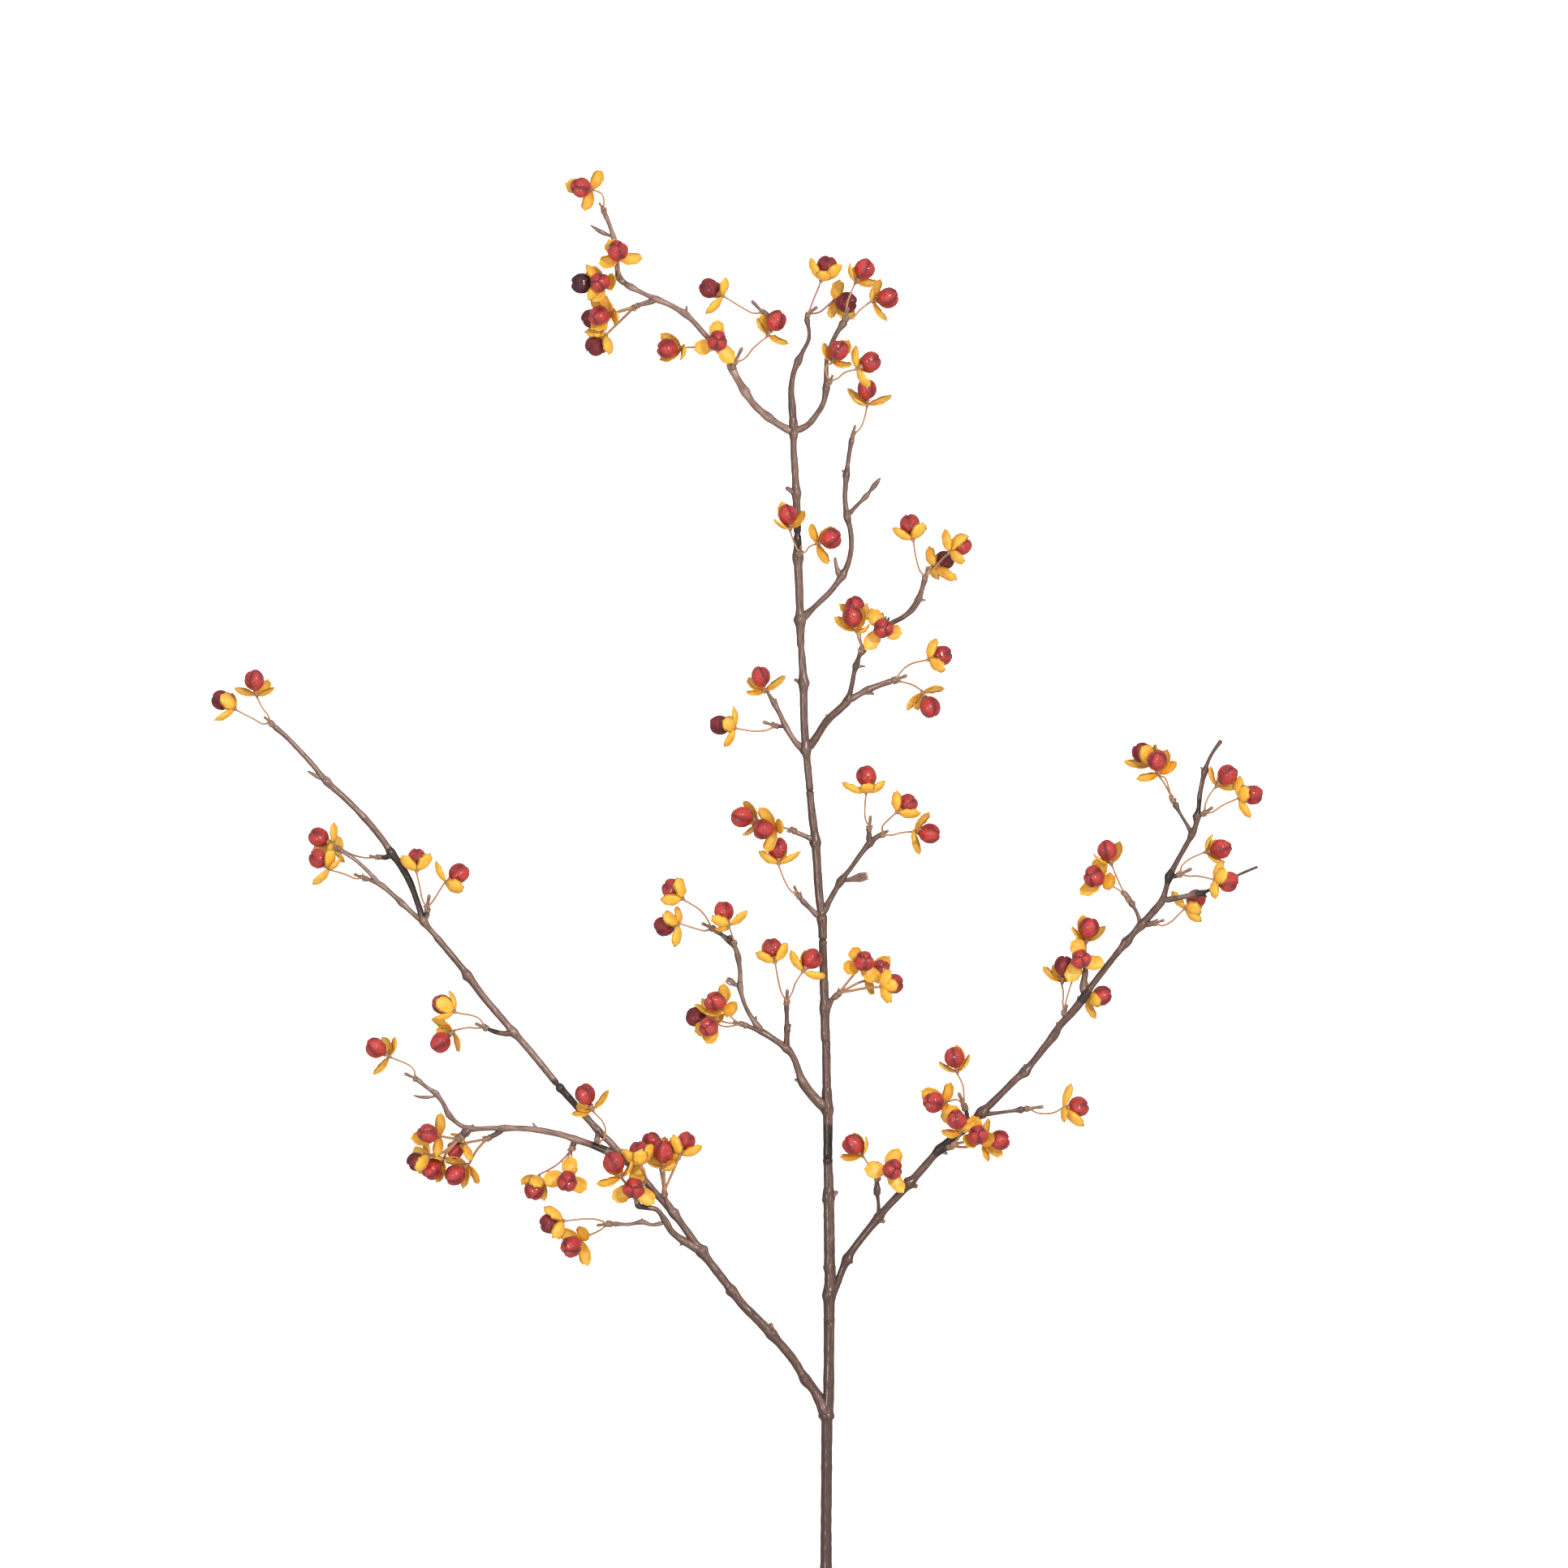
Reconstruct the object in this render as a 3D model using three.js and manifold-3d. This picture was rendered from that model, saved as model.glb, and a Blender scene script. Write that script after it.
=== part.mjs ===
// A cut branch of climbing bittersweet in fruit, lying on a flat surface.
// Units are millimetres. The stem runs along +Y with its cut end at the low Y end, +X is to the right
// of someone looking down on it with the tip away from them, and the surface it lies on is Z = 0.
// One node is all the wood; each of the other nodes is one bunch: its collar, bud, stalks, seed husks
// and berries, grown together as one body and held a hair's breadth clear of the twig it sits on.
import * as THREE from 'three';
import { mergeVertices } from 'three/addons/utils/BufferGeometryUtils.js';
import Module from 'manifold-3d';

const wasm = await Module();
wasm.setup();
const { Manifold, Mesh } = wasm;

// ---------------------------------------------------------------------------------- driving dimensions
const jointGap = 0.3;            // clear distance between a collar and the wood of its twig
const seatRatio = 1.17;          // from a berry's middle to its seat, over its radius
const huskLength = 12.5;         // seat to tip of one of the three husk valves
const huskHalfWidth = 4.7;
const huskThickness = 1.0;
const huskBowl = 2.4;            // how far a wide open valve bulges outwards
const huskClearance = 0.5;       // between a valve and the berry it wraps
const leastLean = 0.5;           // least height of a seat over or under its berry's middle, over its radius
const valveDrop = 2.2;           // how far under the seat the valves join
const berryTop = 0.95;           // far end of a berry from its middle, over its radius
const berryRings = [[0.5, 0.92], [-0.45, 0.95]];   // heights and widths, over its radius
const furrow = 0.88;
const stalkRadius = 0.8;
const receptacleRadius = 2.2;    // the swelling of the stalk under a seat
const receptacleLength = 4.5;
const budRadius = 1.1;
const bractThickness = 1.0;
const routeTolerance = 0.8;      // twigs are straightened by no more than this
const swellTolerance = 0.65;     // and their nodes evened out by no more than this
const stalkTolerance = 1.6;      // and stalks by no more than this

const stemSides = 7;
const boughSides = 5;
const twigSides = 4;
const stalkSides = 3;
const budSides = 4;
const spurSides = 3;

const woodLook = { color: 0x7b6256, roughness: 0.62, metalness: 0 };
const bunchLook = { color: 0xc9472c, roughness: 0.4, metalness: 0 };

// ------------------------------------------------------------------------------------------- the wood
// Every route is x, y, z and the radius there; a thick point between thinner ones is a node or collar.
const stemRoute = [
  [54, -481, 3, 3.5], [54, -440, 3, 3.5], [54, -381, 7, 3.35], [54.5, -302, 13, 3.1], [54.5, -288, 14, 4.1],
  [55.5, -276, 14.6, 3.2], [56, -232, 17, 3.1], [56, -230, 17.2, 2.7], [56, -228, 17.4, 3.1],
  [56, -213, 18.2, 3.9], [56.5, -201, 18.8, 3.2], [56, -196, 19.1, 3.6], [56, -190, 19.4, 3.1],
  [55.5, -153, 21.4, 3.6], [55.5, -143, 22, 2.8], [55, -130, 22.7, 2.7], [55, -128, 22.9, 2.4],
  [55, -126, 23, 2.7], [55, -99, 24.5, 3.5], [54.5, -88, 25, 2.9], [54, -58.5, 26.7, 2.5],
  [54, -57, 26.8, 2.1], [53.5, -55, 26.9, 2.6], [53, -36, 28, 3.2], [52.5, -15, 29.2, 2.5],
  [52, 4, 30.2, 2.4], [52, 6, 30.3, 1.9], [52, 8, 30.4, 2.4], [51.5, 19, 31, 3.2], [49.5, 36, 32, 2.4],
  [47.5, 66, 33.6, 3.1], [45.5, 82, 34.5, 2.4], [44, 96.5, 35.3, 2.1], [44, 98, 35.4, 1.6],
  [43.8, 100, 35.5, 2.1], [41.6, 123, 36.8, 3], [40.5, 140, 37.7, 2.2], [40, 164, 39, 3],
  [39, 180, 39.9, 2.2], [38.5, 186, 40.2, 1.8], [38.2, 189, 40.4, 2.3], [38, 203, 41.2, 3.5],
  [37.4, 222, 42.2, 2.3], [36.5, 241, 43.2, 3.2], [36.3, 252, 43.8, 2.2], [36.2, 256, 44, 1.8],
  [36.1, 260, 44.2, 2.2], [35.5, 281, 45.4, 2.7], [34.5, 300, 46.4, 2], [34, 307, 46.8, 1.8],
  [34, 319, 47.5, 2.8],
];

const boughRoutes = {
  crownLeft: [[34, 318, 47.2, 2], [25, 323, 46.3, 2], [18, 328, 45, 2.6], [10, 335, 43.6, 2], [4, 343.5, 42, 2.6],
    [-1, 352, 40.5, 2.1], [-4, 358, 39.6, 2.4], [-7, 364, 38.8, 1.6], [-13, 372, 37.4, 1.5], [-20, 378, 36, 1.5],
    [-27, 386, 34.4, 1.5], [-33, 391.5, 33, 2], [-42, 397, 31.4, 1.5], [-50, 400.5, 30, 2], [-58, 404, 28.8, 1.3],
    [-66, 408, 27.8, 1.9], [-70, 410.5, 27.2, 1.6], [-73.5, 414, 27, 1.9], [-75, 421, 28, 1.3],
    [-75.5, 431, 29, 1.2], [-77, 438.5, 30, 1.6], [-79.3, 446, 31.5, 1.2], [-82, 452.4, 32.8, 1.5]],
  crownLeftTwig: [[-50, 400.5, 29.6, 1.6], [-57, 398.4, 26.4, 1.6], [-61.2, 397.4, 24.6, 1.3]],
  crownMiddle: [[34, 319, 47.5, 2.3], [33, 335, 48.4, 2.2], [32.5, 345, 49, 1.8], [34, 355, 49.5, 1.6],
    [37, 362.5, 50, 2.3], [39.5, 368, 50.8, 1.3], [43, 375, 52, 1.2], [43.3, 381, 52.8, 1.1], [42, 387, 53.6, 1.6],
    [42.3, 389, 54, 1.3]],
  crownRight: [[34.5, 319, 47.5, 1.9], [42, 322.5, 47.8, 1.8], [47, 328, 48, 1.8], [52, 336, 48.5, 1.7],
    [54, 345.5, 49, 2.3], [54, 353, 49.6, 1.4], [54.5, 364, 50.4, 1.3], [57.5, 373, 51, 1.4], [61, 380, 51.6, 1.4],
    [64.5, 385, 52, 2.3], [65.5, 387, 52.2, 1.7]],
  upperRight: [[38, 203, 41.2, 2.2], [42, 206.5, 41.6, 1.9], [50, 214, 42.6, 1.5], [57, 221, 43.4, 1.5],
    [63.5, 230, 44, 2.4], [67.5, 238, 44.6, 1.5], [69.5, 248, 45, 1.4], [69, 258, 45.2, 1.4], [67, 266.5, 45, 2.2],
    [65.6, 278, 44.6, 1.4], [66.5, 292, 44, 2], [68, 304, 43.4, 1.2], [69.6, 313, 43, 1.6], [70, 315, 42.9, 1.3]],
  upperRightSpur: [[67, 267, 45, 1.5], [73, 273.5, 45.6, 1.1], [78.5, 279, 46.2, 1.7], [80.5, 281.5, 46.6, 1]],
  forkRight: [[42, 123, 36.8, 2.4], [47, 129.5, 37.2, 2.3], [54.5, 141, 38, 2.5], [62, 148, 38.6, 2.3],
    [67, 153.5, 39, 2.6], [69.5, 162, 40, 1.5], [71, 170, 40.8, 1.4], [72.3, 174.5, 41.3, 2],
    [74, 180, 42, 1.4], [75.3, 183, 42.3, 1.6]],
  forkRightLow: [[67, 153, 39, 1.9], [74, 157, 38, 1.7], [79.5, 160, 37.2, 2.1], [87, 163, 36.2, 1.7],
    [93, 165, 35.4, 1.8], [95, 165.5, 35.1, 1.3]],
  forkRightHidden: [[74.5, 181, 42, 1.5], [79, 187, 38.5, 1.4], [86, 196, 34.5, 1.4], [94, 201, 35, 1.3],
    [101, 204.5, 36.5, 1.4], [107, 209.5, 38.6, 1.7], [111, 216, 41, 1.9], [113, 222, 42.2, 1.3],
    [114.6, 227.5, 43.2, 1.6]],
  forkLeft: [[41, 122.5, 36.6, 2.1], [35, 128, 36, 1.7], [29, 137.5, 34.6, 1.9], [25.5, 145, 33.4, 1.4],
    [22, 151.5, 32.2, 1.9], [18.8, 157, 31.6, 1.1], [18, 159, 31.5, 1.1]],
  forkLeftTwig: [[29, 137.5, 34.6, 1.3], [26, 137.5, 34.2, 1], [24.3, 137.6, 34, 1]],
  middleLeft: [[47, 67, 34, 1.6], [42, 69.5, 35, 1.3], [37, 71.6, 36, 1.4], [35, 72.5, 36.4, 1.1]],
  middleLeftLow: [[50, 19.5, 31.2, 1.7], [45.5, 24, 32, 1.4], [40, 29.5, 33, 1.7], [37.8, 32, 33.4, 1.2]],
  middleRight: [[52, 22, 31.2, 1.9], [56.6, 31, 32, 1.5], [63, 42, 33, 2.3], [69, 50, 34, 1.3], [75, 58.5, 35, 1.4],
    [80.5, 65.5, 36, 2], [85, 69.3, 37.2, 1.4], [87.5, 70.5, 37.8, 1.4]],
  middleRightUp: [[80.3, 65, 36, 1.6], [80.4, 70, 37.4, 1.4], [80.3, 73, 38.2, 1.3]],
  lowerRight: [[54, -38, 28, 2], [56.5, -32, 28.8, 1.7], [59, -29.5, 29.8, 1.2]],
  lowerLeft: [[54.5, -98, 24.6, 2.7], [47, -91.5, 25, 2.5], [40, -82.5, 26, 2.7], [37, -75, 27, 1.9], [34, -67, 28, 1.8],
    [29.6, -61, 29, 2.3], [22, -55.5, 29, 1.6], [14.5, -50.7, 29, 1.9], [8.5, -48.3, 29.2, 1.2], [5.5, -47, 29.4, 1.2]],
  lowerLeftUp: [[29.7, -61.5, 29, 1.7], [29.8, -53, 30.6, 1.5], [30, -49.5, 31.2, 2.1], [29.8, -42, 32.4, 1.3],
    [29.7, -35.5, 33.4, 1.7], [29.7, -34, 33.6, 1.5]],
  lowerLeftFar: [[15, -51, 29, 1.6], [10.8, -46, 29.6, 1.6], [6, -38.5, 30.2, 1.2], [2.8, -31, 31, 1.1],
    [1, -23, 32, 1.7], [1, -14, 33, 1.2], [-0.3, -5, 34, 1.6], [-2, 1, 35, 1.3], [-6, 5.5, 35.6, 1.7],
    [-10.5, 9.3, 36, 1.2], [-13.5, 11.5, 36.4, 1.4], [-14.7, 12.3, 36.5, 1.2]],
  left: [[54.5, -288, 14, 3.3], [49.5, -277, 15, 2.9], [45.5, -270.5, 16, 2.5], [41, -265, 16.8, 3.1],
    [33, -252, 18.2, 2.3], [20.5, -237.5, 20, 3.1], [10, -226.5, 21.2, 2.4], [3, -219.5, 21.8, 2.4],
    [-4, -210.5, 22.6, 3], [-13, -199, 23.4, 2.2], [-23, -186, 24.2, 3.2], [-33, -172, 25.6, 1.9],
    [-40, -162.5, 26.6, 2.5], [-52, -149, 28, 1.9], [-62, -137.5, 28.6, 2], [-71.5, -127.5, 29, 2.4],
    [-79, -119, 29.4, 1.8], [-87, -111, 29.6, 2.1], [-97, -99.5, 30, 1.8], [-109.6, -85.2, 31, 2.2],
    [-111.6, -83, 31.1, 1.4], [-114, -80, 31.3, 1.8], [-128, -63, 32, 1.8], [-138.5, -51, 33, 2.5],
    [-144, -44.5, 33.4, 1.9], [-157, -29, 34.4, 1.9], [-166.5, -16, 35.4, 2.5], [-172, -9, 36, 1.7],
    [-185, 6.5, 37.2, 1.9], [-187, 9, 37.4, 1.5], [-194, 17.5, 38, 2.5], [-196.5, 25.5, 38.6, 1.6],
    [-202, 41, 39.8, 1.8], [-208, 52, 40.8, 1.8], [-213.5, 59.5, 41.6, 2.3], [-220, 69, 42.6, 1.7],
    [-230.5, 81.5, 44, 1.9], [-243, 94, 45.2, 1.6], [-253.5, 103.5, 46.4, 2.1], [-263, 115, 47.4, 1.4],
    [-277, 130, 48.8, 1.3], [-284.5, 136.5, 49.6, 1.6], [-286, 138, 49.8, 1.2]],
  leftArm: [[-70.5, -129, 29, 2.5], [-77, -126, 27.6, 2.6], [-85, -122.5, 26.6, 2.6], [-93, -119.5, 26, 2.3],
    [-101, -117, 26, 2.6], [-110, -114, 25.6, 2], [-124.5, -111.2, 25, 2], [-135, -110.3, 24.4, 1.9],
    [-144.5, -110.2, 24, 2.4], [-154, -110.3, 23.2, 1.6], [-165, -110.5, 22.2, 2.1], [-172, -108, 22.6, 1.5],
    [-178.5, -102, 23.6, 2.1], [-182, -95, 24.6, 1.5], [-186.5, -89, 25.8, 1.8], [-192, -85, 26.8, 1.3],
    [-197, -81, 27.8, 1.6], [-198.2, -80.2, 28, 1.2]],
  leftArmStub: [[-165, -110.5, 22.2, 2], [-168.5, -113, 21.8, 2.3], [-170, -114.5, 21.6, 2]],
  leftArmTwig: [[-144.5, -110.6, 24, 1.6], [-149.5, -113.8, 23, 1.4], [-153, -115.6, 22.4, 1.4]],
  leftArmDrop: [[-100.5, -117, 26, 1.9], [-101.8, -120, 25.6, 1.6], [-102.2, -121.2, 25.4, 1.4]],
  leftFork: [[-22.5, -186, 24.2, 2.6], [-34, -179.5, 26, 2.3], [-41, -174, 28, 1.9], [-45, -167.5, 30, 2.1],
    [-50, -160.5, 32, 1.5], [-56.5, -158.8, 33, 1.5], [-61.5, -158, 34, 1.7], [-62.4, -156.2, 34.4, 1.5]],
  leftForkTwig: [[-45, -168, 30, 1.5], [-53, -169.6, 28.6, 1.2], [-59.5, -168, 27, 1.8], [-68, -169.4, 25.2, 1.2],
    [-76, -169, 23.6, 1.7], [-78.3, -169.2, 23.2, 1.1]],
  leftKnee: [[-40, -162, 26.6, 1.9], [-43.5, -157, 28.2, 1.8], [-45.4, -152, 30.2, 1.2]],
  leftSpur: [[-87, -111, 29.8, 1.3], [-87, -113.5, 32.4, 1.2], [-87, -116, 34, 1.3]],
  leftTwig: [[-138.5, -51, 33, 1.9], [-144, -51.8, 33, 1.4], [-150, -50.6, 33, 1.5], [-154.6, -48.8, 33, 1.2]],
  leftUpperStub: [[-193, 18, 38.2, 1.7], [-191.8, 21.5, 38.9, 1.5], [-191.6, 23.6, 39.3, 1.3]],
  leftBlackTwig: [[-213, 58.5, 41.6, 1.6], [-217, 57, 41.8, 1.3], [-219.8, 57, 42, 1.2]],
  leftLowFork: [[-193, 17, 38, 1.9], [-199, 21, 37.6, 1.4], [-207, 28.5, 37, 2], [-213, 34, 36.6, 1.4],
    [-220, 39.8, 36, 1.7], [-225.5, 42.3, 35.5, 1.2], [-228.5, 43.4, 35.1, 1]],
  leftLowForkUp: [[-221, 40, 36, 1.5], [-228, 48, 37.2, 1.2], [-235, 54.5, 38.4, 1.1], [-241, 58.6, 39.2, 1.1],
    [-245.5, 61.5, 39.8, 1.3]],
  right: [[56.5, -215, 18.2, 2.6], [60.5, -207, 18.6, 2], [63.5, -199, 19.2, 2], [67, -191, 20, 2.9],
    [71, -184.5, 20.8, 2.1], [79, -174, 22.4, 2.1], [86, -165.5, 23.8, 2.9], [90.5, -160, 24.6, 2.1],
    [99, -151, 26, 2.1], [105.5, -144, 27, 3.1], [110, -139, 27.8, 2.1], [119, -128.5, 29.4, 2.1],
    [124, -123, 30.2, 2.8], [130, -117.5, 31, 2], [139.5, -110.5, 32.2, 2.1], [149.5, -100.5, 33.4, 3],
    [155, -95.5, 34.2, 2], [164, -86.5, 35.2, 1.9], [170.5, -80, 36, 2], [176, -75.3, 36.6, 2.8],
    [181, -69.5, 37, 1.9], [188, -60.5, 37.8, 2], [194, -53, 38.4, 2.6], [198, -46.5, 39, 2], [204.5, -39.5, 39.6, 2.3],
    [209.5, -33.5, 40, 2.3], [213.5, -28, 40.4, 2.4], [218, -21.5, 41, 1.8], [228, -8.5, 42.2, 1.7],
    [233.5, -1.5, 42.8, 1.8], [238.5, 4.5, 43.4, 2.7], [242.5, 9.5, 43.8, 1.9], [248, 15.5, 44.4, 2.8],
    [252, 20, 45, 2], [256, 24.5, 45.4, 2.2], [260.5, 30, 46, 2.1], [262.5, 36, 47, 1.5], [265, 45, 49, 2.3],
    [269, 53, 50, 1.5], [274, 62, 51, 1.4], [279, 71, 52.2, 2.1], [281.3, 77, 53, 1.5], [282, 82, 54, 2.4],
    [283, 88, 54.8, 1.2], [283.5, 95, 55.6, 1.4], [285, 103, 56.6, 1.3], [286.5, 109.5, 57.4, 1.9],
    [288.5, 115.5, 58.2, 1], [291.5, 121.5, 59, 1], [296.5, 128.5, 60, 1.2]],
  rightTip: [[261, 30.5, 46, 1.9], [268, 31.5, 47, 1.8], [279, 33.8, 48.2, 1.9], [285, 35, 49, 2.3],
    [289.5, 36.8, 49.8, 1.1], [299, 41, 51, 1], [308, 46.3, 52.4, 1], [319, 51, 54, 1.1]],
  rightTwigUp: [[86, -164, 24, 1.2], [86.3, -158, 25, 0.9], [85.7, -152.5, 26, 1.1], [85.4, -150.5, 26.2, 2],
    [85.4, -147.5, 26.6, 2.1], [85.3, -144.5, 27, 1.5], [85.3, -142.8, 27.2, 1.3]],
  rightStub: [[124, -123, 30.2, 1.8], [126.5, -122.4, 30.6, 1.7], [128.6, -121.8, 31, 1.6]],
  rightBackTwig: [[139.8, -110, 31.8, 1.6], [141, -105.5, 29.6, 1.4], [140.7, -101.5, 30.6, 1.3],
    [139.9, -98.6, 33, 1.3]],
  rightLowTwig: [[150, -101, 33.2, 1.9], [156, -101, 31.8, 1.2], [168, -99.5, 28.4, 1], [174, -98.6, 26.8, 2],
    [176.6, -98.3, 26.1, 1.2]],
  rightThumb: [[202, -42, 39.2, 1.7], [200.8, -40, 39.8, 1.7]],
  rightRiser: [[213.2, -28.5, 40.2, 2], [212.3, -21.5, 38.6, 2.1], [213.4, -15, 36.4, 1.8], [213.6, -9.5, 35.4, 1.4]],
  rightUnder: [[211.5, -30, 39.4, 1.5], [211.8, -31, 36.6, 1.4]],
  rightUpperStub: [[248.5, 15.5, 44.2, 1.7], [252.5, 15.8, 43, 1.6], [254.8, 16.3, 42.2, 1.4]],
  rightUpperTwig: [[247.5, 15, 44.4, 1.5], [246, 20.5, 44.6, 1], [244, 25, 45, 1], [241.8, 28.3, 45.4, 1.9],
    [240.5, 30.2, 45.6, 1.2]],
  rightThorn: [[265, 45, 49, 1.4], [268, 45.1, 49.4, 1.1], [269.8, 45.8, 49.7, 1.1]],
  rightFarTwig: [[279, 71.5, 52.3, 1.5], [275.5, 77.5, 53, 1], [271.5, 84, 54, 1], [268.8, 89, 54.6, 1.8],
    [267.6, 91, 55, 1.1]],
  rightFarStub: [[282.5, 82, 54, 1.5], [284.9, 83.2, 54.9, 1.2]],
};

const heavyBoughs = ['left', 'right', 'leftArm'];

// Spurs, leaf scars and resting buds on the wood: where each leaves the wood, its tip and its thickness.
const spurs = [
  [[56, -153, 21.5], [61, -149, 22.5], 1.7], [[54, -154, 21.4], [51.3, -155, 21.4], 1.8],
  [[39.5, 163, 39], [34.3, 166.5, 39.5], 1.4], [[35.5, 281, 45.4], [29, 284.5, 45.6], 1.8],
  [[18, 327, 45], [13.6, 329, 45.6], 1.4], [[-33, 391, 33], [-32, 396.5, 34], 1],
  [[62, 230, 44], [59.4, 241.5, 44.4], 1.4], [[66.5, 292, 44], [63.6, 295.5, 44.2], 0.9],
  [[54.5, 141, 38.4], [54, 145, 39], 0.9], [[72, 174, 41.3], [78, 174.4, 41.6], 1],
  [[76, 158.6, 38], [83.6, 157.6, 37.2], 1.1], [[111, 215.5, 41], [115.3, 215, 41.4], 0.9],
  [[110, 214, 40.8], [108.2, 216, 41.6], 0.8], [[22, 151.5, 32.4], [22.9, 154.6, 33], 1.2],
  [[39.5, -82, 26], [34.4, -79.8, 26], 1.2], [[30, -50, 31.2], [32.4, -46, 31.8], 1],
  [[10.5, -46.5, 29.6], [10.7, -40.8, 30.6], 1], [[-4.5, 5.5, 35.8], [-5.6, 9, 36.4], 1.3],
  [[41, -265, 16.8], [37.3, -263.6, 17], 1.5], [[20.5, -237, 20], [19.6, -230.3, 20.4], 1.7],
  [[-4, -211, 22.6], [-8.2, -211.2, 22.8], 1.5], [[-33, -180, 25.8], [-36.4, -182.3, 25.8], 1],
  [[-124.5, -111, 25], [-127, -106.8, 25.6], 0.9], [[-59.5, -168, 27], [-59.4, -165.6, 27.2], 0.9],
  [[-165, -110.5, 22.2], [-163.6, -107.8, 22.6], 1.1], [[67, -191, 20], [70.2, -193.6, 20], 1.6],
  [[86, -166, 23.8], [90.3, -168, 23.8], 1.8], [[105, -145, 27], [110.3, -146.3, 27], 2],
  [[124, -124, 30.2], [128.6, -126, 30.4], 1.4], [[176, -75, 36.8], [176.4, -70.4, 37.6], 1.2],
  [[198, -46, 39], [195.4, -45, 39.2], 1.3], [[209.5, -33, 40], [209.6, -28.6, 40.4], 1.3],
  [[285, 35, 49], [288.2, 32.4, 49], 1], [[286.5, 109.5, 57.4], [284.2, 112.6, 58], 0.9],
  [[89, 198, 34.7], [88.5, 207.5, 36.5], 1.1], [[90, 198.6, 34.7], [92.8, 204.8, 36], 0.9],
];

// Narrow resting buds with a swollen middle: root, tip and half thickness.
const restingBuds = [
  [[-76.5, 439, 30.2], [-91.5, 446.5, 32], 1.5], [[80, 281, 46.5], [87.5, 290.5, 48], 1.8],
  [[-254, 103.6, 46.4], [-265.6, 110.2, 47.4], 1.4], [[-186, -90.4, 25.8], [-201, -89.8, 26.6], 1.2],
];

// Dry bracts that end in teeth: root, tip, half width and number of teeth.
const bracts = [
  [[63.5, 42, 33], [81.8, 46, 34.5], 3, 4], [[1, -23.5, 32], [-8.6, -17.4, 33], 2.4, 4],
];

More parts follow.
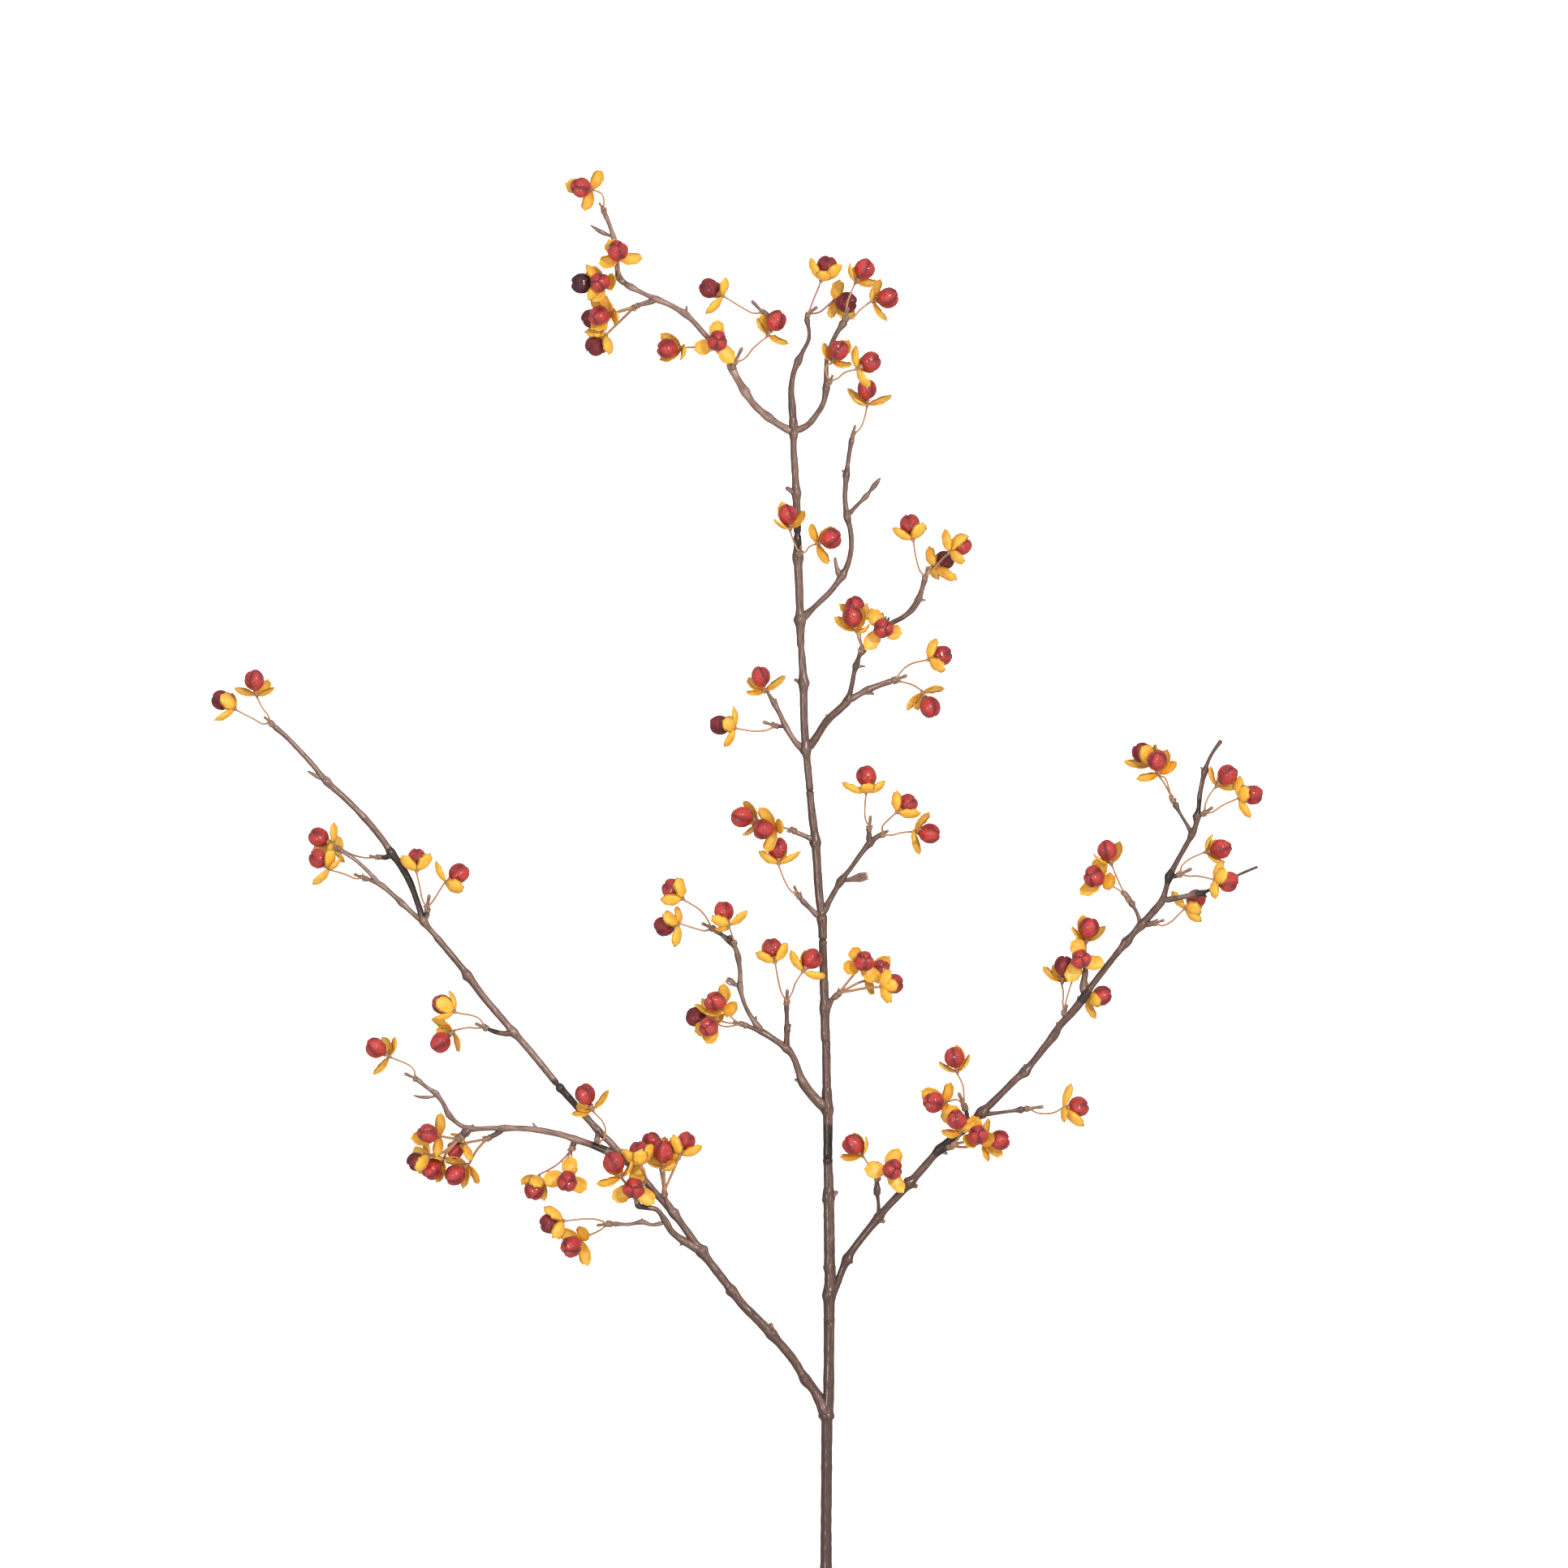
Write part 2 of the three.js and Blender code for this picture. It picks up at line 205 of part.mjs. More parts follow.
// ---------------------------------------------------------------------------------------- the bunches
// collar: where it leaves the twig, where it ends, and its radius. bud: the tip of the bud beyond it.
// berry: x, y, z and radius. seat: x, y and whether the berry is nearer the eye above than its seat (1)
// or farther (-1). husk: the x and y of the three tips, and whether each is above (1) or below (-1) the
// seat. stalk: the x and y that it passes between the collar and the seat, with a z where it matters.
const bunches = {
  crown_tip: { collar: [[-82.3, 453, 33], [-84, 457.5, 34.5], 1.7], bud: [-85.8, 460, 36], heads: [
    { berry: [-97, 469, 46, 6.5], seat: [-92.5, 468.3, 1], husk: [[-84.2, 480, 1], [-107.3, 471.5, 1], [-95, 454.6, 1]],
      stalk: [[-82.8, 460.5], [-84.3, 465.5]] }] },
  crown_shoulder: { collar: [[-73.4, 413.8, 28.8], [-74.2, 414.6, 31.6], 2], bud: null, heads: [
    { berry: [-74, 430.5, 44, 6.6], seat: [-74, 426.5, 1], husk: [[-58.8, 426, 1], [-86.3, 422.6, 1], [-80, 437.5, -1]],
      stalk: [[-73.4, 418.6, 33]] },
    { berry: [-85.5, 411, 39, 6.4], seat: [-84.3, 410.3, 1], husk: [[-93, 420.5, 1], [-89.5, 399, 1], [-75.8, 412, 1]],
      stalk: [[-77.6, 412.2]] },
    { berry: [-97, 410.5, 28, 6.5], seat: [-90, 410.6, -1], husk: [[-95, 422, 1], [-93.5, 400, 1], [-86, 411, -1]],
      stalk: [[-78, 411, 29], [-82.6, 409.6, 27.6]] }] },
  crown_low: { collar: [[-61.6, 397.2, 24.5], [-65.4, 395.2, 23.4], 1.9], bud: null, heads: [
    { berry: [-86, 390.5, 32.6, 6.6], seat: [-80.8, 391.4, 1], husk: [[-86.8, 404.5, 1], [-75, 388.5, 1], [-91, 382.5, 1]],
      stalk: [[-70, 394.6]] },
    { berry: [-91, 389, 19.5, 6], seat: [-84.6, 390.6, 1], husk: [[-92, 400.5, -1], [-79, 397, -1], [-84.5, 379.5, 1]],
      stalk: [[-70.5, 394, 21.5], [-76, 392.6, 19.5]] },
    { berry: [-88.4, 372.4, 8.5, 6.4], seat: [-83.6, 377.2, -1], husk: [[-95.3, 380.5, 1], [-80.8, 366.3, 1], [-86, 369, -1]],
      stalk: [[-71, 389.4, 18.5], [-76.6, 384.2, 12.5]] }] },
  crown_inner: { collar: [[-3.6, 357.6, 41.4], [-1.6, 362.6, 43], 1.9], bud: [2.4, 370.6, 44.5], heads: [
    { berry: [-44, 370, 46, 6.4], seat: [-37.6, 370.3, 1], husk: [[-48.6, 379, -1], [-49, 363, -1], [-35.6, 365.4, 1]],
      stalk: [[-7, 366.4, 40.6], [-20, 370.4, 40.6], [-28, 370.9]] },
    { berry: [-13, 374.2, 54, 6.6], seat: [-13.4, 373.6, 1], husk: [[-12.8, 387.8, 1], [-27.6, 369, 1], [-3, 360.8, 1]],
      stalk: [[-5.5, 367.6, 41], [-10.6, 371.6, 41]] },
    { berry: [23.4, 387, 54, 6.5], seat: [19.4, 380.4, 1], husk: [[11.6, 389, 1], [31.6, 373.2, 1], [14.6, 391.4, -1]],
      stalk: [[4, 364, 44.5], [9.6, 370.6, 48]] }] },
  crown_hook: { collar: [[17.4, 390.8, 43], [14, 393, 42.5], 1.9], bud: [8, 399.6, 42], heads: [
    { berry: [-18, 407.4, 45, 6.3], seat: [-11.8, 403.6, -1], husk: [[-9, 414, 1], [-20.6, 391.5, 1], [-17, 409, -1]],
      stalk: [[9.6, 391.6], [4, 394]] }] },
  crown_high: { collar: [[42.4, 389, 54], [43.2, 392, 54.2], 1.9], bud: [48.6, 395.4, 55], heads: [
    { berry: [54.4, 420.6, 56, 6.5], seat: [51.8, 413.8, -1], husk: [[44.6, 425.8, 1], [54, 417.4, 1], [63.6, 421.8, 1]],
      stalk: [[46, 399.4], [49.4, 407.6]] },
    { berry: [66.6, 398.2, 37, 6.7], seat: [61.4, 399.4, 1], husk: [[62.6, 412.8, 1], [57.4, 388.4, -1], [71.4, 388.4, -1]],
      stalk: [[47.6, 391.6, 48], [51.6, 393.6, 38.4]] }] },
  crown_right: { collar: [[65.5, 387, 52.2], [66.4, 390, 52.6], 2.3], bud: [67.6, 395, 53.5], heads: [
    { berry: [77.6, 418.8, 58, 6.3], seat: [73.6, 412.6, 1], husk: [[69.4, 422.4, 1], [86.8, 411, 1], [74, 420, -1]],
      stalk: [[66.8, 397], [69.6, 405]] },
    { berry: [92, 401, 56, 6.6], seat: [85, 399.4, 1], husk: [[88, 412.8, 1], [83.6, 405.6, 1], [92.4, 386.6, 1]],
      stalk: [[70.6, 389], [74.6, 393.4]] }] },
  crown_elbow: { collar: [[54.6, 347.4, 51], [56.6, 350.4, 52.4], 1.9], bud: [58.2, 353.6, 53.6], heads: [
    { berry: [62, 368.8, 61, 6.3], seat: [58.8, 363.6, 1], husk: [[52.6, 373.4, 1], [70, 360, 1], [68.4, 375, -1]],
      stalk: [[54.4, 353], [53.8, 358.6, 54]] },
    { berry: [81.6, 361.6, 54, 6.4], seat: [75.2, 358.4, -1], husk: [[72.6, 371.6, 1], [81.4, 346.2, 1], [83.6, 362, -1]],
      stalk: [[61, 351.4], [65.4, 355]] }] },
  upper_right: { collar: [[70, 315, 42.9], [70.8, 318, 43], 1.5], bud: [72, 323, 43.4], heads: [
    { berry: [79, 345.4, 40, 6.4], seat: [79, 338, 1], husk: [[67.2, 346, -1], [71, 340.2, 1], [94.8, 342, 1]],
      stalk: [[75, 321], [77.6, 327.6]] }] },
  upper_stem: { collar: [[37.4, 242.4, 46.4], [38, 245.4, 47.6], 2], bud: [38.6, 248.6, 49], heads: [
    { berry: [30.5, 268, 57, 6.1], seat: [31.4, 261.4, 1], husk: [[22.6, 265.2, 1], [40.6, 270.6, 1], [26.4, 276.4, -1]],
      stalk: [[35.6, 247.4, 49.4], [33.4, 252.4]] },
    { berry: [57, 253, 51, 6.6], seat: [50.8, 250.8, 1], husk: [[45, 262.8, 1], [55.6, 237.4, 1], [60, 259.8, -1]],
      stalk: [[41, 244.6], [43.6, 248]] }] },
  fork_up: { collar: [[75.3, 183, 42.3], [76.2, 187, 42.8], 2], bud: null, heads: [
    { berry: [72, 211.8, 38, 6.2], seat: [74.4, 205, 1], husk: [[77.6, 213.4, 1], [62, 213.6, -1], [82, 211, -1]],
      stalk: [[75, 192], [74.8, 197.6]] },
    { berry: [70, 205.2, 54, 6.3], seat: [72, 198.4, 1], husk: [[59, 205.2, 1], [79, 200, 1], [76.6, 211, -1]],
      stalk: [[73.6, 191.6]] },
    { berry: [89.2, 197.8, 54, 6.5], seat: [88, 197.4, 1], husk: [[82, 209.8, 1], [78, 184.2, 1], [101, 194.4, 1]],
      stalk: [[79, 190, 40.6], [84.4, 195.4, 40.4]] }] },
  fork_tip: { collar: [[114.6, 227.5, 43.2], [115.2, 230.6, 43.8], 2.1], bud: [116.4, 236, 44.6], heads: [
    { berry: [105.6, 262, 50, 6.3], seat: [106.9, 254.8, -1], husk: [[94.6, 260.4, 1], [113.4, 263.2, 1], [104, 264, -1]],
      stalk: [[111.4, 233.6], [108.8, 243]] },
    { berry: [127, 239.8, 30.5, 6.2], seat: [122.4, 236.6, -1], husk: [[117.6, 248.8, 1], [135, 228, 1], [121, 229.8, -1]],
      stalk: [[118, 232.4, 41.6]] },
    { berry: [137, 248.8, 58, 6.4], seat: [131.8, 245.4, -1], husk: [[127.4, 259.2, 1], [139.6, 239.2, 1], [140, 252, -1]],
      stalk: [[119.4, 233.4, 46], [124, 239, 50]] }] },
  fork_low: { collar: [[95, 165.5, 35.1], [97.6, 166.4, 35], 2.2], bud: [104, 168.8, 35.6], heads: [
    { berry: [125.4, 180.8, 39, 6.4], seat: [119.2, 179.2, -1], husk: [[122, 191.4, 1], [128, 172.8, 1], [125, 184, -1]],
      stalk: [[100.6, 171.8], [106.4, 176]] },
    { berry: [117.6, 149, 30, 6.6], seat: [114.4, 156, 1], husk: [[127.4, 160.4, 1], [103.8, 146.8, 1], [111, 147, -1]],
      stalk: [[102, 164.6], [107.4, 163]] }] },
  fork_left: { collar: [[18, 159, 31.5], [17, 160.8, 31.6], 1.2], bud: null, heads: [
    { berry: [13.6, 168.6, 38, 6.3], seat: [15.2, 162, 1], husk: [[29, 169.6, 1], [5, 158.6, 1], [5.8, 168.4, -1]],
      stalk: [] }] },
  fork_left_far: { collar: [[24.3, 137.6, 34], [21.6, 138, 33.8], 1.9], bud: [14.8, 140.2, 34], heads: [
    { berry: [-12, 138.6, 33, 6.2], seat: [-4.8, 137, -1], husk: [[-10.4, 141, 1], [-3.8, 150, 1], [-9.6, 124.8, -1]],
      stalk: [[17.6, 135.2], [9, 134.6]] }] },
  middle_left: { collar: [[35, 72.5, 36.4], [31.4, 74.2, 37.2], 2.1], bud: null, heads: [
    { berry: [1.7, 82, 39, 6.7], seat: [9, 80.2, 1], husk: [[2.4, 91.8, -1], [2.2, 70.8, 1], [4.4, 84, -1]],
      stalk: [[26, 75.8, 36.4], [19, 78]] },
    { berry: [14.8, 74.3, 52, 6.6], seat: [20.4, 75.4, 1], husk: [[26.4, 76, 1], [12.2, 87.4, 1], [16.6, 59.6, 1]],
      stalk: [] }] },
  middle_left_low: { collar: [[37.8, 32, 33.4], [36, 34.8, 33.8], 2.1], bud: [34.2, 39.6, 34.6], heads: [
    { berry: [24, 63, 34, 6.6], seat: [24.6, 55.4, -1], husk: [[38.2, 61.2, 1], [12.6, 61.4, 1], [24, 64, -1]],
      stalk: [[32, 36.4], [28.4, 42.4]] }] },
  middle_right_up: { collar: [[80.3, 73, 38.2], [80.6, 76, 38.8], 1.8], bud: [81.2, 82.6, 40], heads: [
    { berry: [78.6, 107, 46, 6.7], seat: [78.5, 99.4, -1], husk: [[63.4, 103.8, 1], [90.2, 104.2, 1], [80, 103.4, 1]],
      stalk: [[78, 81], [77.8, 88.6]] }] },
  middle_right: { collar: [[87.5, 70.5, 37.8], [89.8, 71.4, 38.2], 1.9], bud: [92.4, 73.4, 39], heads: [
    { berry: [104.4, 90.2, 44, 5.8], seat: [99.4, 86.2, -1], husk: [[98, 98.2, 1], [112.4, 84.4, 1], [105, 93, -1]],
      stalk: [[88.4, 75.4], [91.6, 79.4]] },
    { berry: [117.8, 71.4, 47, 6.5], seat: [110.8, 72.2, 1], husk: [[118.6, 84.6, 1], [112, 58.2, 1], [109.4, 67, 1]],
      stalk: [[94, 70.4], [100, 72]] }] },
  lower_right: { collar: [[59, -29.5, 29.8], [63.4, -25.4, 30.8], 2.3], bud: null, heads: [
    { berry: [77.3, -7, 49, 6.5], seat: [75.6, -9.4, 1], husk: [[70.4, 1.8, 1], [64.4, -11.4, 1], [87, -18.4, 1]],
      stalk: [[66.4, -21], [70, -16.6]] },
    { berry: [87.6, -11.6, 33, 5.8], seat: [82.6, -16, 1], husk: [[93.6, -4, -1], [94, -15.8, -1], [82, -27.6, 1]],
      stalk: [[68, -23.6, 31], [73.6, -20.6, 31]] },
    { berry: [95.6, -21, 46, 6.3], seat: [89.6, -22.2, -1], husk: [[94.4, -12.4, 1], [94.6, -32.2, 1], [98.6, -21, 1]],
      stalk: [[69, -25.4], [76, -24]] }] },
  inner_up: { collar: [[29.7, -34, 33.6], [29.8, -31, 34], 1.9], bud: [30, -24.4, 34.8], heads: [
    { berry: [20.8, 1.2, 42, 6.3], seat: [22, -5.2, -1], husk: [[10.4, -0.8, 1], [29.6, 5.2, 1], [20, 5, -1]],
      stalk: [[26.4, -26.4], [24.6, -19.4]] },
    { berry: [45.4, -5.4, 45, 6.4], seat: [41.2, -11.2, -1], husk: [[32.4, 0, 1], [54, -15.8, 1], [45, -2, -1]],
      stalk: [[33, -26.4], [35, -20.6]] }] },
  inner_low: { collar: [[5.5, -47, 29.4], [0, -45.2, 30], 1.9], bud: [-3.6, -44.4, 30.6], heads: [
    { berry: [-14.4, -31.8, 46, 6.6], seat: [-11, -35, 1], husk: [[-9.2, -20.4, 1], [-0.8, -36, 1], [-20.6, -38.4, 1]],
      stalk: [[-3, -43, 32]] },
    { berry: [-26.6, -42, 31, 6.4], seat: [-19.4, -42.6, -1], husk: [[-23, -30, 1], [-22, -54, -1], [-27.6, -34, -1]],
      stalk: [[-6, -45.2, 30.6]] },
    { berry: [-18.5, -47.5, 46, 6.2], seat: [-15.4, -46.4, 1], husk: [[-20, -58, 1], [-12.4, -38.4, -1], [-27.4, -50.6, 1]],
      stalk: [[-3.4, -47, 30], [-8.6, -47.4, 31]] }] },
  inner_stem: { collar: [[-2.2, 3, 37], [-3, 6, 38.2], 1.6], bud: null, heads: [
    { berry: [-9, 23.8, 46, 6.4], seat: [-6.8, 17.4, -1], husk: [[-16.4, 21.6, 1], [5.4, 24.4, 1], [-13.6, 13.6, -1]],
      stalk: [] }] },
  inner_far: { collar: [[-14.7, 12.3, 36.5], [-17.4, 13.6, 37], 2], bud: [-22.8, 16.4, 37.6], heads: [
    { berry: [-41, 37.4, 44, 6.5], seat: [-36, 33, -1], husk: [[-38.4, 44.6, 1], [-48.2, 31.4, 1], [-42, 39, -1]],
      stalk: [[-19.6, 19.4], [-24.4, 25]] },
    { berry: [-46, 14.5, 32, 6.4], seat: [-39.6, 15.4, -1], husk: [[-47.2, 21.6, 1], [-38, 26.4, -1], [-39.8, 1.6, 1]],
      stalk: [[-20.4, 11.6], [-26, 12.8]] }] },
  left_tip: { collar: [[-286, 138, 49.8], [-288.6, 140.6, 50.2], 1.9], bud: [-292, 143.6, 51], heads: [
    { berry: [-318, 153.8, 50, 6.3], seat: [-311.8, 149.6, -1], husk: [[-318.6, 157.4, 1], [-323, 141.6, -1], [-314, 157, -1]],
      stalk: [[-292.6, 139, 49.6], [-298.6, 142.2]] },
    { berry: [-297.6, 166, 54, 6.4], seat: [-296.6, 159.2, 1], husk: [[-310.2, 161.6, 1], [-285.4, 161.6, 1], [-289.6, 167, -1]],
      stalk: [[-289.4, 144.4], [-292.6, 148.4]] }] },
  left_upper: { collar: [[-191.6, 23.6, 39.3], [-191.8, 26.6, 39.8], 1.9], bud: [-190.4, 34, 41], heads: [
    { berry: [-198, 57, 47, 5.7], seat: [-197.9, 51, -1], husk: [[-207, 58.8, 1], [-189.6, 60, 1], [-198, 59, -1]],
      stalk: [[-194.6, 31], [-196, 38.6]] },
    { berry: [-172, 47, 46, 6.5], seat: [-177.8, 43, -1], husk: [[-185.4, 55.4, 1], [-168.2, 38.6, 1], [-171.4, 36.2, -1]],
      stalk: [[-188.4, 29.4], [-185, 34.6]] }] },
  left_black: { collar: [[-219.8, 57, 42], [-223, 57, 42], 1.7], bud: [-227.4, 58, 42.4], heads: [
    { berry: [-259, 69, 31, 6.4], seat: [-252.4, 66.4, -1], husk: [[-249.6, 78.6, 1], [-254.6, 56.4, 1], [-260, 62, -1]],
      stalk: [[-228, 56.4, 39.6], [-236, 57.8, 33], [-242, 60.5, 31.5]] }] },
  left_low_tip: { collar: [[-245.5, 61.5, 39.8], [-248, 63, 40], 1.6], bud: null, heads: [
    { berry: [-255, 61.6, 15, 5.8], seat: [-250.4, 60.4, -1], husk: [[-246.6, 69.4, -1], [-245.2, 53.6, 1], [-264, 60, -1]],
      stalk: [[-249.4, 62.2, 30]] }] },
  left_low: { collar: [[-228.5, 43.4, 35.1], [-232, 44.6, 35.2], 1.8], bud: [-237, 46.6, 35.6], heads: [
    { berry: [-258.6, 56, 46, 6.1], seat: [-253.4, 51.6, -1], husk: [[-262.4, 40.4, 1], [-251.6, 62.2, 1], [-245.8, 57.6, 1]],
      stalk: [[-236, 43.8], [-242, 46.4]] }] },
  left_twig: { collar: [[-154.6, -48.8, 33], [-157.4, -47.4, 33], 1.9], bud: [-162.4, -45.4, 33.4], heads: [
    { berry: [-183, -33.4, 37, 6.3], seat: [-177, -36.8, -1], husk: [[-186.4, -30.2, 1], [-178.8, -25.4, -1], [-188, -42.4, -1]],
      stalk: [[-158.6, -43.6], [-163, -40.8]] },
    { berry: [-184, -57.4, 29, 6.5], seat: [-178, -52.4, 1], husk: [[-189.4, -43, 1], [-172.8, -63.4, 1], [-187, -52, -1]],
      stalk: [[-161, -48.4], [-167, -48.2]] }] },
  left_arm_tip: { collar: [[-198.2, -80.2, 28], [-200, -79, 28.2], 1.8], bud: [-206, -76.2, 29], heads: [
    { berry: [-223.6, -60.4, 32, 6.5], seat: [-217.4, -64.4, 1], husk: [[-212.4, -53.2, 1], [-226, -76.8, 1], [-220.4, -54, -1]],
      stalk: [[-199.6, -75], [-203.4, -71]] }] },
  left_arm_end: { collar: [[-170, -114.5, 21.6], [-173.6, -117.6, 21], 2.5], bud: [-177.4, -119.6, 20.6], heads: [
    { berry: [-191.6, -113.4, 26, 6.4], seat: [-186.4, -114.6, 1], husk: [[-184, -100.4, 1], [-202.6, -116.6, 1], [-187, -128, 1]],
      stalk: [[-177, -116.4]] },
    { berry: [-199, -131, 19, 5.8], seat: [-193.4, -128.4, 1], husk: [[-200.4, -134.6, 1], [-195.6, -118.4, -1], [-202, -126, -1]],
      stalk: [[-177.6, -121.4], [-182.6, -125.4]] },
    { berry: [-189.4, -136.6, 6.1, 6.2], seat: [-184.4, -131.6, 1], husk: [[-187, -144.4, 1], [-191, -129, 1], [-198, -138.6, 1]],
      stalk: [[-177.4, -122.4, 19.5], [-180.8, -126.4, 14.5]] }] },
  left_arm_twig: { collar: [[-153, -115.6, 22.4], [-156, -117.2, 22], 2.1], bud: null, heads: [
    { berry: [-175, -124.8, 9, 5], seat: [-170.6, -121.6, -1], husk: [[-166.4, -131, 1], [-178, -114.8, -1], [-179, -124, -1]],
      stalk: [[-161, -118]] },
    { berry: [-175.4, -139, 13, 6.5], seat: [-169.4, -134.6, 1], husk: [[-160.8, -145.2, 1], [-171, -148.2, -1], [-182, -130.4, 1]],
      stalk: [[-158.6, -120.4], [-162, -124.6]] }] },
  left_arm_drop: { collar: [[-102.2, -121.2, 25.4], [-103.6, -124.2, 25], 2.1], bud: [-105.6, -127.6, 25], heads: [
    { berry: [-105.5, -142.5, 34, 6.7], seat: [-105.2, -141.8, 1], husk: [[-103.2, -127, 1], [-120.8, -141.4, 1], [-93.4, -148, 1]],
      stalk: [[-103, -128, 19.4], [-104, -135, 17.6]] },
    { berry: [-126, -148.4, 24, 6.3], seat: [-124, -142.4, 1], husk: [[-126, -147, 1], [-120.2, -155.8, 1], [-134.2, -145.6, -1]],
      stalk: [[-107, -128], [-113, -133.4]] }] },
  left_spur: { collar: [[-87, -116, 34], [-87, -118.6, 35], 1.8], bud: null, heads: [
    { berry: [-94.6, -89, 46, 6.4], seat: [-91, -96.2, 1], husk: [[-80.2, -85.2, 1], [-103.4, -100.4, 1], [-99.4, -94, -1]],
      stalk: [[-83.4, -117.2], [-81.8, -112], [-83.6, -106]] }] },
  left_fork: { collar: [[-62.4, -156.2, 34.4], [-63.2, -152.8, 35], 2], bud: null, heads: [
    { berry: [-64.6, -146.6, 48, 6.9], seat: [-64.2, -146.8, 1], husk: [[-60.6, -131.8, 1], [-78.2, -153.2, 1], [-51.2, -156.4, 1]],
      stalk: [] },
    { berry: [-77, -131, 50, 6.8], seat: [-73.4, -137.6, 1], husk: [[-66, -129.2, 1], [-87.4, -143.8, 1], [-80, -128, -1]],
      stalk: [[-66.6, -149.4, 33.4], [-69, -144.4, 36]] },
    { berry: [-61, -123.6, 45, 6.2], seat: [-60.4, -130.2, -1], husk: [[-71.8, -122.2, -1], [-60.8, -122.2, 1], [-53.4, -119, 1]],
      stalk: [[-60.6, -148.4, 33.2], [-57, -141, 33.8]] }] },
  left_knee: { collar: [[-45.4, -152, 30.2], [-46, -148.4, 31.4], 2.1], bud: null, heads: [
    { berry: [-32, -118, 40, 6], seat: [-34.8, -124, -1], husk: [[-39.8, -113.4, 1], [-22, -120, 1], [-43, -126.6, -1]],
      stalk: [[-43.4, -143.4], [-40.6, -137]] },
    { berry: [-46, -123.4, 46, 6.7], seat: [-46, -131.4, 1], husk: [[-40.2, -131.4, 1], [-56, -127.6, -1], [-38.4, -123, -1]],
      stalk: [[-45.6, -143]] },
    { berry: [-53.5, -118, 31, 6], seat: [-51, -125.2, 1], husk: [[-62.6, -122, -1], [-45.6, -114.6, -1], [-52.4, -117, -1]],
      stalk: [[-46.8, -143, 30.6], [-48.2, -135, 30]] }] },
  left_fork_low: { collar: [[-78.3, -169.2, 23.2], [-82, -169.4, 22.8], 2.1], bud: [-87.6, -170.2, 22.8], heads: [
    { berry: [-116.5, -169, 22, 6.4], seat: [-110.2, -167.8, -1], husk: [[-114.8, -177.6, 1], [-120.4, -158.8, 1], [-118, -168, -1]],
      stalk: [[-85.6, -166.9], [-93, -166]] },
    { berry: [-103.4, -183.4, 14, 6.7], seat: [-99.4, -180.4, 1], husk: [[-94.6, -172.2, 1], [-93.6, -195.8, 1], [-112, -174.4, 1]],
      stalk: [[-84.6, -172.6, 20], [-88.6, -174.8, 15]] }] },
  right_low: { collar: [[85.3, -142.8, 27.2], [85.4, -139.8, 27.4], 1.8], bud: null, heads: [
    { berry: [95, -135, 42, 6.5], seat: [92.6, -135.8, 1], husk: [[98.8, -122.2, 1], [77, -135, 1], [102, -149.8, 1]],
      stalk: [[87.4, -138, 28.4]] },
    { berry: [70, -120, 36, 6.4], seat: [74.4, -125, 1], husk: [[77.6, -115, 1], [62.2, -127, 1], [70.6, -112.6, -1]],
      stalk: [[83.6, -137.4, 28.4]] }] },
  right_bend: { collar: [[128.6, -121.8, 31], [132.6, -120.4, 31.6], 2.3], bud: null, heads: [
    { berry: [147.4, -114, 46, 6.4], seat: [147.2, -116.4, 1], husk: [[144, -101.8, 1], [138.8, -117.6, 1], [157, -116, 1]],
      stalk: [[136.8, -119]] },
    { berry: [161, -117.4, 36, 6.3], seat: [153.8, -118.4, 1], husk: [[155.2, -103.2, 1], [154.6, -130.8, 1], [163, -126.4, -1]],
      stalk: [[137.4, -121.8, 30.6], [143, -121, 30.6]] },
    { berry: [134.4, -104.6, 50, 6.2], seat: [136, -110, 1], husk: [[125, -112.2, 1], [130, -95, 1], [145, -105, -1]],
      stalk: [[134.6, -117.2, 35]] }] },
  right_back: { collar: [[139.9, -98.6, 33], [138.8, -95.4, 34], 2.2], bud: [135.4, -88, 35], heads: [
    { berry: [133, -66, 42, 6.3], seat: [134.2, -72.6, 1], husk: [[123.2, -68.8, 1], [141.8, -64, 1], [134, -58.2, -1]],
      stalk: [[138.8, -90], [138.2, -83.6]] },
    { berry: [120, -93.6, 42, 6.7], seat: [125.2, -93.8, 1], husk: [[112, -87, 1], [130.4, -81.4, 1], [128.6, -108, 1]],
      stalk: [[134.4, -92.4, 34]] }] },
  right_low_tip: { collar: [[176.6, -98.3, 26.1], [180, -97.6, 25.4], 1.9], bud: [188, -96.8, 25], heads: [
    { berry: [209.8, -97, 6.3, 6.4], seat: [203.2, -97.8, -1], husk: [[205.8, -82.6, 1], [202.6, -105.4, 1], [213.4, -108.8, 1]],
      stalk: [[183.6, -100.6, 23.4], [189.6, -101.4, 17.4], [195, -100.6, 12]] }] },
  right_thumb: { collar: [[200.8, -40, 39.8], [200.2, -37, 40.6], 1.9], bud: [202.6, -33.8, 42], heads: [
    { berry: [200.5, -9.6, 37, 6.2], seat: [199.6, -17.4, 1], husk: [[187.4, -10, 1], [208.4, -11, -1], [196, -7.4, -1]],
      stalk: [[199.6, -32.6], [200, -27]] },
    { berry: [210.6, -5.5, 55, 6.4], seat: [210, -6.4, 1], husk: [[208.2, 7.2, 1], [202.6, -19.8, 1], [225.4, -8.4, 1]],
      stalk: [[201.8, -31], [204.6, -21.4, 40.4], [208, -12.4, 40.6]] }] },
  right_riser: { collar: [[213.6, -9.5, 35.4], [213.6, -6.4, 35], 1.7], bud: null, heads: [
    { berry: [216, 14, 43, 6.4], seat: [214.6, 7.4, 1], husk: [[205.2, 14.4, 1], [226.2, 15.4, 1], [212, 21.6, -1]],
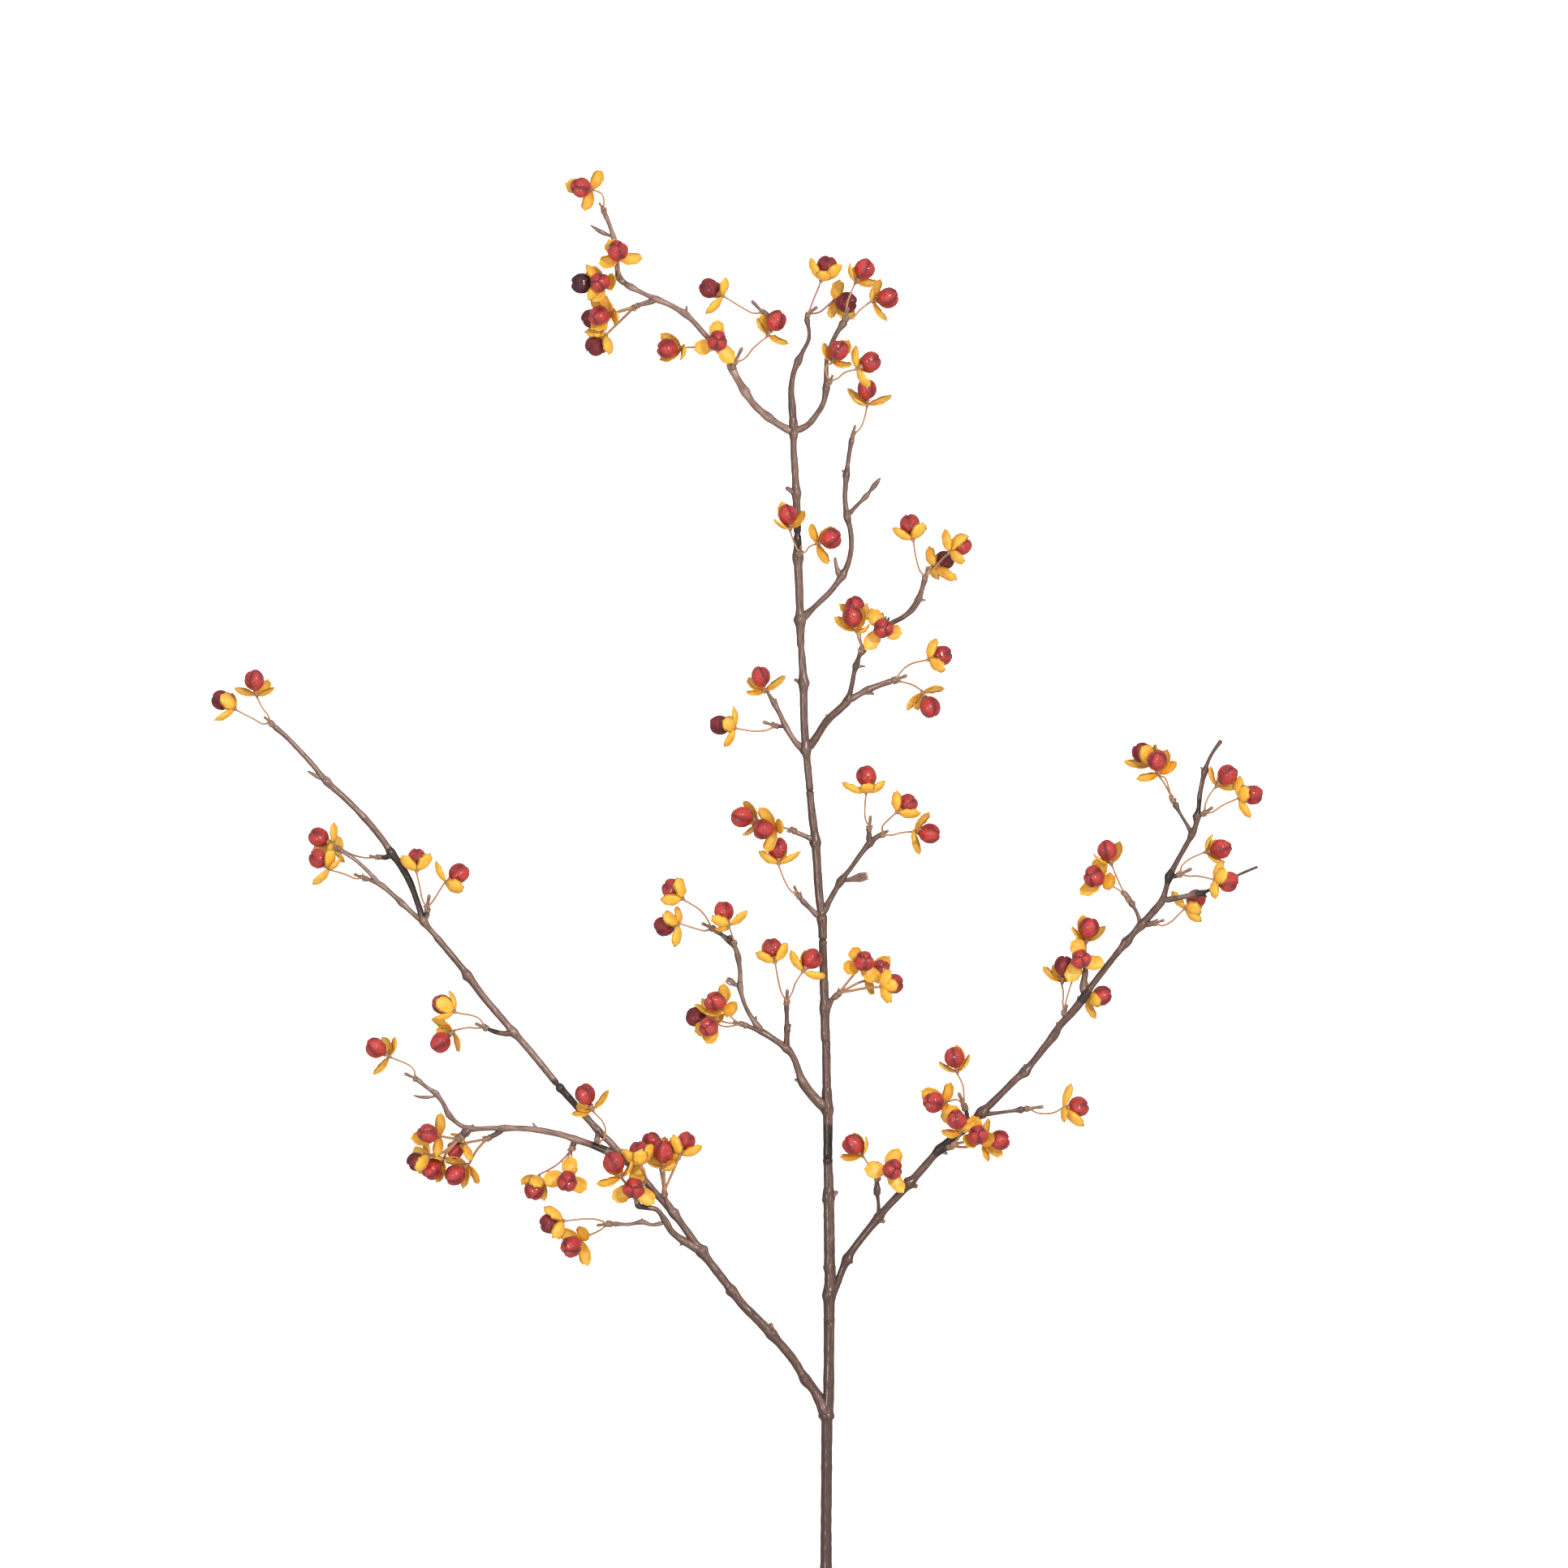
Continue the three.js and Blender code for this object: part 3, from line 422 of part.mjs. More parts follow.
      stalk: [[213.8, -1.4]] }] },
  right_under: { collar: [[211.8, -31, 36.6], [211.8, -31.6, 34], 1.6], bud: null, heads: [
    { berry: [224, -28.2, 33, 6.4], seat: [217, -30, 1], husk: [[223.6, -30.4, 1], [220.6, -42.6, 1], [215.8, -19.6, -1]],
      stalk: [] }] },
  right_upper: { collar: [[254.8, 16.3, 42.2], [257.6, 17, 41.6], 1.8], bud: [262.2, 18.4, 41.2], heads: [
    { berry: [282, 31, 31, 6.2], seat: [277, 27, -1], husk: [[285.6, 26.4, 1], [285.4, 17.6, 1], [267, 36.6, -1]],
      stalk: [[260.4, 14.8], [266, 17]] }] },
  right_upper_twig: { collar: [[240.5, 30.2, 45.6], [236.4, 36, 46.4], 2], bud: null, heads: [
    { berry: [226.6, 61.6, 54, 6.3], seat: [228.6, 55.4, 1], husk: [[234.4, 67.2, 1], [218.4, 59.6, 1], [226, 66, -1]],
      stalk: [[234.6, 40.4], [232.4, 45.6]] },
    { berry: [218.4, 45, 58, 6.9], seat: [222, 44, 1], husk: [[220.6, 57, 1], [231, 40.6, 1], [209.8, 34, 1]],
      stalk: [[232.4, 37.8]] }] },
  right_thorn: { collar: [[269.8, 45.8, 49.7], [272.6, 47, 50.2], 2], bud: [279, 50, 51], heads: [
    { berry: [297, 62, 58, 6.3], seat: [290, 60.6, 1], husk: [[292.8, 70.8, 1], [299.8, 54.2, 1], [298, 65, -1]],
      stalk: [[272.6, 51.6], [277.6, 56]] },
    { berry: [301, 42, 64, 6.5], seat: [294.6, 43, -1], husk: [[301, 47.6, 1], [298, 55, -1], [293.6, 30.8, 1]],
      stalk: [[276.6, 45.4], [282.6, 45.4]] }] },
  right_far_twig: { collar: [[267.6, 91, 55], [265.6, 95.4, 55.6], 1.8], bud: null, heads: [
    { berry: [248, 121.4, 53, 6.4], seat: [252.6, 115.4, 1], husk: [[236.8, 116.4, 1], [255.8, 127.2, 1], [247.6, 124.4, 1]],
      stalk: [[261.6, 102.8], [258.4, 107]] },
    { berry: [257, 116.6, 68, 6.4], seat: [258, 110.4, 1], husk: [[243.8, 105.6, 1], [269.2, 115.8, 1], [263.4, 123.8, -1]],
      stalk: [[264, 101.4], [262, 106]] }] },
  right_far: { collar: [[284.9, 83.2, 54.9], [287.2, 84.6, 55.6], 1.8], bud: [291.8, 87.8, 56.6], heads: [
    { berry: [301, 108, 61, 6.2], seat: [295.8, 102.6, 1], husk: [[290.4, 113.4, 1], [309.2, 101.4, 1], [303, 105, -1]],
      stalk: [[287, 89.4], [289.6, 95.4]] },
    { berry: [316.4, 95.4, 58, 6.5], seat: [310, 93.8, -1], husk: [[314.4, 98.6, 1], [308.6, 107.2, -1], [315, 81.4, 1]],
      stalk: [[291.6, 84.8], [297, 88.6]] }] },
};

// --------------------------------------------------------------------------------------------- shapes
const vector = (p) => new THREE.Vector3(p[0], p[1], p[2]);

function sideways(direction) {
  const helper = Math.abs(direction.z) < 0.9 ? new THREE.Vector3(0, 0, 1) : new THREE.Vector3(1, 0, 0);
  return helper.cross(direction).normalize();
}

// A ring of points square to a direction; every third one may be drawn in to make a furrow.
function hoop(centre, along, side, radius, count, furrow = 1) {
  const up = along.clone().cross(side);
  return Array.from({ length: count }, (_, k) => {
    const angle = (2 * Math.PI * k) / count;
    const reach = k % 3 === 0 ? radius * furrow : radius;
    return centre.clone()
      .addScaledVector(side, reach * Math.cos(angle))
      .addScaledVector(up, reach * Math.sin(angle));
  });
}

// A closed skin over rings that follow each other and may differ in count; a ring of one is a point.
function skin(rings) {
  const faces = [];
  let a = 0;
  for (let i = 0; i + 1 < rings.length; i++) {
    const countA = rings[i].length;
    const countB = rings[i + 1].length;
    const b = a + countA;
    const most = Math.max(countA, countB);
    const partner = (first, count, k) => first + (Math.round((k * count) / most) % count);
    for (let k = 0; k < most; k++) {
      const [a0, a1] = [partner(a, countA, k), partner(a, countA, k + 1)];
      const [b0, b1] = [partner(b, countB, k), partner(b, countB, k + 1)];
      if (a0 !== a1) faces.push([a0, a1, b1]);
      if (b0 !== b1) faces.push([a0, b1, b0]);
    }
    a = b;
  }
  for (let k = 1; k + 1 < rings[0].length; k++) faces.push([0, k + 1, k]);
  for (let k = 1; k + 1 < rings[rings.length - 1].length; k++) faces.push([a, a + k, a + k + 1]);
  return solidFrom(rings.flat(), faces);
}

function closedSolid(positions, corners) {
  const mesh = new Mesh({
    numProp: 3, vertProperties: new Float32Array(positions), triVerts: new Uint32Array(corners),
  });
  mesh.merge();
  return new Manifold(mesh);
}

const solidFrom = (points, faces) => closedSolid(points.flatMap((p) => [p.x, p.y, p.z]), faces.flat());

// The rings of a tube through points, with a radius at each.
function tubeRings(points, radii, sides, firstSide = null) {
  let side = firstSide;
  return points.map((point, i) => {
    const before = points[Math.max(i - 1, 0)];
    const after = points[Math.min(i + 1, points.length - 1)];
    const along = after.clone().sub(before).normalize();
    side = side ? side.clone().addScaledVector(along, -side.dot(along)).normalize() : sideways(along);
    return radii[i] > 0 ? hoop(point, along, side, radii[i], sides) : [point];
  });
}

// Leaves out the points of a route that lie within the tolerance of the straight line past them.
function straighten(route, tolerance) {
  const [first, last] = [route[0], route[route.length - 1]];
  const span = vector(last).sub(vector(first));
  let worst = 0;
  let at = 0;
  for (let i = 1; i + 1 < route.length; i++) {
    const offset = vector(route[i]).sub(vector(first));
    const share = Math.min(Math.max(offset.dot(span) / span.lengthSq(), 0), 1);
    const bow = offset.addScaledVector(span, -share).length();
    const swell = Math.abs(route[i][3] - first[3] - (last[3] - first[3]) * share);
    const miss = Math.max(bow / tolerance, swell / swellTolerance);
    if (miss > worst) [worst, at] = [miss, i];
  }
  if (worst <= 1) return [first, last];
  return [...straighten(route.slice(0, at + 1), tolerance), ...straighten(route.slice(at), tolerance).slice(1)];
}

function routeTube(route, sides, grown = 0) {
  const kept = straighten(route, routeTolerance);
  const points = kept.map(vector);
  const first = points[0].clone().sub(points[1]).normalize();
  const last = points[points.length - 1].clone().sub(points[points.length - 2]).normalize();
  points[0].addScaledVector(first, grown);
  points[points.length - 1].addScaledVector(last, grown);
  return skin(tubeRings(points, kept.map((p) => p[3] + grown), sides));
}

// A pointed bud or spur, thickest part of the way along.
function spindle(root, tip, radius, fullAt, sides) {
  const start = vector(root);
  const end = vector(tip);
  const middle = start.clone().lerp(end, fullAt);
  return skin(tubeRings([start, middle, end], [radius * 0.75, radius, 0], sides));
}

function thorn(root, tip, radius) {
  return skin(tubeRings([vector(root), vector(tip)], [radius, 0], spurSides));
}

function bract(root, tip, halfWidth, teeth) {
  const start = vector(root);
  const along = vector(tip).sub(start);
  const length = along.length();
  const outline = [[0, -0.9], [length * 0.62, -halfWidth]];
  for (let i = 0; i <= teeth; i++) {
    const across = halfWidth * (-0.85 + (1.7 * i) / teeth);
    outline.push([length * (i === teeth / 2 ? 1 : 0.93), across]);
    if (i < teeth) outline.push([length * 0.82, across + (0.85 * halfWidth) / teeth]);
  }
  outline.push([length * 0.62, halfWidth], [0, 0.9]);
  const x = along.normalize();
  const z = new THREE.Vector3(0, 0, 1).addScaledVector(x, -x.z).normalize();
  const y = z.clone().cross(x);
  const place = new THREE.Matrix4().makeBasis(x, y, z)
    .setPosition(start.addScaledVector(z, -bractThickness / 2));
  const shape = new THREE.Shape(outline.map(([u, v]) => new THREE.Vector2(u, v)));
  const blade = new THREE.ExtrudeGeometry(shape, { depth: bractThickness, bevelEnabled: false });
  blade.deleteAttribute('normal');
  blade.deleteAttribute('uv');
  const closed = mergeVertices(blade.applyMatrix4(place));
  return closedSolid(closed.attributes.position.array, closed.index.array);
}

function seatOf(head) {
  const [x, y, z, radius] = head.berry;
  const [seatX, seatY, lean] = head.seat;
  const flat = Math.hypot(x - seatX, y - seatY);
  const drop = Math.sqrt(Math.max((leastLean * radius) ** 2, (seatRatio * radius) ** 2 - flat ** 2));
  return new THREE.Vector3(seatX, seatY, z - lean * drop);
}

function tipOf(seat, [x, y, side]) {
  const flat = Math.hypot(x - seat.x, y - seat.y);
  const rise = Math.sqrt(Math.max(0, huskLength ** 2 - flat ** 2));
  return new THREE.Vector3(x, y, seat.z + side * rise);
}

// The direction square to the axis that falls best between the three valves.
function betweenValves(axis, seat, tips) {
  const side = sideways(axis);
  const up = axis.clone().cross(side).negate();
  const sum = new THREE.Vector2();
  for (const tip of tips) {
    const reach = tip.clone().sub(seat);
    const turn = 3 * Math.atan2(reach.dot(up), reach.dot(side));
    sum.add(new THREE.Vector2(Math.cos(turn), Math.sin(turn)));
  }
  const turn = (sum.angle() - Math.PI) / 3;
  return side.multiplyScalar(Math.cos(turn)).addScaledVector(up, Math.sin(turn));
}

// The way a stalk takes from its seat back to the collar. A listed point with no height of its own gets
// one in proportion to its distance along the way.
function stalkRoute(neck, head, start) {
  const points = [neck, ...head.stalk.map(([x, y, z]) => new THREE.Vector3(x, y, z ?? NaN)).reverse(), start];
  const run = [0];
  for (let i = 1; i < points.length; i++) {
    run.push(run[i - 1] + Math.hypot(points[i].x - points[i - 1].x, points[i].y - points[i - 1].y));
  }
  points.forEach((point, i) => {
    if (!Number.isNaN(point.z)) return;
    let next = i;
    while (Number.isNaN(points[next].z)) next++;
    const share = (run[i] - run[i - 1]) / (run[next] - run[i - 1]);
    point.z = points[i - 1].z + (points[next].z - points[i - 1].z) * share;
  });
  return straighten(points.map((p) => [p.x, p.y, p.z, stalkRadius]), stalkTolerance);
}

// A berry of three lobes, drawn out to a receptacle, and the stalk below it, as one skin.
function fruit(start, head, seat, tips) {
  const centre = vector(head.berry);
  const radius = head.berry[3];
  const axis = centre.clone().sub(seat).normalize();
  const down = axis.clone().negate();
  const side = betweenValves(axis, seat, tips);
  const rings = [[centre.clone().addScaledVector(axis, berryTop * radius)]];
  for (const [height, width] of berryRings) {
    rings.push(hoop(centre.clone().addScaledVector(axis, height * radius), down, side, width * radius, 9, furrow));
  }
  rings.push(hoop(seat.clone().addScaledVector(down, 0.4), down, side, receptacleRadius, stalkSides));
  const neck = seat.clone().addScaledVector(down, receptacleLength);
  const route = stalkRoute(neck, head, start);
  const stalkRings = tubeRings(route.map(vector), route.map((p) => p[3]), stalkSides, side);
  return skin([...rings, ...stalkRings]);
}

// One husk valve: a pointed bowl from under the seat to its tip, wrapped clear of the berry.
function huskValve(centre, seat, radius, tip) {
  const axis = centre.clone().sub(seat).normalize();
  const root = seat.clone().addScaledVector(axis, -valveDrop);
  const chord = tip.clone().sub(root);
  const length = chord.length();
  chord.normalize();
  const inward = axis.clone().addScaledVector(chord, -axis.dot(chord)).normalize();
  const across = inward.clone().cross(chord);
  const at = (along, wide, deep, skinDepth) => {
    const point = root.clone().addScaledVector(chord, length * along)
      .addScaledVector(across, huskHalfWidth * wide).addScaledVector(inward, -deep);
    const outward = point.clone().sub(centre);
    const least = radius * 1.02 + huskClearance + skinDepth;
    return outward.length() < least ? centre.clone().addScaledVector(outward.normalize(), least) : point;
  };
  const rim = huskThickness / 2;
  const points = [
    root, at(0.36, -0.62, 0.9, rim), at(0.7, -0.95, 0.5, rim), at(1, 0, 0, 0),
    at(0.7, 0.95, 0.5, rim), at(0.36, 0.62, 0.9, rim),
    at(0.5, 0, huskBowl, 0), at(0.5, 0, huskBowl + huskThickness * 1.3, huskThickness * 1.3),
  ];
  const faces = [];
  for (let k = 0; k < 6; k++) {
    const next = (k + 1) % 6;
    faces.push([6, k, next], [7, next, k]);
  }
  return solidFrom(points, faces);
}

function headParts(start, head) {
  const centre = vector(head.berry);
  const seat = seatOf(head);
  const tips = head.husk.map((tip) => tipOf(seat, tip));
  const valves = tips.map((tip) => huskValve(centre, seat, head.berry[3], tip));
  return [fruit(start, head, seat, tips), ...valves];
}

// The collar on the twig, with the bud that stands on it if there is one.
function collarAndBud([root, top, radius], bud) {
  const end = vector(top);
  const start = vector(root);
  start.addScaledVector(end.clone().sub(start).normalize(), 2 * jointGap);
  const points = [start, start.clone().lerp(end, 0.6), end];
  const radii = [radius * 0.75, radius, radius * 0.6];
  if (bud) {
    const tip = vector(bud);
    points.push(end.clone().lerp(tip, 0.5), tip);
    radii.push(budRadius, 0);
  }
  return skin(tubeRings(points, radii, budSides));
}

function bunch({ collar, bud, heads }) {
  const stalkRoot = vector(collar[0]).lerp(vector(collar[1]), 0.75);
  const parts = heads.flatMap((head) => headParts(stalkRoot, head));
  return Manifold.union([collarAndBud(collar, bud), ...parts]);
}

// All the wood as one body; grown makes it thicker all round, to keep other bodies clear of it.
function wood(grown = 0) {
  const parts = [routeTube(stemRoute, stemSides, grown)];
  for (const [name, route] of Object.entries(boughRoutes)) {
    parts.push(routeTube(route, heavyBoughs.includes(name) ? boughSides : twigSides, grown));
  }
  for (const [root, tip, radius] of spurs) parts.push(thorn(root, tip, radius + grown));
  for (const [root, tip, radius] of restingBuds) {
    parts.push(spindle(root, tip, radius + grown, 0.5, budSides));
  }
  if (grown === 0) bracts.forEach((shape) => parts.push(bract(...shape)));
  return Manifold.union(parts);
}

const restOnSurface = (solid) => solid.trimByPlane([0, 0, 1], 0);

function asNode(name, solid, look) {
  const { vertProperties, triVerts } = solid.getMesh();
  const geometry = new THREE.BufferGeometry();
  geometry.setAttribute('position', new THREE.Float32BufferAttribute(vertProperties, 3));
  geometry.setIndex(Array.from(triVerts));
  geometry.computeVertexNormals();
  const node = new THREE.Mesh(geometry, new THREE.MeshStandardMaterial(look));
  node.name = name;
  return node;
}

const branch = new THREE.Group();
branch.name = 'bittersweet_branch';
branch.add(asNode('woody_stem', restOnSurface(wood()), woodLook));
const keepClear = wood(jointGap);
for (const [place, shape] of Object.entries(bunches)) {
  branch.add(asNode(`bunch_${place}`, restOnSurface(bunch(shape).subtract(keepClear)), bunchLook));
}

export default branch;
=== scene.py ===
import bpy
import numpy as np
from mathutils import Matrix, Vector


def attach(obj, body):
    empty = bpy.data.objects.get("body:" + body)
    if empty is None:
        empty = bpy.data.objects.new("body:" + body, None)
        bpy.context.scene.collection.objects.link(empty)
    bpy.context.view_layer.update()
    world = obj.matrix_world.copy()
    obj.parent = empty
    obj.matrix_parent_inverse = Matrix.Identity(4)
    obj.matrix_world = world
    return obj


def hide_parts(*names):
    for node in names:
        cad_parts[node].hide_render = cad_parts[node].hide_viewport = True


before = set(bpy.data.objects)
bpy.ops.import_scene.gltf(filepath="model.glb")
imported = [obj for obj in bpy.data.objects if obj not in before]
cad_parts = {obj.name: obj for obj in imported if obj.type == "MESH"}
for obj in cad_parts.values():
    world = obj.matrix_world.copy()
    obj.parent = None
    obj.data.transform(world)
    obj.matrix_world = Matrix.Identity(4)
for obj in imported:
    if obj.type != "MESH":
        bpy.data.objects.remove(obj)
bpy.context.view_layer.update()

print("frame loaded")

# A cut branch of climbing bittersweet in fruit. The tables are millimetres in the frame's own axes:
# the stem runs along +Y with its cut end at the low end, and the surface that it lies on is z = 0.
millimetre = 0.001
draw = np.random.default_rng(14)

# camera and light; the lamps are in metres, and the sky brightens from low to high overhead
cameraValues = dict(centre=(28, 102), halfWidth=483, height=12000, branchHeight=30, sensor=36, farthest=60)
lampValues = dict(keyLight=dict(place=(1.5, 1.3, 4.4), size=0.34, power=115),
                  fillLight=dict(place=(-1.9, -0.6, 4.4), size=0.34, power=45))
lampAim = (0.0, 0.05, 0.03)
skyValues = dict(low=-0.2, high=0.9, below=0.5, above=1.08)


def makeCamera(values):
    # straight down; lens = sensor times distance over the width that it takes in
    data = bpy.data.cameras.new("branchCamera")
    distance = values["height"] - values["branchHeight"]
    data.sensor_width = values["sensor"]
    data.lens = values["sensor"] * distance / (2 * values["halfWidth"])
    data.clip_end = values["farthest"]
    camera = bpy.data.objects.new("branchCamera", data)
    x, y = values["centre"]
    camera.location = (x * millimetre, y * millimetre, values["height"] * millimetre)
    bpy.context.scene.collection.objects.link(camera)
    bpy.context.scene.camera = camera


def makeLamp(name, place, size, power):
    # a disk that faces the middle of the branch
    data = bpy.data.lights.new(name, "AREA")
    data.shape, data.size, data.energy = "DISK", size, power
    lamp = bpy.data.objects.new(name, data)
    lamp.location = place
    lamp.rotation_euler = (Vector(lampAim) - Vector(place)).to_track_quat("-Z", "Y").to_euler()
    bpy.context.scene.collection.objects.link(lamp)


def makeSky(values):
    # a white sky that is brightest overhead and dim from below
    world = bpy.data.worlds.new("studioSky")
    world.use_nodes = True
    nodes, links = world.node_tree.nodes, world.node_tree.links
    split, scale = nodes.new("ShaderNodeSeparateXYZ"), nodes.new("ShaderNodeMapRange")
    links.new(nodes.new("ShaderNodeTexCoord").outputs["Generated"], split.inputs[0])
    links.new(split.outputs["Z"], scale.inputs["Value"])
    for key, name in (("From Min", "low"), ("From Max", "high"), ("To Min", "below"), ("To Max", "above")):
        scale.inputs[key].default_value = values[name]
    nodes["Background"].inputs["Color"].default_value = (1, 1, 1, 1)
    links.new(scale.outputs[0], nodes["Background"].inputs["Strength"])
    bpy.context.scene.world = world


makeCamera(cameraValues)
for lampName, lamp in lampValues.items():
    makeLamp(lampName, **lamp)
makeSky(skyValues)
bpy.context.scene.view_settings.view_transform = "Standard"
bpy.context.scene.view_settings.look = "None"
print("camera and light placed")

# where everything grows
# Every route is x, y, z and the radius there; a thick point between thinner ones is a node or collar.
stemRoute = [(54, -481, 3, 3.5), (54, -440, 3, 3.5), (54, -381, 7, 3.35), (54.5, -302, 13, 3.1),
    (54.5, -288, 14, 4.1), (55.5, -276, 14.6, 3.2), (56, -232, 17, 3.1), (56, -230, 17.2, 2.7),
    (56, -228, 17.4, 3.1), (56, -213, 18.2, 3.9), (56.5, -201, 18.8, 3.2), (56, -196, 19.1, 3.6),
    (56, -190, 19.4, 3.1), (55.5, -153, 21.4, 3.6), (55.5, -143, 22, 2.8), (55, -130, 22.7, 2.7),
    (55, -128, 22.9, 2.4), (55, -126, 23, 2.7), (55, -99, 24.5, 3.5), (54.5, -88, 25, 2.9),
    (54, -58.5, 26.7, 2.5), (54, -57, 26.8, 2.1), (53.5, -55, 26.9, 2.6), (53, -36, 28, 3.2),
    (52.5, -15, 29.2, 2.5), (52, 4, 30.2, 2.4), (52, 6, 30.3, 1.9), (52, 8, 30.4, 2.4), (51.5, 19, 31, 3.2),
    (49.5, 36, 32, 2.4), (47.5, 66, 33.6, 3.1), (45.5, 82, 34.5, 2.4), (44, 96.5, 35.3, 2.1),
    (44, 98, 35.4, 1.6), (43.8, 100, 35.5, 2.1), (41.6, 123, 36.8, 3), (40.5, 140, 37.7, 2.2),
    (40, 164, 39, 3), (39, 180, 39.9, 2.2), (38.5, 186, 40.2, 1.8), (38.2, 189, 40.4, 2.3),
    (38, 203, 41.2, 3.5), (37.4, 222, 42.2, 2.3), (36.5, 241, 43.2, 3.2), (36.3, 252, 43.8, 2.2),
    (36.2, 256, 44, 1.8), (36.1, 260, 44.2, 2.2), (35.5, 281, 45.4, 2.7), (34.5, 300, 46.4, 2),
    (34, 307, 46.8, 1.8), (34, 319, 47.5, 2.8)]

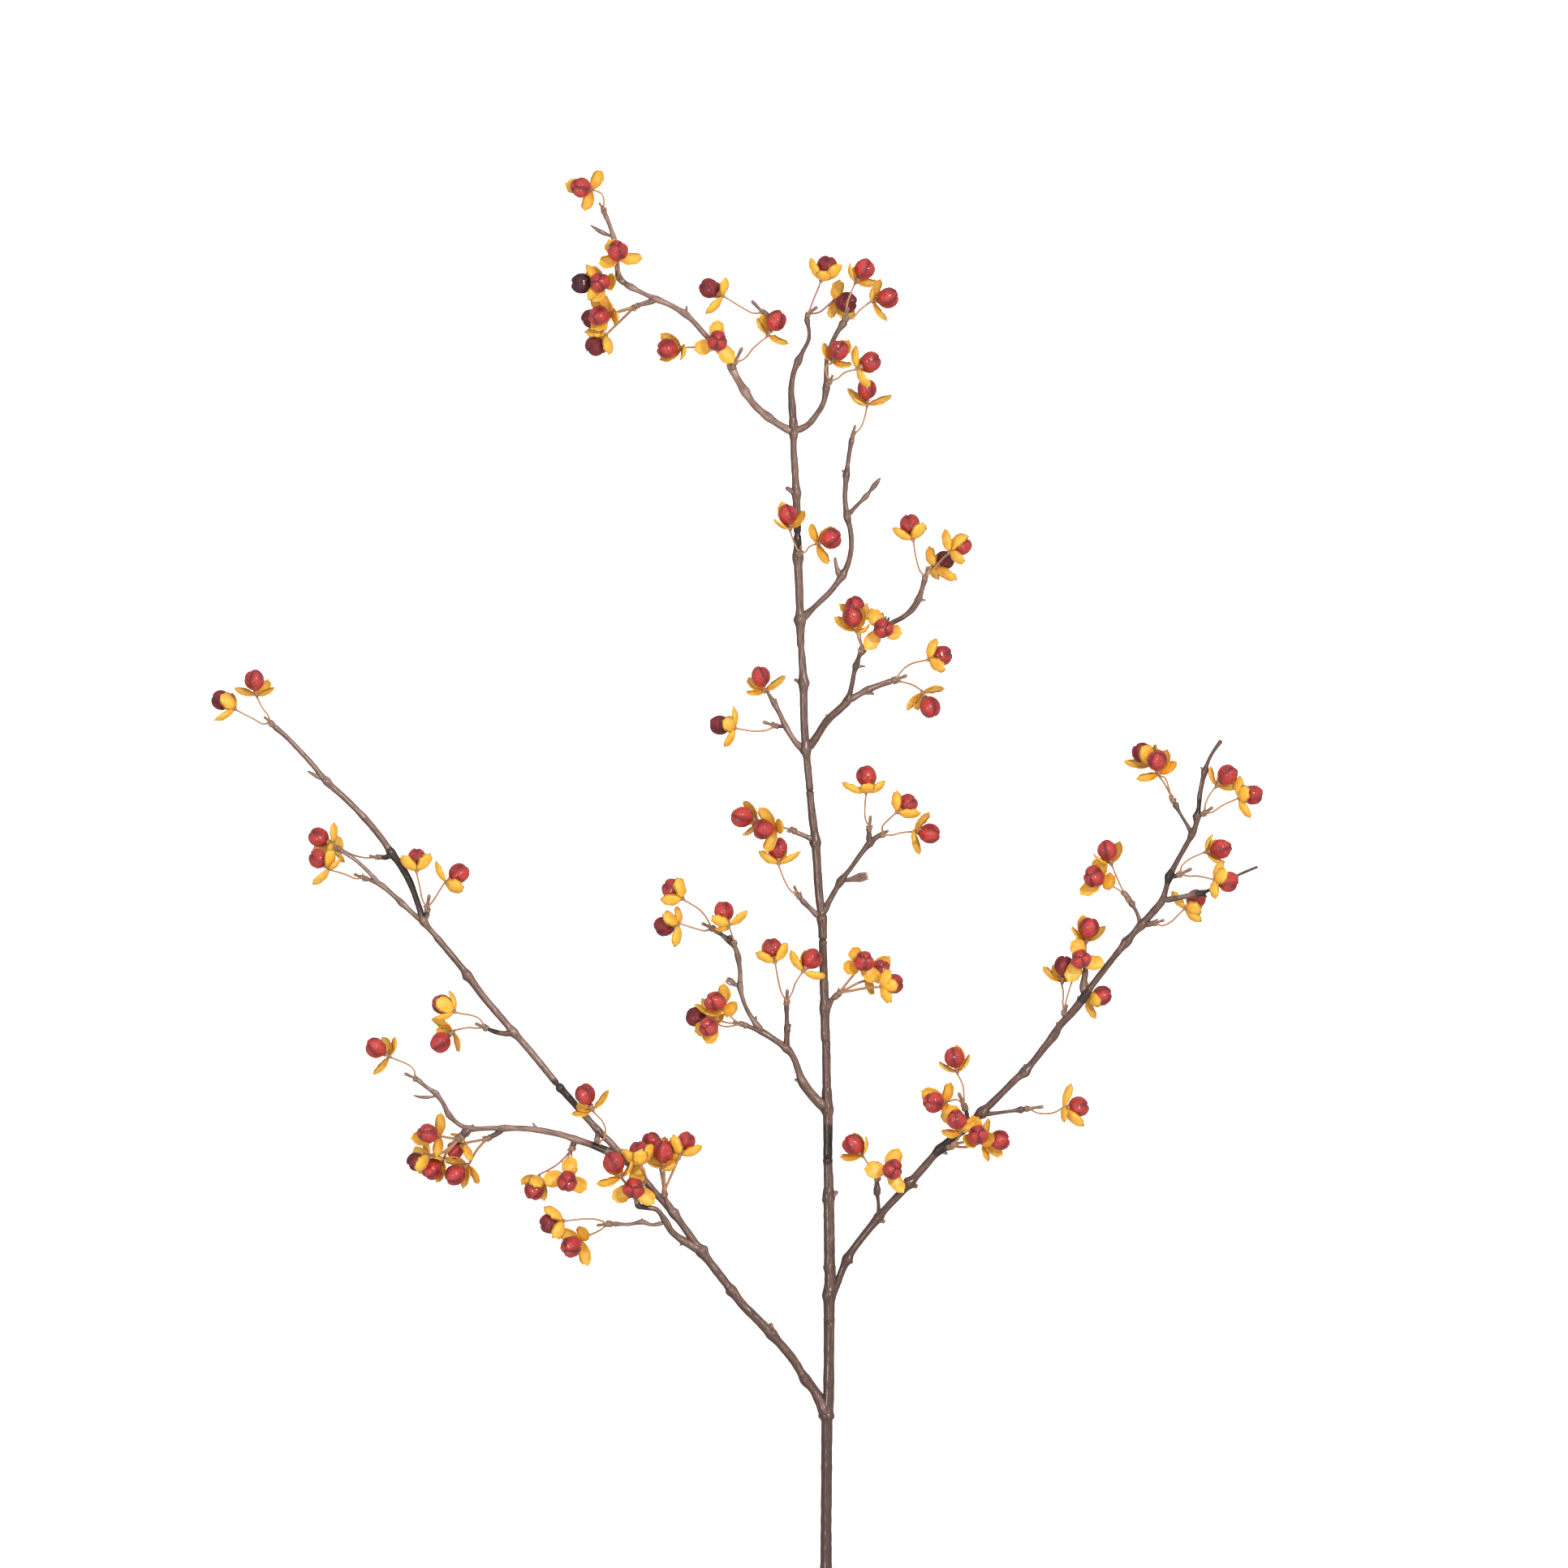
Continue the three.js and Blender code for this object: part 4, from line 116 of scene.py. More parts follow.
boughRoutes = {
    "crownLeft": [(34, 318, 47.2, 2), (25, 323, 46.3, 2), (18, 328, 45, 2.6), (10, 335, 43.6, 2),
        (4, 343.5, 42, 2.6), (-1, 352, 40.5, 2.1), (-4, 358, 39.6, 2.4), (-7, 364, 38.8, 1.6),
        (-13, 372, 37.4, 1.5), (-20, 378, 36, 1.5), (-27, 386, 34.4, 1.5), (-33, 391.5, 33, 2),
        (-42, 397, 31.4, 1.5), (-50, 400.5, 30, 2), (-58, 404, 28.8, 1.3), (-66, 408, 27.8, 1.9),
        (-70, 410.5, 27.2, 1.6), (-73.5, 414, 27, 1.9), (-75, 421, 28, 1.3), (-75.5, 431, 29, 1.2),
        (-77, 438.5, 30, 1.6), (-79.3, 446, 31.5, 1.2), (-82, 452.4, 32.8, 1.5)],
    "crownLeftTwig": [(-50, 400.5, 29.6, 1.6), (-57, 398.4, 26.4, 1.6), (-61.2, 397.4, 24.6, 1.3)],
    "crownMiddle": [(34, 319, 47.5, 2.3), (33, 335, 48.4, 2.2), (32.5, 345, 49, 1.8), (34, 355, 49.5, 1.6),
        (37, 362.5, 50, 2.3), (39.5, 368, 50.8, 1.3), (43, 375, 52, 1.2), (43.3, 381, 52.8, 1.1),
        (42, 387, 53.6, 1.6), (42.3, 389, 54, 1.3)],
    "crownRight": [(34.5, 319, 47.5, 1.9), (42, 322.5, 47.8, 1.8), (47, 328, 48, 1.8), (52, 336, 48.5, 1.7),
        (54, 345.5, 49, 2.3), (54, 353, 49.6, 1.4), (54.5, 364, 50.4, 1.3), (57.5, 373, 51, 1.4),
        (61, 380, 51.6, 1.4), (64.5, 385, 52, 2.3), (65.5, 387, 52.2, 1.7)],
    "upperRight": [(38, 203, 41.2, 2.2), (42, 206.5, 41.6, 1.9), (50, 214, 42.6, 1.5), (57, 221, 43.4, 1.5),
        (63.5, 230, 44, 2.4), (67.5, 238, 44.6, 1.5), (69.5, 248, 45, 1.4), (69, 258, 45.2, 1.4),
        (67, 266.5, 45, 2.2), (65.6, 278, 44.6, 1.4), (66.5, 292, 44, 2), (68, 304, 43.4, 1.2),
        (69.6, 313, 43, 1.6), (70, 315, 42.9, 1.3)],
    "upperRightSpur": [(67, 267, 45, 1.5), (73, 273.5, 45.6, 1.1), (78.5, 279, 46.2, 1.7),
        (80.5, 281.5, 46.6, 1)],
    "forkRight": [(42, 123, 36.8, 2.4), (47, 129.5, 37.2, 2.3), (54.5, 141, 38, 2.5), (62, 148, 38.6, 2.3),
        (67, 153.5, 39, 2.6), (69.5, 162, 40, 1.5), (71, 170, 40.8, 1.4), (72.3, 174.5, 41.3, 2),
        (74, 180, 42, 1.4), (75.3, 183, 42.3, 1.6)],
    "forkRightLow": [(67, 153, 39, 1.9), (74, 157, 38, 1.7), (79.5, 160, 37.2, 2.1), (87, 163, 36.2, 1.7),
        (93, 165, 35.4, 1.8), (95, 165.5, 35.1, 1.3)],
    "forkRightHidden": [(74.5, 181, 42, 1.5), (79, 187, 38.5, 1.4), (86, 196, 34.5, 1.4),
        (94, 201, 35, 1.3), (101, 204.5, 36.5, 1.4), (107, 209.5, 38.6, 1.7), (111, 216, 41, 1.9),
        (113, 222, 42.2, 1.3), (114.6, 227.5, 43.2, 1.6)],
    "forkLeft": [(41, 122.5, 36.6, 2.1), (35, 128, 36, 1.7), (29, 137.5, 34.6, 1.9), (25.5, 145, 33.4, 1.4),
        (22, 151.5, 32.2, 1.9), (18.8, 157, 31.6, 1.1), (18, 159, 31.5, 1.1)],
    "forkLeftTwig": [(29, 137.5, 34.6, 1.3), (26, 137.5, 34.2, 1), (24.3, 137.6, 34, 1)],
    "middleLeft": [(47, 67, 34, 1.6), (42, 69.5, 35, 1.3), (37, 71.6, 36, 1.4), (35, 72.5, 36.4, 1.1)],
    "middleLeftLow": [(50, 19.5, 31.2, 1.7), (45.5, 24, 32, 1.4), (40, 29.5, 33, 1.7),
        (37.8, 32, 33.4, 1.2)],
    "middleRight": [(52, 22, 31.2, 1.9), (56.6, 31, 32, 1.5), (63, 42, 33, 2.3), (69, 50, 34, 1.3),
        (75, 58.5, 35, 1.4), (80.5, 65.5, 36, 2), (85, 69.3, 37.2, 1.4), (87.5, 70.5, 37.8, 1.4)],
    "middleRightUp": [(80.3, 65, 36, 1.6), (80.4, 70, 37.4, 1.4), (80.3, 73, 38.2, 1.3)],
    "lowerRight": [(54, -38, 28, 2), (56.5, -32, 28.8, 1.7), (59, -29.5, 29.8, 1.2)],
    "lowerLeft": [(54.5, -98, 24.6, 2.7), (47, -91.5, 25, 2.5), (40, -82.5, 26, 2.7), (37, -75, 27, 1.9),
        (34, -67, 28, 1.8), (29.6, -61, 29, 2.3), (22, -55.5, 29, 1.6), (14.5, -50.7, 29, 1.9),
        (8.5, -48.3, 29.2, 1.2), (5.5, -47, 29.4, 1.2)],
    "lowerLeftUp": [(29.7, -61.5, 29, 1.7), (29.8, -53, 30.6, 1.5), (30, -49.5, 31.2, 2.1),
        (29.8, -42, 32.4, 1.3), (29.7, -35.5, 33.4, 1.7), (29.7, -34, 33.6, 1.5)],
    "lowerLeftFar": [(15, -51, 29, 1.6), (10.8, -46, 29.6, 1.6), (6, -38.5, 30.2, 1.2), (2.8, -31, 31, 1.1),
        (1, -23, 32, 1.7), (1, -14, 33, 1.2), (-0.3, -5, 34, 1.6), (-2, 1, 35, 1.3), (-6, 5.5, 35.6, 1.7),
        (-10.5, 9.3, 36, 1.2), (-13.5, 11.5, 36.4, 1.4), (-14.7, 12.3, 36.5, 1.2)],
    "left": [(54.5, -288, 14, 3.3), (49.5, -277, 15, 2.9), (45.5, -270.5, 16, 2.5), (41, -265, 16.8, 3.1),
        (33, -252, 18.2, 2.3), (20.5, -237.5, 20, 3.1), (10, -226.5, 21.2, 2.4), (3, -219.5, 21.8, 2.4),
        (-4, -210.5, 22.6, 3), (-13, -199, 23.4, 2.2), (-23, -186, 24.2, 3.2), (-33, -172, 25.6, 1.9),
        (-40, -162.5, 26.6, 2.5), (-52, -149, 28, 1.9), (-62, -137.5, 28.6, 2), (-71.5, -127.5, 29, 2.4),
        (-79, -119, 29.4, 1.8), (-87, -111, 29.6, 2.1), (-97, -99.5, 30, 1.8), (-109.6, -85.2, 31, 2.2),
        (-111.6, -83, 31.1, 1.4), (-114, -80, 31.3, 1.8), (-128, -63, 32, 1.8), (-138.5, -51, 33, 2.5),
        (-144, -44.5, 33.4, 1.9), (-157, -29, 34.4, 1.9), (-166.5, -16, 35.4, 2.5), (-172, -9, 36, 1.7),
        (-185, 6.5, 37.2, 1.9), (-187, 9, 37.4, 1.5), (-194, 17.5, 38, 2.5), (-196.5, 25.5, 38.6, 1.6),
        (-202, 41, 39.8, 1.8), (-208, 52, 40.8, 1.8), (-213.5, 59.5, 41.6, 2.3), (-220, 69, 42.6, 1.7),
        (-230.5, 81.5, 44, 1.9), (-243, 94, 45.2, 1.6), (-253.5, 103.5, 46.4, 2.1), (-263, 115, 47.4, 1.4),
        (-277, 130, 48.8, 1.3), (-284.5, 136.5, 49.6, 1.6), (-286, 138, 49.8, 1.2)],
    "leftArm": [(-70.5, -129, 29, 2.5), (-77, -126, 27.6, 2.6), (-85, -122.5, 26.6, 2.6),
        (-93, -119.5, 26, 2.3), (-101, -117, 26, 2.6), (-110, -114, 25.6, 2), (-124.5, -111.2, 25, 2),
        (-135, -110.3, 24.4, 1.9), (-144.5, -110.2, 24, 2.4), (-154, -110.3, 23.2, 1.6),
        (-165, -110.5, 22.2, 2.1), (-172, -108, 22.6, 1.5), (-178.5, -102, 23.6, 2.1),
        (-182, -95, 24.6, 1.5), (-186.5, -89, 25.8, 1.8), (-192, -85, 26.8, 1.3), (-197, -81, 27.8, 1.6),
        (-198.2, -80.2, 28, 1.2)],
    "leftArmStub": [(-165, -110.5, 22.2, 2), (-168.5, -113, 21.8, 2.3), (-170, -114.5, 21.6, 2)],
    "leftArmTwig": [(-144.5, -110.6, 24, 1.6), (-149.5, -113.8, 23, 1.4), (-153, -115.6, 22.4, 1.4)],
    "leftArmDrop": [(-100.5, -117, 26, 1.9), (-101.8, -120, 25.6, 1.6), (-102.2, -121.2, 25.4, 1.4)],
    "leftFork": [(-22.5, -186, 24.2, 2.6), (-34, -179.5, 26, 2.3), (-41, -174, 28, 1.9),
        (-45, -167.5, 30, 2.1), (-50, -160.5, 32, 1.5), (-56.5, -158.8, 33, 1.5), (-61.5, -158, 34, 1.7),
        (-62.4, -156.2, 34.4, 1.5)],
    "leftForkTwig": [(-45, -168, 30, 1.5), (-53, -169.6, 28.6, 1.2), (-59.5, -168, 27, 1.8),
        (-68, -169.4, 25.2, 1.2), (-76, -169, 23.6, 1.7), (-78.3, -169.2, 23.2, 1.1)],
    "leftKnee": [(-40, -162, 26.6, 1.9), (-43.5, -157, 28.2, 1.8), (-45.4, -152, 30.2, 1.2)],
    "leftSpur": [(-87, -111, 29.8, 1.3), (-87, -113.5, 32.4, 1.2), (-87, -116, 34, 1.3)],
    "leftTwig": [(-138.5, -51, 33, 1.9), (-144, -51.8, 33, 1.4), (-150, -50.6, 33, 1.5),
        (-154.6, -48.8, 33, 1.2)],
    "leftUpperStub": [(-193, 18, 38.2, 1.7), (-191.8, 21.5, 38.9, 1.5), (-191.6, 23.6, 39.3, 1.3)],
    "leftBlackTwig": [(-213, 58.5, 41.6, 1.6), (-217, 57, 41.8, 1.3), (-219.8, 57, 42, 1.2)],
    "leftLowFork": [(-193, 17, 38, 1.9), (-199, 21, 37.6, 1.4), (-207, 28.5, 37, 2), (-213, 34, 36.6, 1.4),
        (-220, 39.8, 36, 1.7), (-225.5, 42.3, 35.5, 1.2), (-228.5, 43.4, 35.1, 1)],
    "leftLowForkUp": [(-221, 40, 36, 1.5), (-228, 48, 37.2, 1.2), (-235, 54.5, 38.4, 1.1),
        (-241, 58.6, 39.2, 1.1), (-245.5, 61.5, 39.8, 1.3)],
    "right": [(56.5, -215, 18.2, 2.6), (60.5, -207, 18.6, 2), (63.5, -199, 19.2, 2), (67, -191, 20, 2.9),
        (71, -184.5, 20.8, 2.1), (79, -174, 22.4, 2.1), (86, -165.5, 23.8, 2.9), (90.5, -160, 24.6, 2.1),
        (99, -151, 26, 2.1), (105.5, -144, 27, 3.1), (110, -139, 27.8, 2.1), (119, -128.5, 29.4, 2.1),
        (124, -123, 30.2, 2.8), (130, -117.5, 31, 2), (139.5, -110.5, 32.2, 2.1), (149.5, -100.5, 33.4, 3),
        (155, -95.5, 34.2, 2), (164, -86.5, 35.2, 1.9), (170.5, -80, 36, 2), (176, -75.3, 36.6, 2.8),
        (181, -69.5, 37, 1.9), (188, -60.5, 37.8, 2), (194, -53, 38.4, 2.6), (198, -46.5, 39, 2),
        (204.5, -39.5, 39.6, 2.3), (209.5, -33.5, 40, 2.3), (213.5, -28, 40.4, 2.4), (218, -21.5, 41, 1.8),
        (228, -8.5, 42.2, 1.7), (233.5, -1.5, 42.8, 1.8), (238.5, 4.5, 43.4, 2.7), (242.5, 9.5, 43.8, 1.9),
        (248, 15.5, 44.4, 2.8), (252, 20, 45, 2), (256, 24.5, 45.4, 2.2), (260.5, 30, 46, 2.1),
        (262.5, 36, 47, 1.5), (265, 45, 49, 2.3), (269, 53, 50, 1.5), (274, 62, 51, 1.4),
        (279, 71, 52.2, 2.1), (281.3, 77, 53, 1.5), (282, 82, 54, 2.4), (283, 88, 54.8, 1.2),
        (283.5, 95, 55.6, 1.4), (285, 103, 56.6, 1.3), (286.5, 109.5, 57.4, 1.9), (288.5, 115.5, 58.2, 1),
        (291.5, 121.5, 59, 1), (296.5, 128.5, 60, 1.2)],
    "rightTip": [(261, 30.5, 46, 1.9), (268, 31.5, 47, 1.8), (279, 33.8, 48.2, 1.9), (285, 35, 49, 2.3),
        (289.5, 36.8, 49.8, 1.1), (299, 41, 51, 1), (308, 46.3, 52.4, 1), (319, 51, 54, 1.1)],
    "rightTwigUp": [(86, -164, 24, 1.2), (86.3, -158, 25, 0.9), (85.7, -152.5, 26, 1.1),
        (85.4, -150.5, 26.2, 2), (85.4, -147.5, 26.6, 2.1), (85.3, -144.5, 27, 1.5),
        (85.3, -142.8, 27.2, 1.3)],
    "rightStub": [(124, -123, 30.2, 1.8), (126.5, -122.4, 30.6, 1.7), (128.6, -121.8, 31, 1.6)],
    "rightBackTwig": [(139.8, -110, 31.8, 1.6), (141, -105.5, 29.6, 1.4), (140.7, -101.5, 30.6, 1.3),
        (139.9, -98.6, 33, 1.3)],
    "rightLowTwig": [(150, -101, 33.2, 1.9), (156, -101, 31.8, 1.2), (168, -99.5, 28.4, 1),
        (174, -98.6, 26.8, 2), (176.6, -98.3, 26.1, 1.2)],
    "rightThumb": [(202, -42, 39.2, 1.7), (200.8, -40, 39.8, 1.7)],
    "rightRiser": [(213.2, -28.5, 40.2, 2), (212.3, -21.5, 38.6, 2.1), (213.4, -15, 36.4, 1.8),
        (213.6, -9.5, 35.4, 1.4)],
    "rightUnder": [(211.5, -30, 39.4, 1.5), (211.8, -31, 36.6, 1.4)],
    "rightUpperStub": [(248.5, 15.5, 44.2, 1.7), (252.5, 15.8, 43, 1.6), (254.8, 16.3, 42.2, 1.4)],
    "rightUpperTwig": [(247.5, 15, 44.4, 1.5), (246, 20.5, 44.6, 1), (244, 25, 45, 1),
        (241.8, 28.3, 45.4, 1.9), (240.5, 30.2, 45.6, 1.2)],
    "rightThorn": [(265, 45, 49, 1.4), (268, 45.1, 49.4, 1.1), (269.8, 45.8, 49.7, 1.1)],
    "rightFarTwig": [(279, 71.5, 52.3, 1.5), (275.5, 77.5, 53, 1), (271.5, 84, 54, 1),
        (268.8, 89, 54.6, 1.8), (267.6, 91, 55, 1.1)],
    "rightFarStub": [(282.5, 82, 54, 1.5), (284.9, 83.2, 54.9, 1.2)],
}

# pegs, resting buds and dry bracts: foot, tip, radius or half width, and a bract's teeth
spurs = [((56, -153, 21.5), (61, -149, 22.5), 1.7), ((54, -154, 21.4), (51.3, -155, 21.4), 1.8),
    ((39.5, 163, 39), (34.3, 166.5, 39.5), 1.4), ((35.5, 281, 45.4), (29, 284.5, 45.6), 1.8),
    ((18, 327, 45), (13.6, 329, 45.6), 1.4), ((-33, 391, 33), (-32, 396.5, 34), 1),
    ((63, 229, 44), (59.4, 241.5, 44.4), 1.5), ((66.5, 292, 44), (63.6, 295.5, 44.2), 0.9),
    ((54.5, 141, 38.4), (54, 145, 39), 0.9), ((72, 174, 41.3), (78, 174.4, 41.6), 1),
    ((76, 158.6, 38), (83.6, 157.6, 37.2), 1.1), ((111, 215.5, 41), (115.3, 215, 41.4), 0.9),
    ((110, 214, 40.8), (108.2, 216, 41.6), 0.8), ((22, 151.5, 32.4), (22.9, 154.6, 33), 1.2),
    ((39.5, -82, 26), (34.4, -79.8, 26), 1.2), ((30, -50, 31.2), (32.4, -46, 31.8), 1),
    ((10.5, -46.5, 29.6), (10.7, -40.8, 30.6), 1), ((-4.5, 5.5, 35.8), (-5.6, 9, 36.4), 1.3),
    ((41, -265, 16.8), (37.3, -263.6, 17), 1.5), ((20.5, -237, 20), (19.6, -230.3, 20.4), 1.7),
    ((-4, -211, 22.6), (-8.2, -211.2, 22.8), 1.5), ((-33, -180, 25.8), (-36.4, -182.3, 25.8), 1),
    ((-124.5, -111, 25), (-127, -106.8, 25.6), 0.9), ((-59.5, -168, 27), (-59.4, -165.6, 27.2), 0.9),
    ((-165, -110.5, 22.2), (-163.6, -107.8, 22.6), 1.1), ((67, -191, 20), (70.2, -193.6, 20), 1.6),
    ((86, -166, 23.8), (90.3, -168, 23.8), 1.8), ((105, -145, 27), (110.3, -146.3, 27), 2),
    ((124, -124, 30.2), (128.6, -126, 30.4), 1.4), ((176, -75, 36.8), (176.4, -70.4, 37.6), 1.2),
    ((198, -46, 39), (195.4, -45, 39.2), 1.3), ((209.5, -33, 40), (209.6, -28.6, 40.4), 1.3),
    ((285, 35, 49), (288.2, 32.4, 49), 1), ((286.5, 109.5, 57.4), (284.2, 112.6, 58), 0.9),
    ((89, 198, 34.7), (88.5, 207.5, 36.5), 1.1), ((90, 198.6, 34.7), (92.8, 204.8, 36), 0.9)]
restingBuds = [((-76.5, 439, 30.2), (-91.5, 446.5, 32), 1.5), ((80, 281, 46.5), (87.5, 290.5, 48), 1.8),
    ((-254, 103.6, 46.4), (-265.6, 110.2, 47.4), 1.4), ((-186, -90.4, 25.8), (-201, -89.8, 26.6), 1.2)]
bracts = [((63.5, 42, 33), (81.8, 46, 34.5), 3, 4), ((1, -23.5, 32), (-8.6, -17.4, 33), 2.4, 4)]


def headAt(berry, seat, *rest):
    # a berry (middle and radius), its seat and three valve tips (x, y, 1 above or -1 below), and its stalk
    return dict(berry=berry, seat=seat, husk=rest[:3], stalk=rest[3:])


def bunchAt(foot, top, radius, bud, *heads):
    # a collar from its foot to its top, the tip of its bud if it has one, and its heads
    return dict(collar=(foot, top, radius), bud=bud, heads=heads)


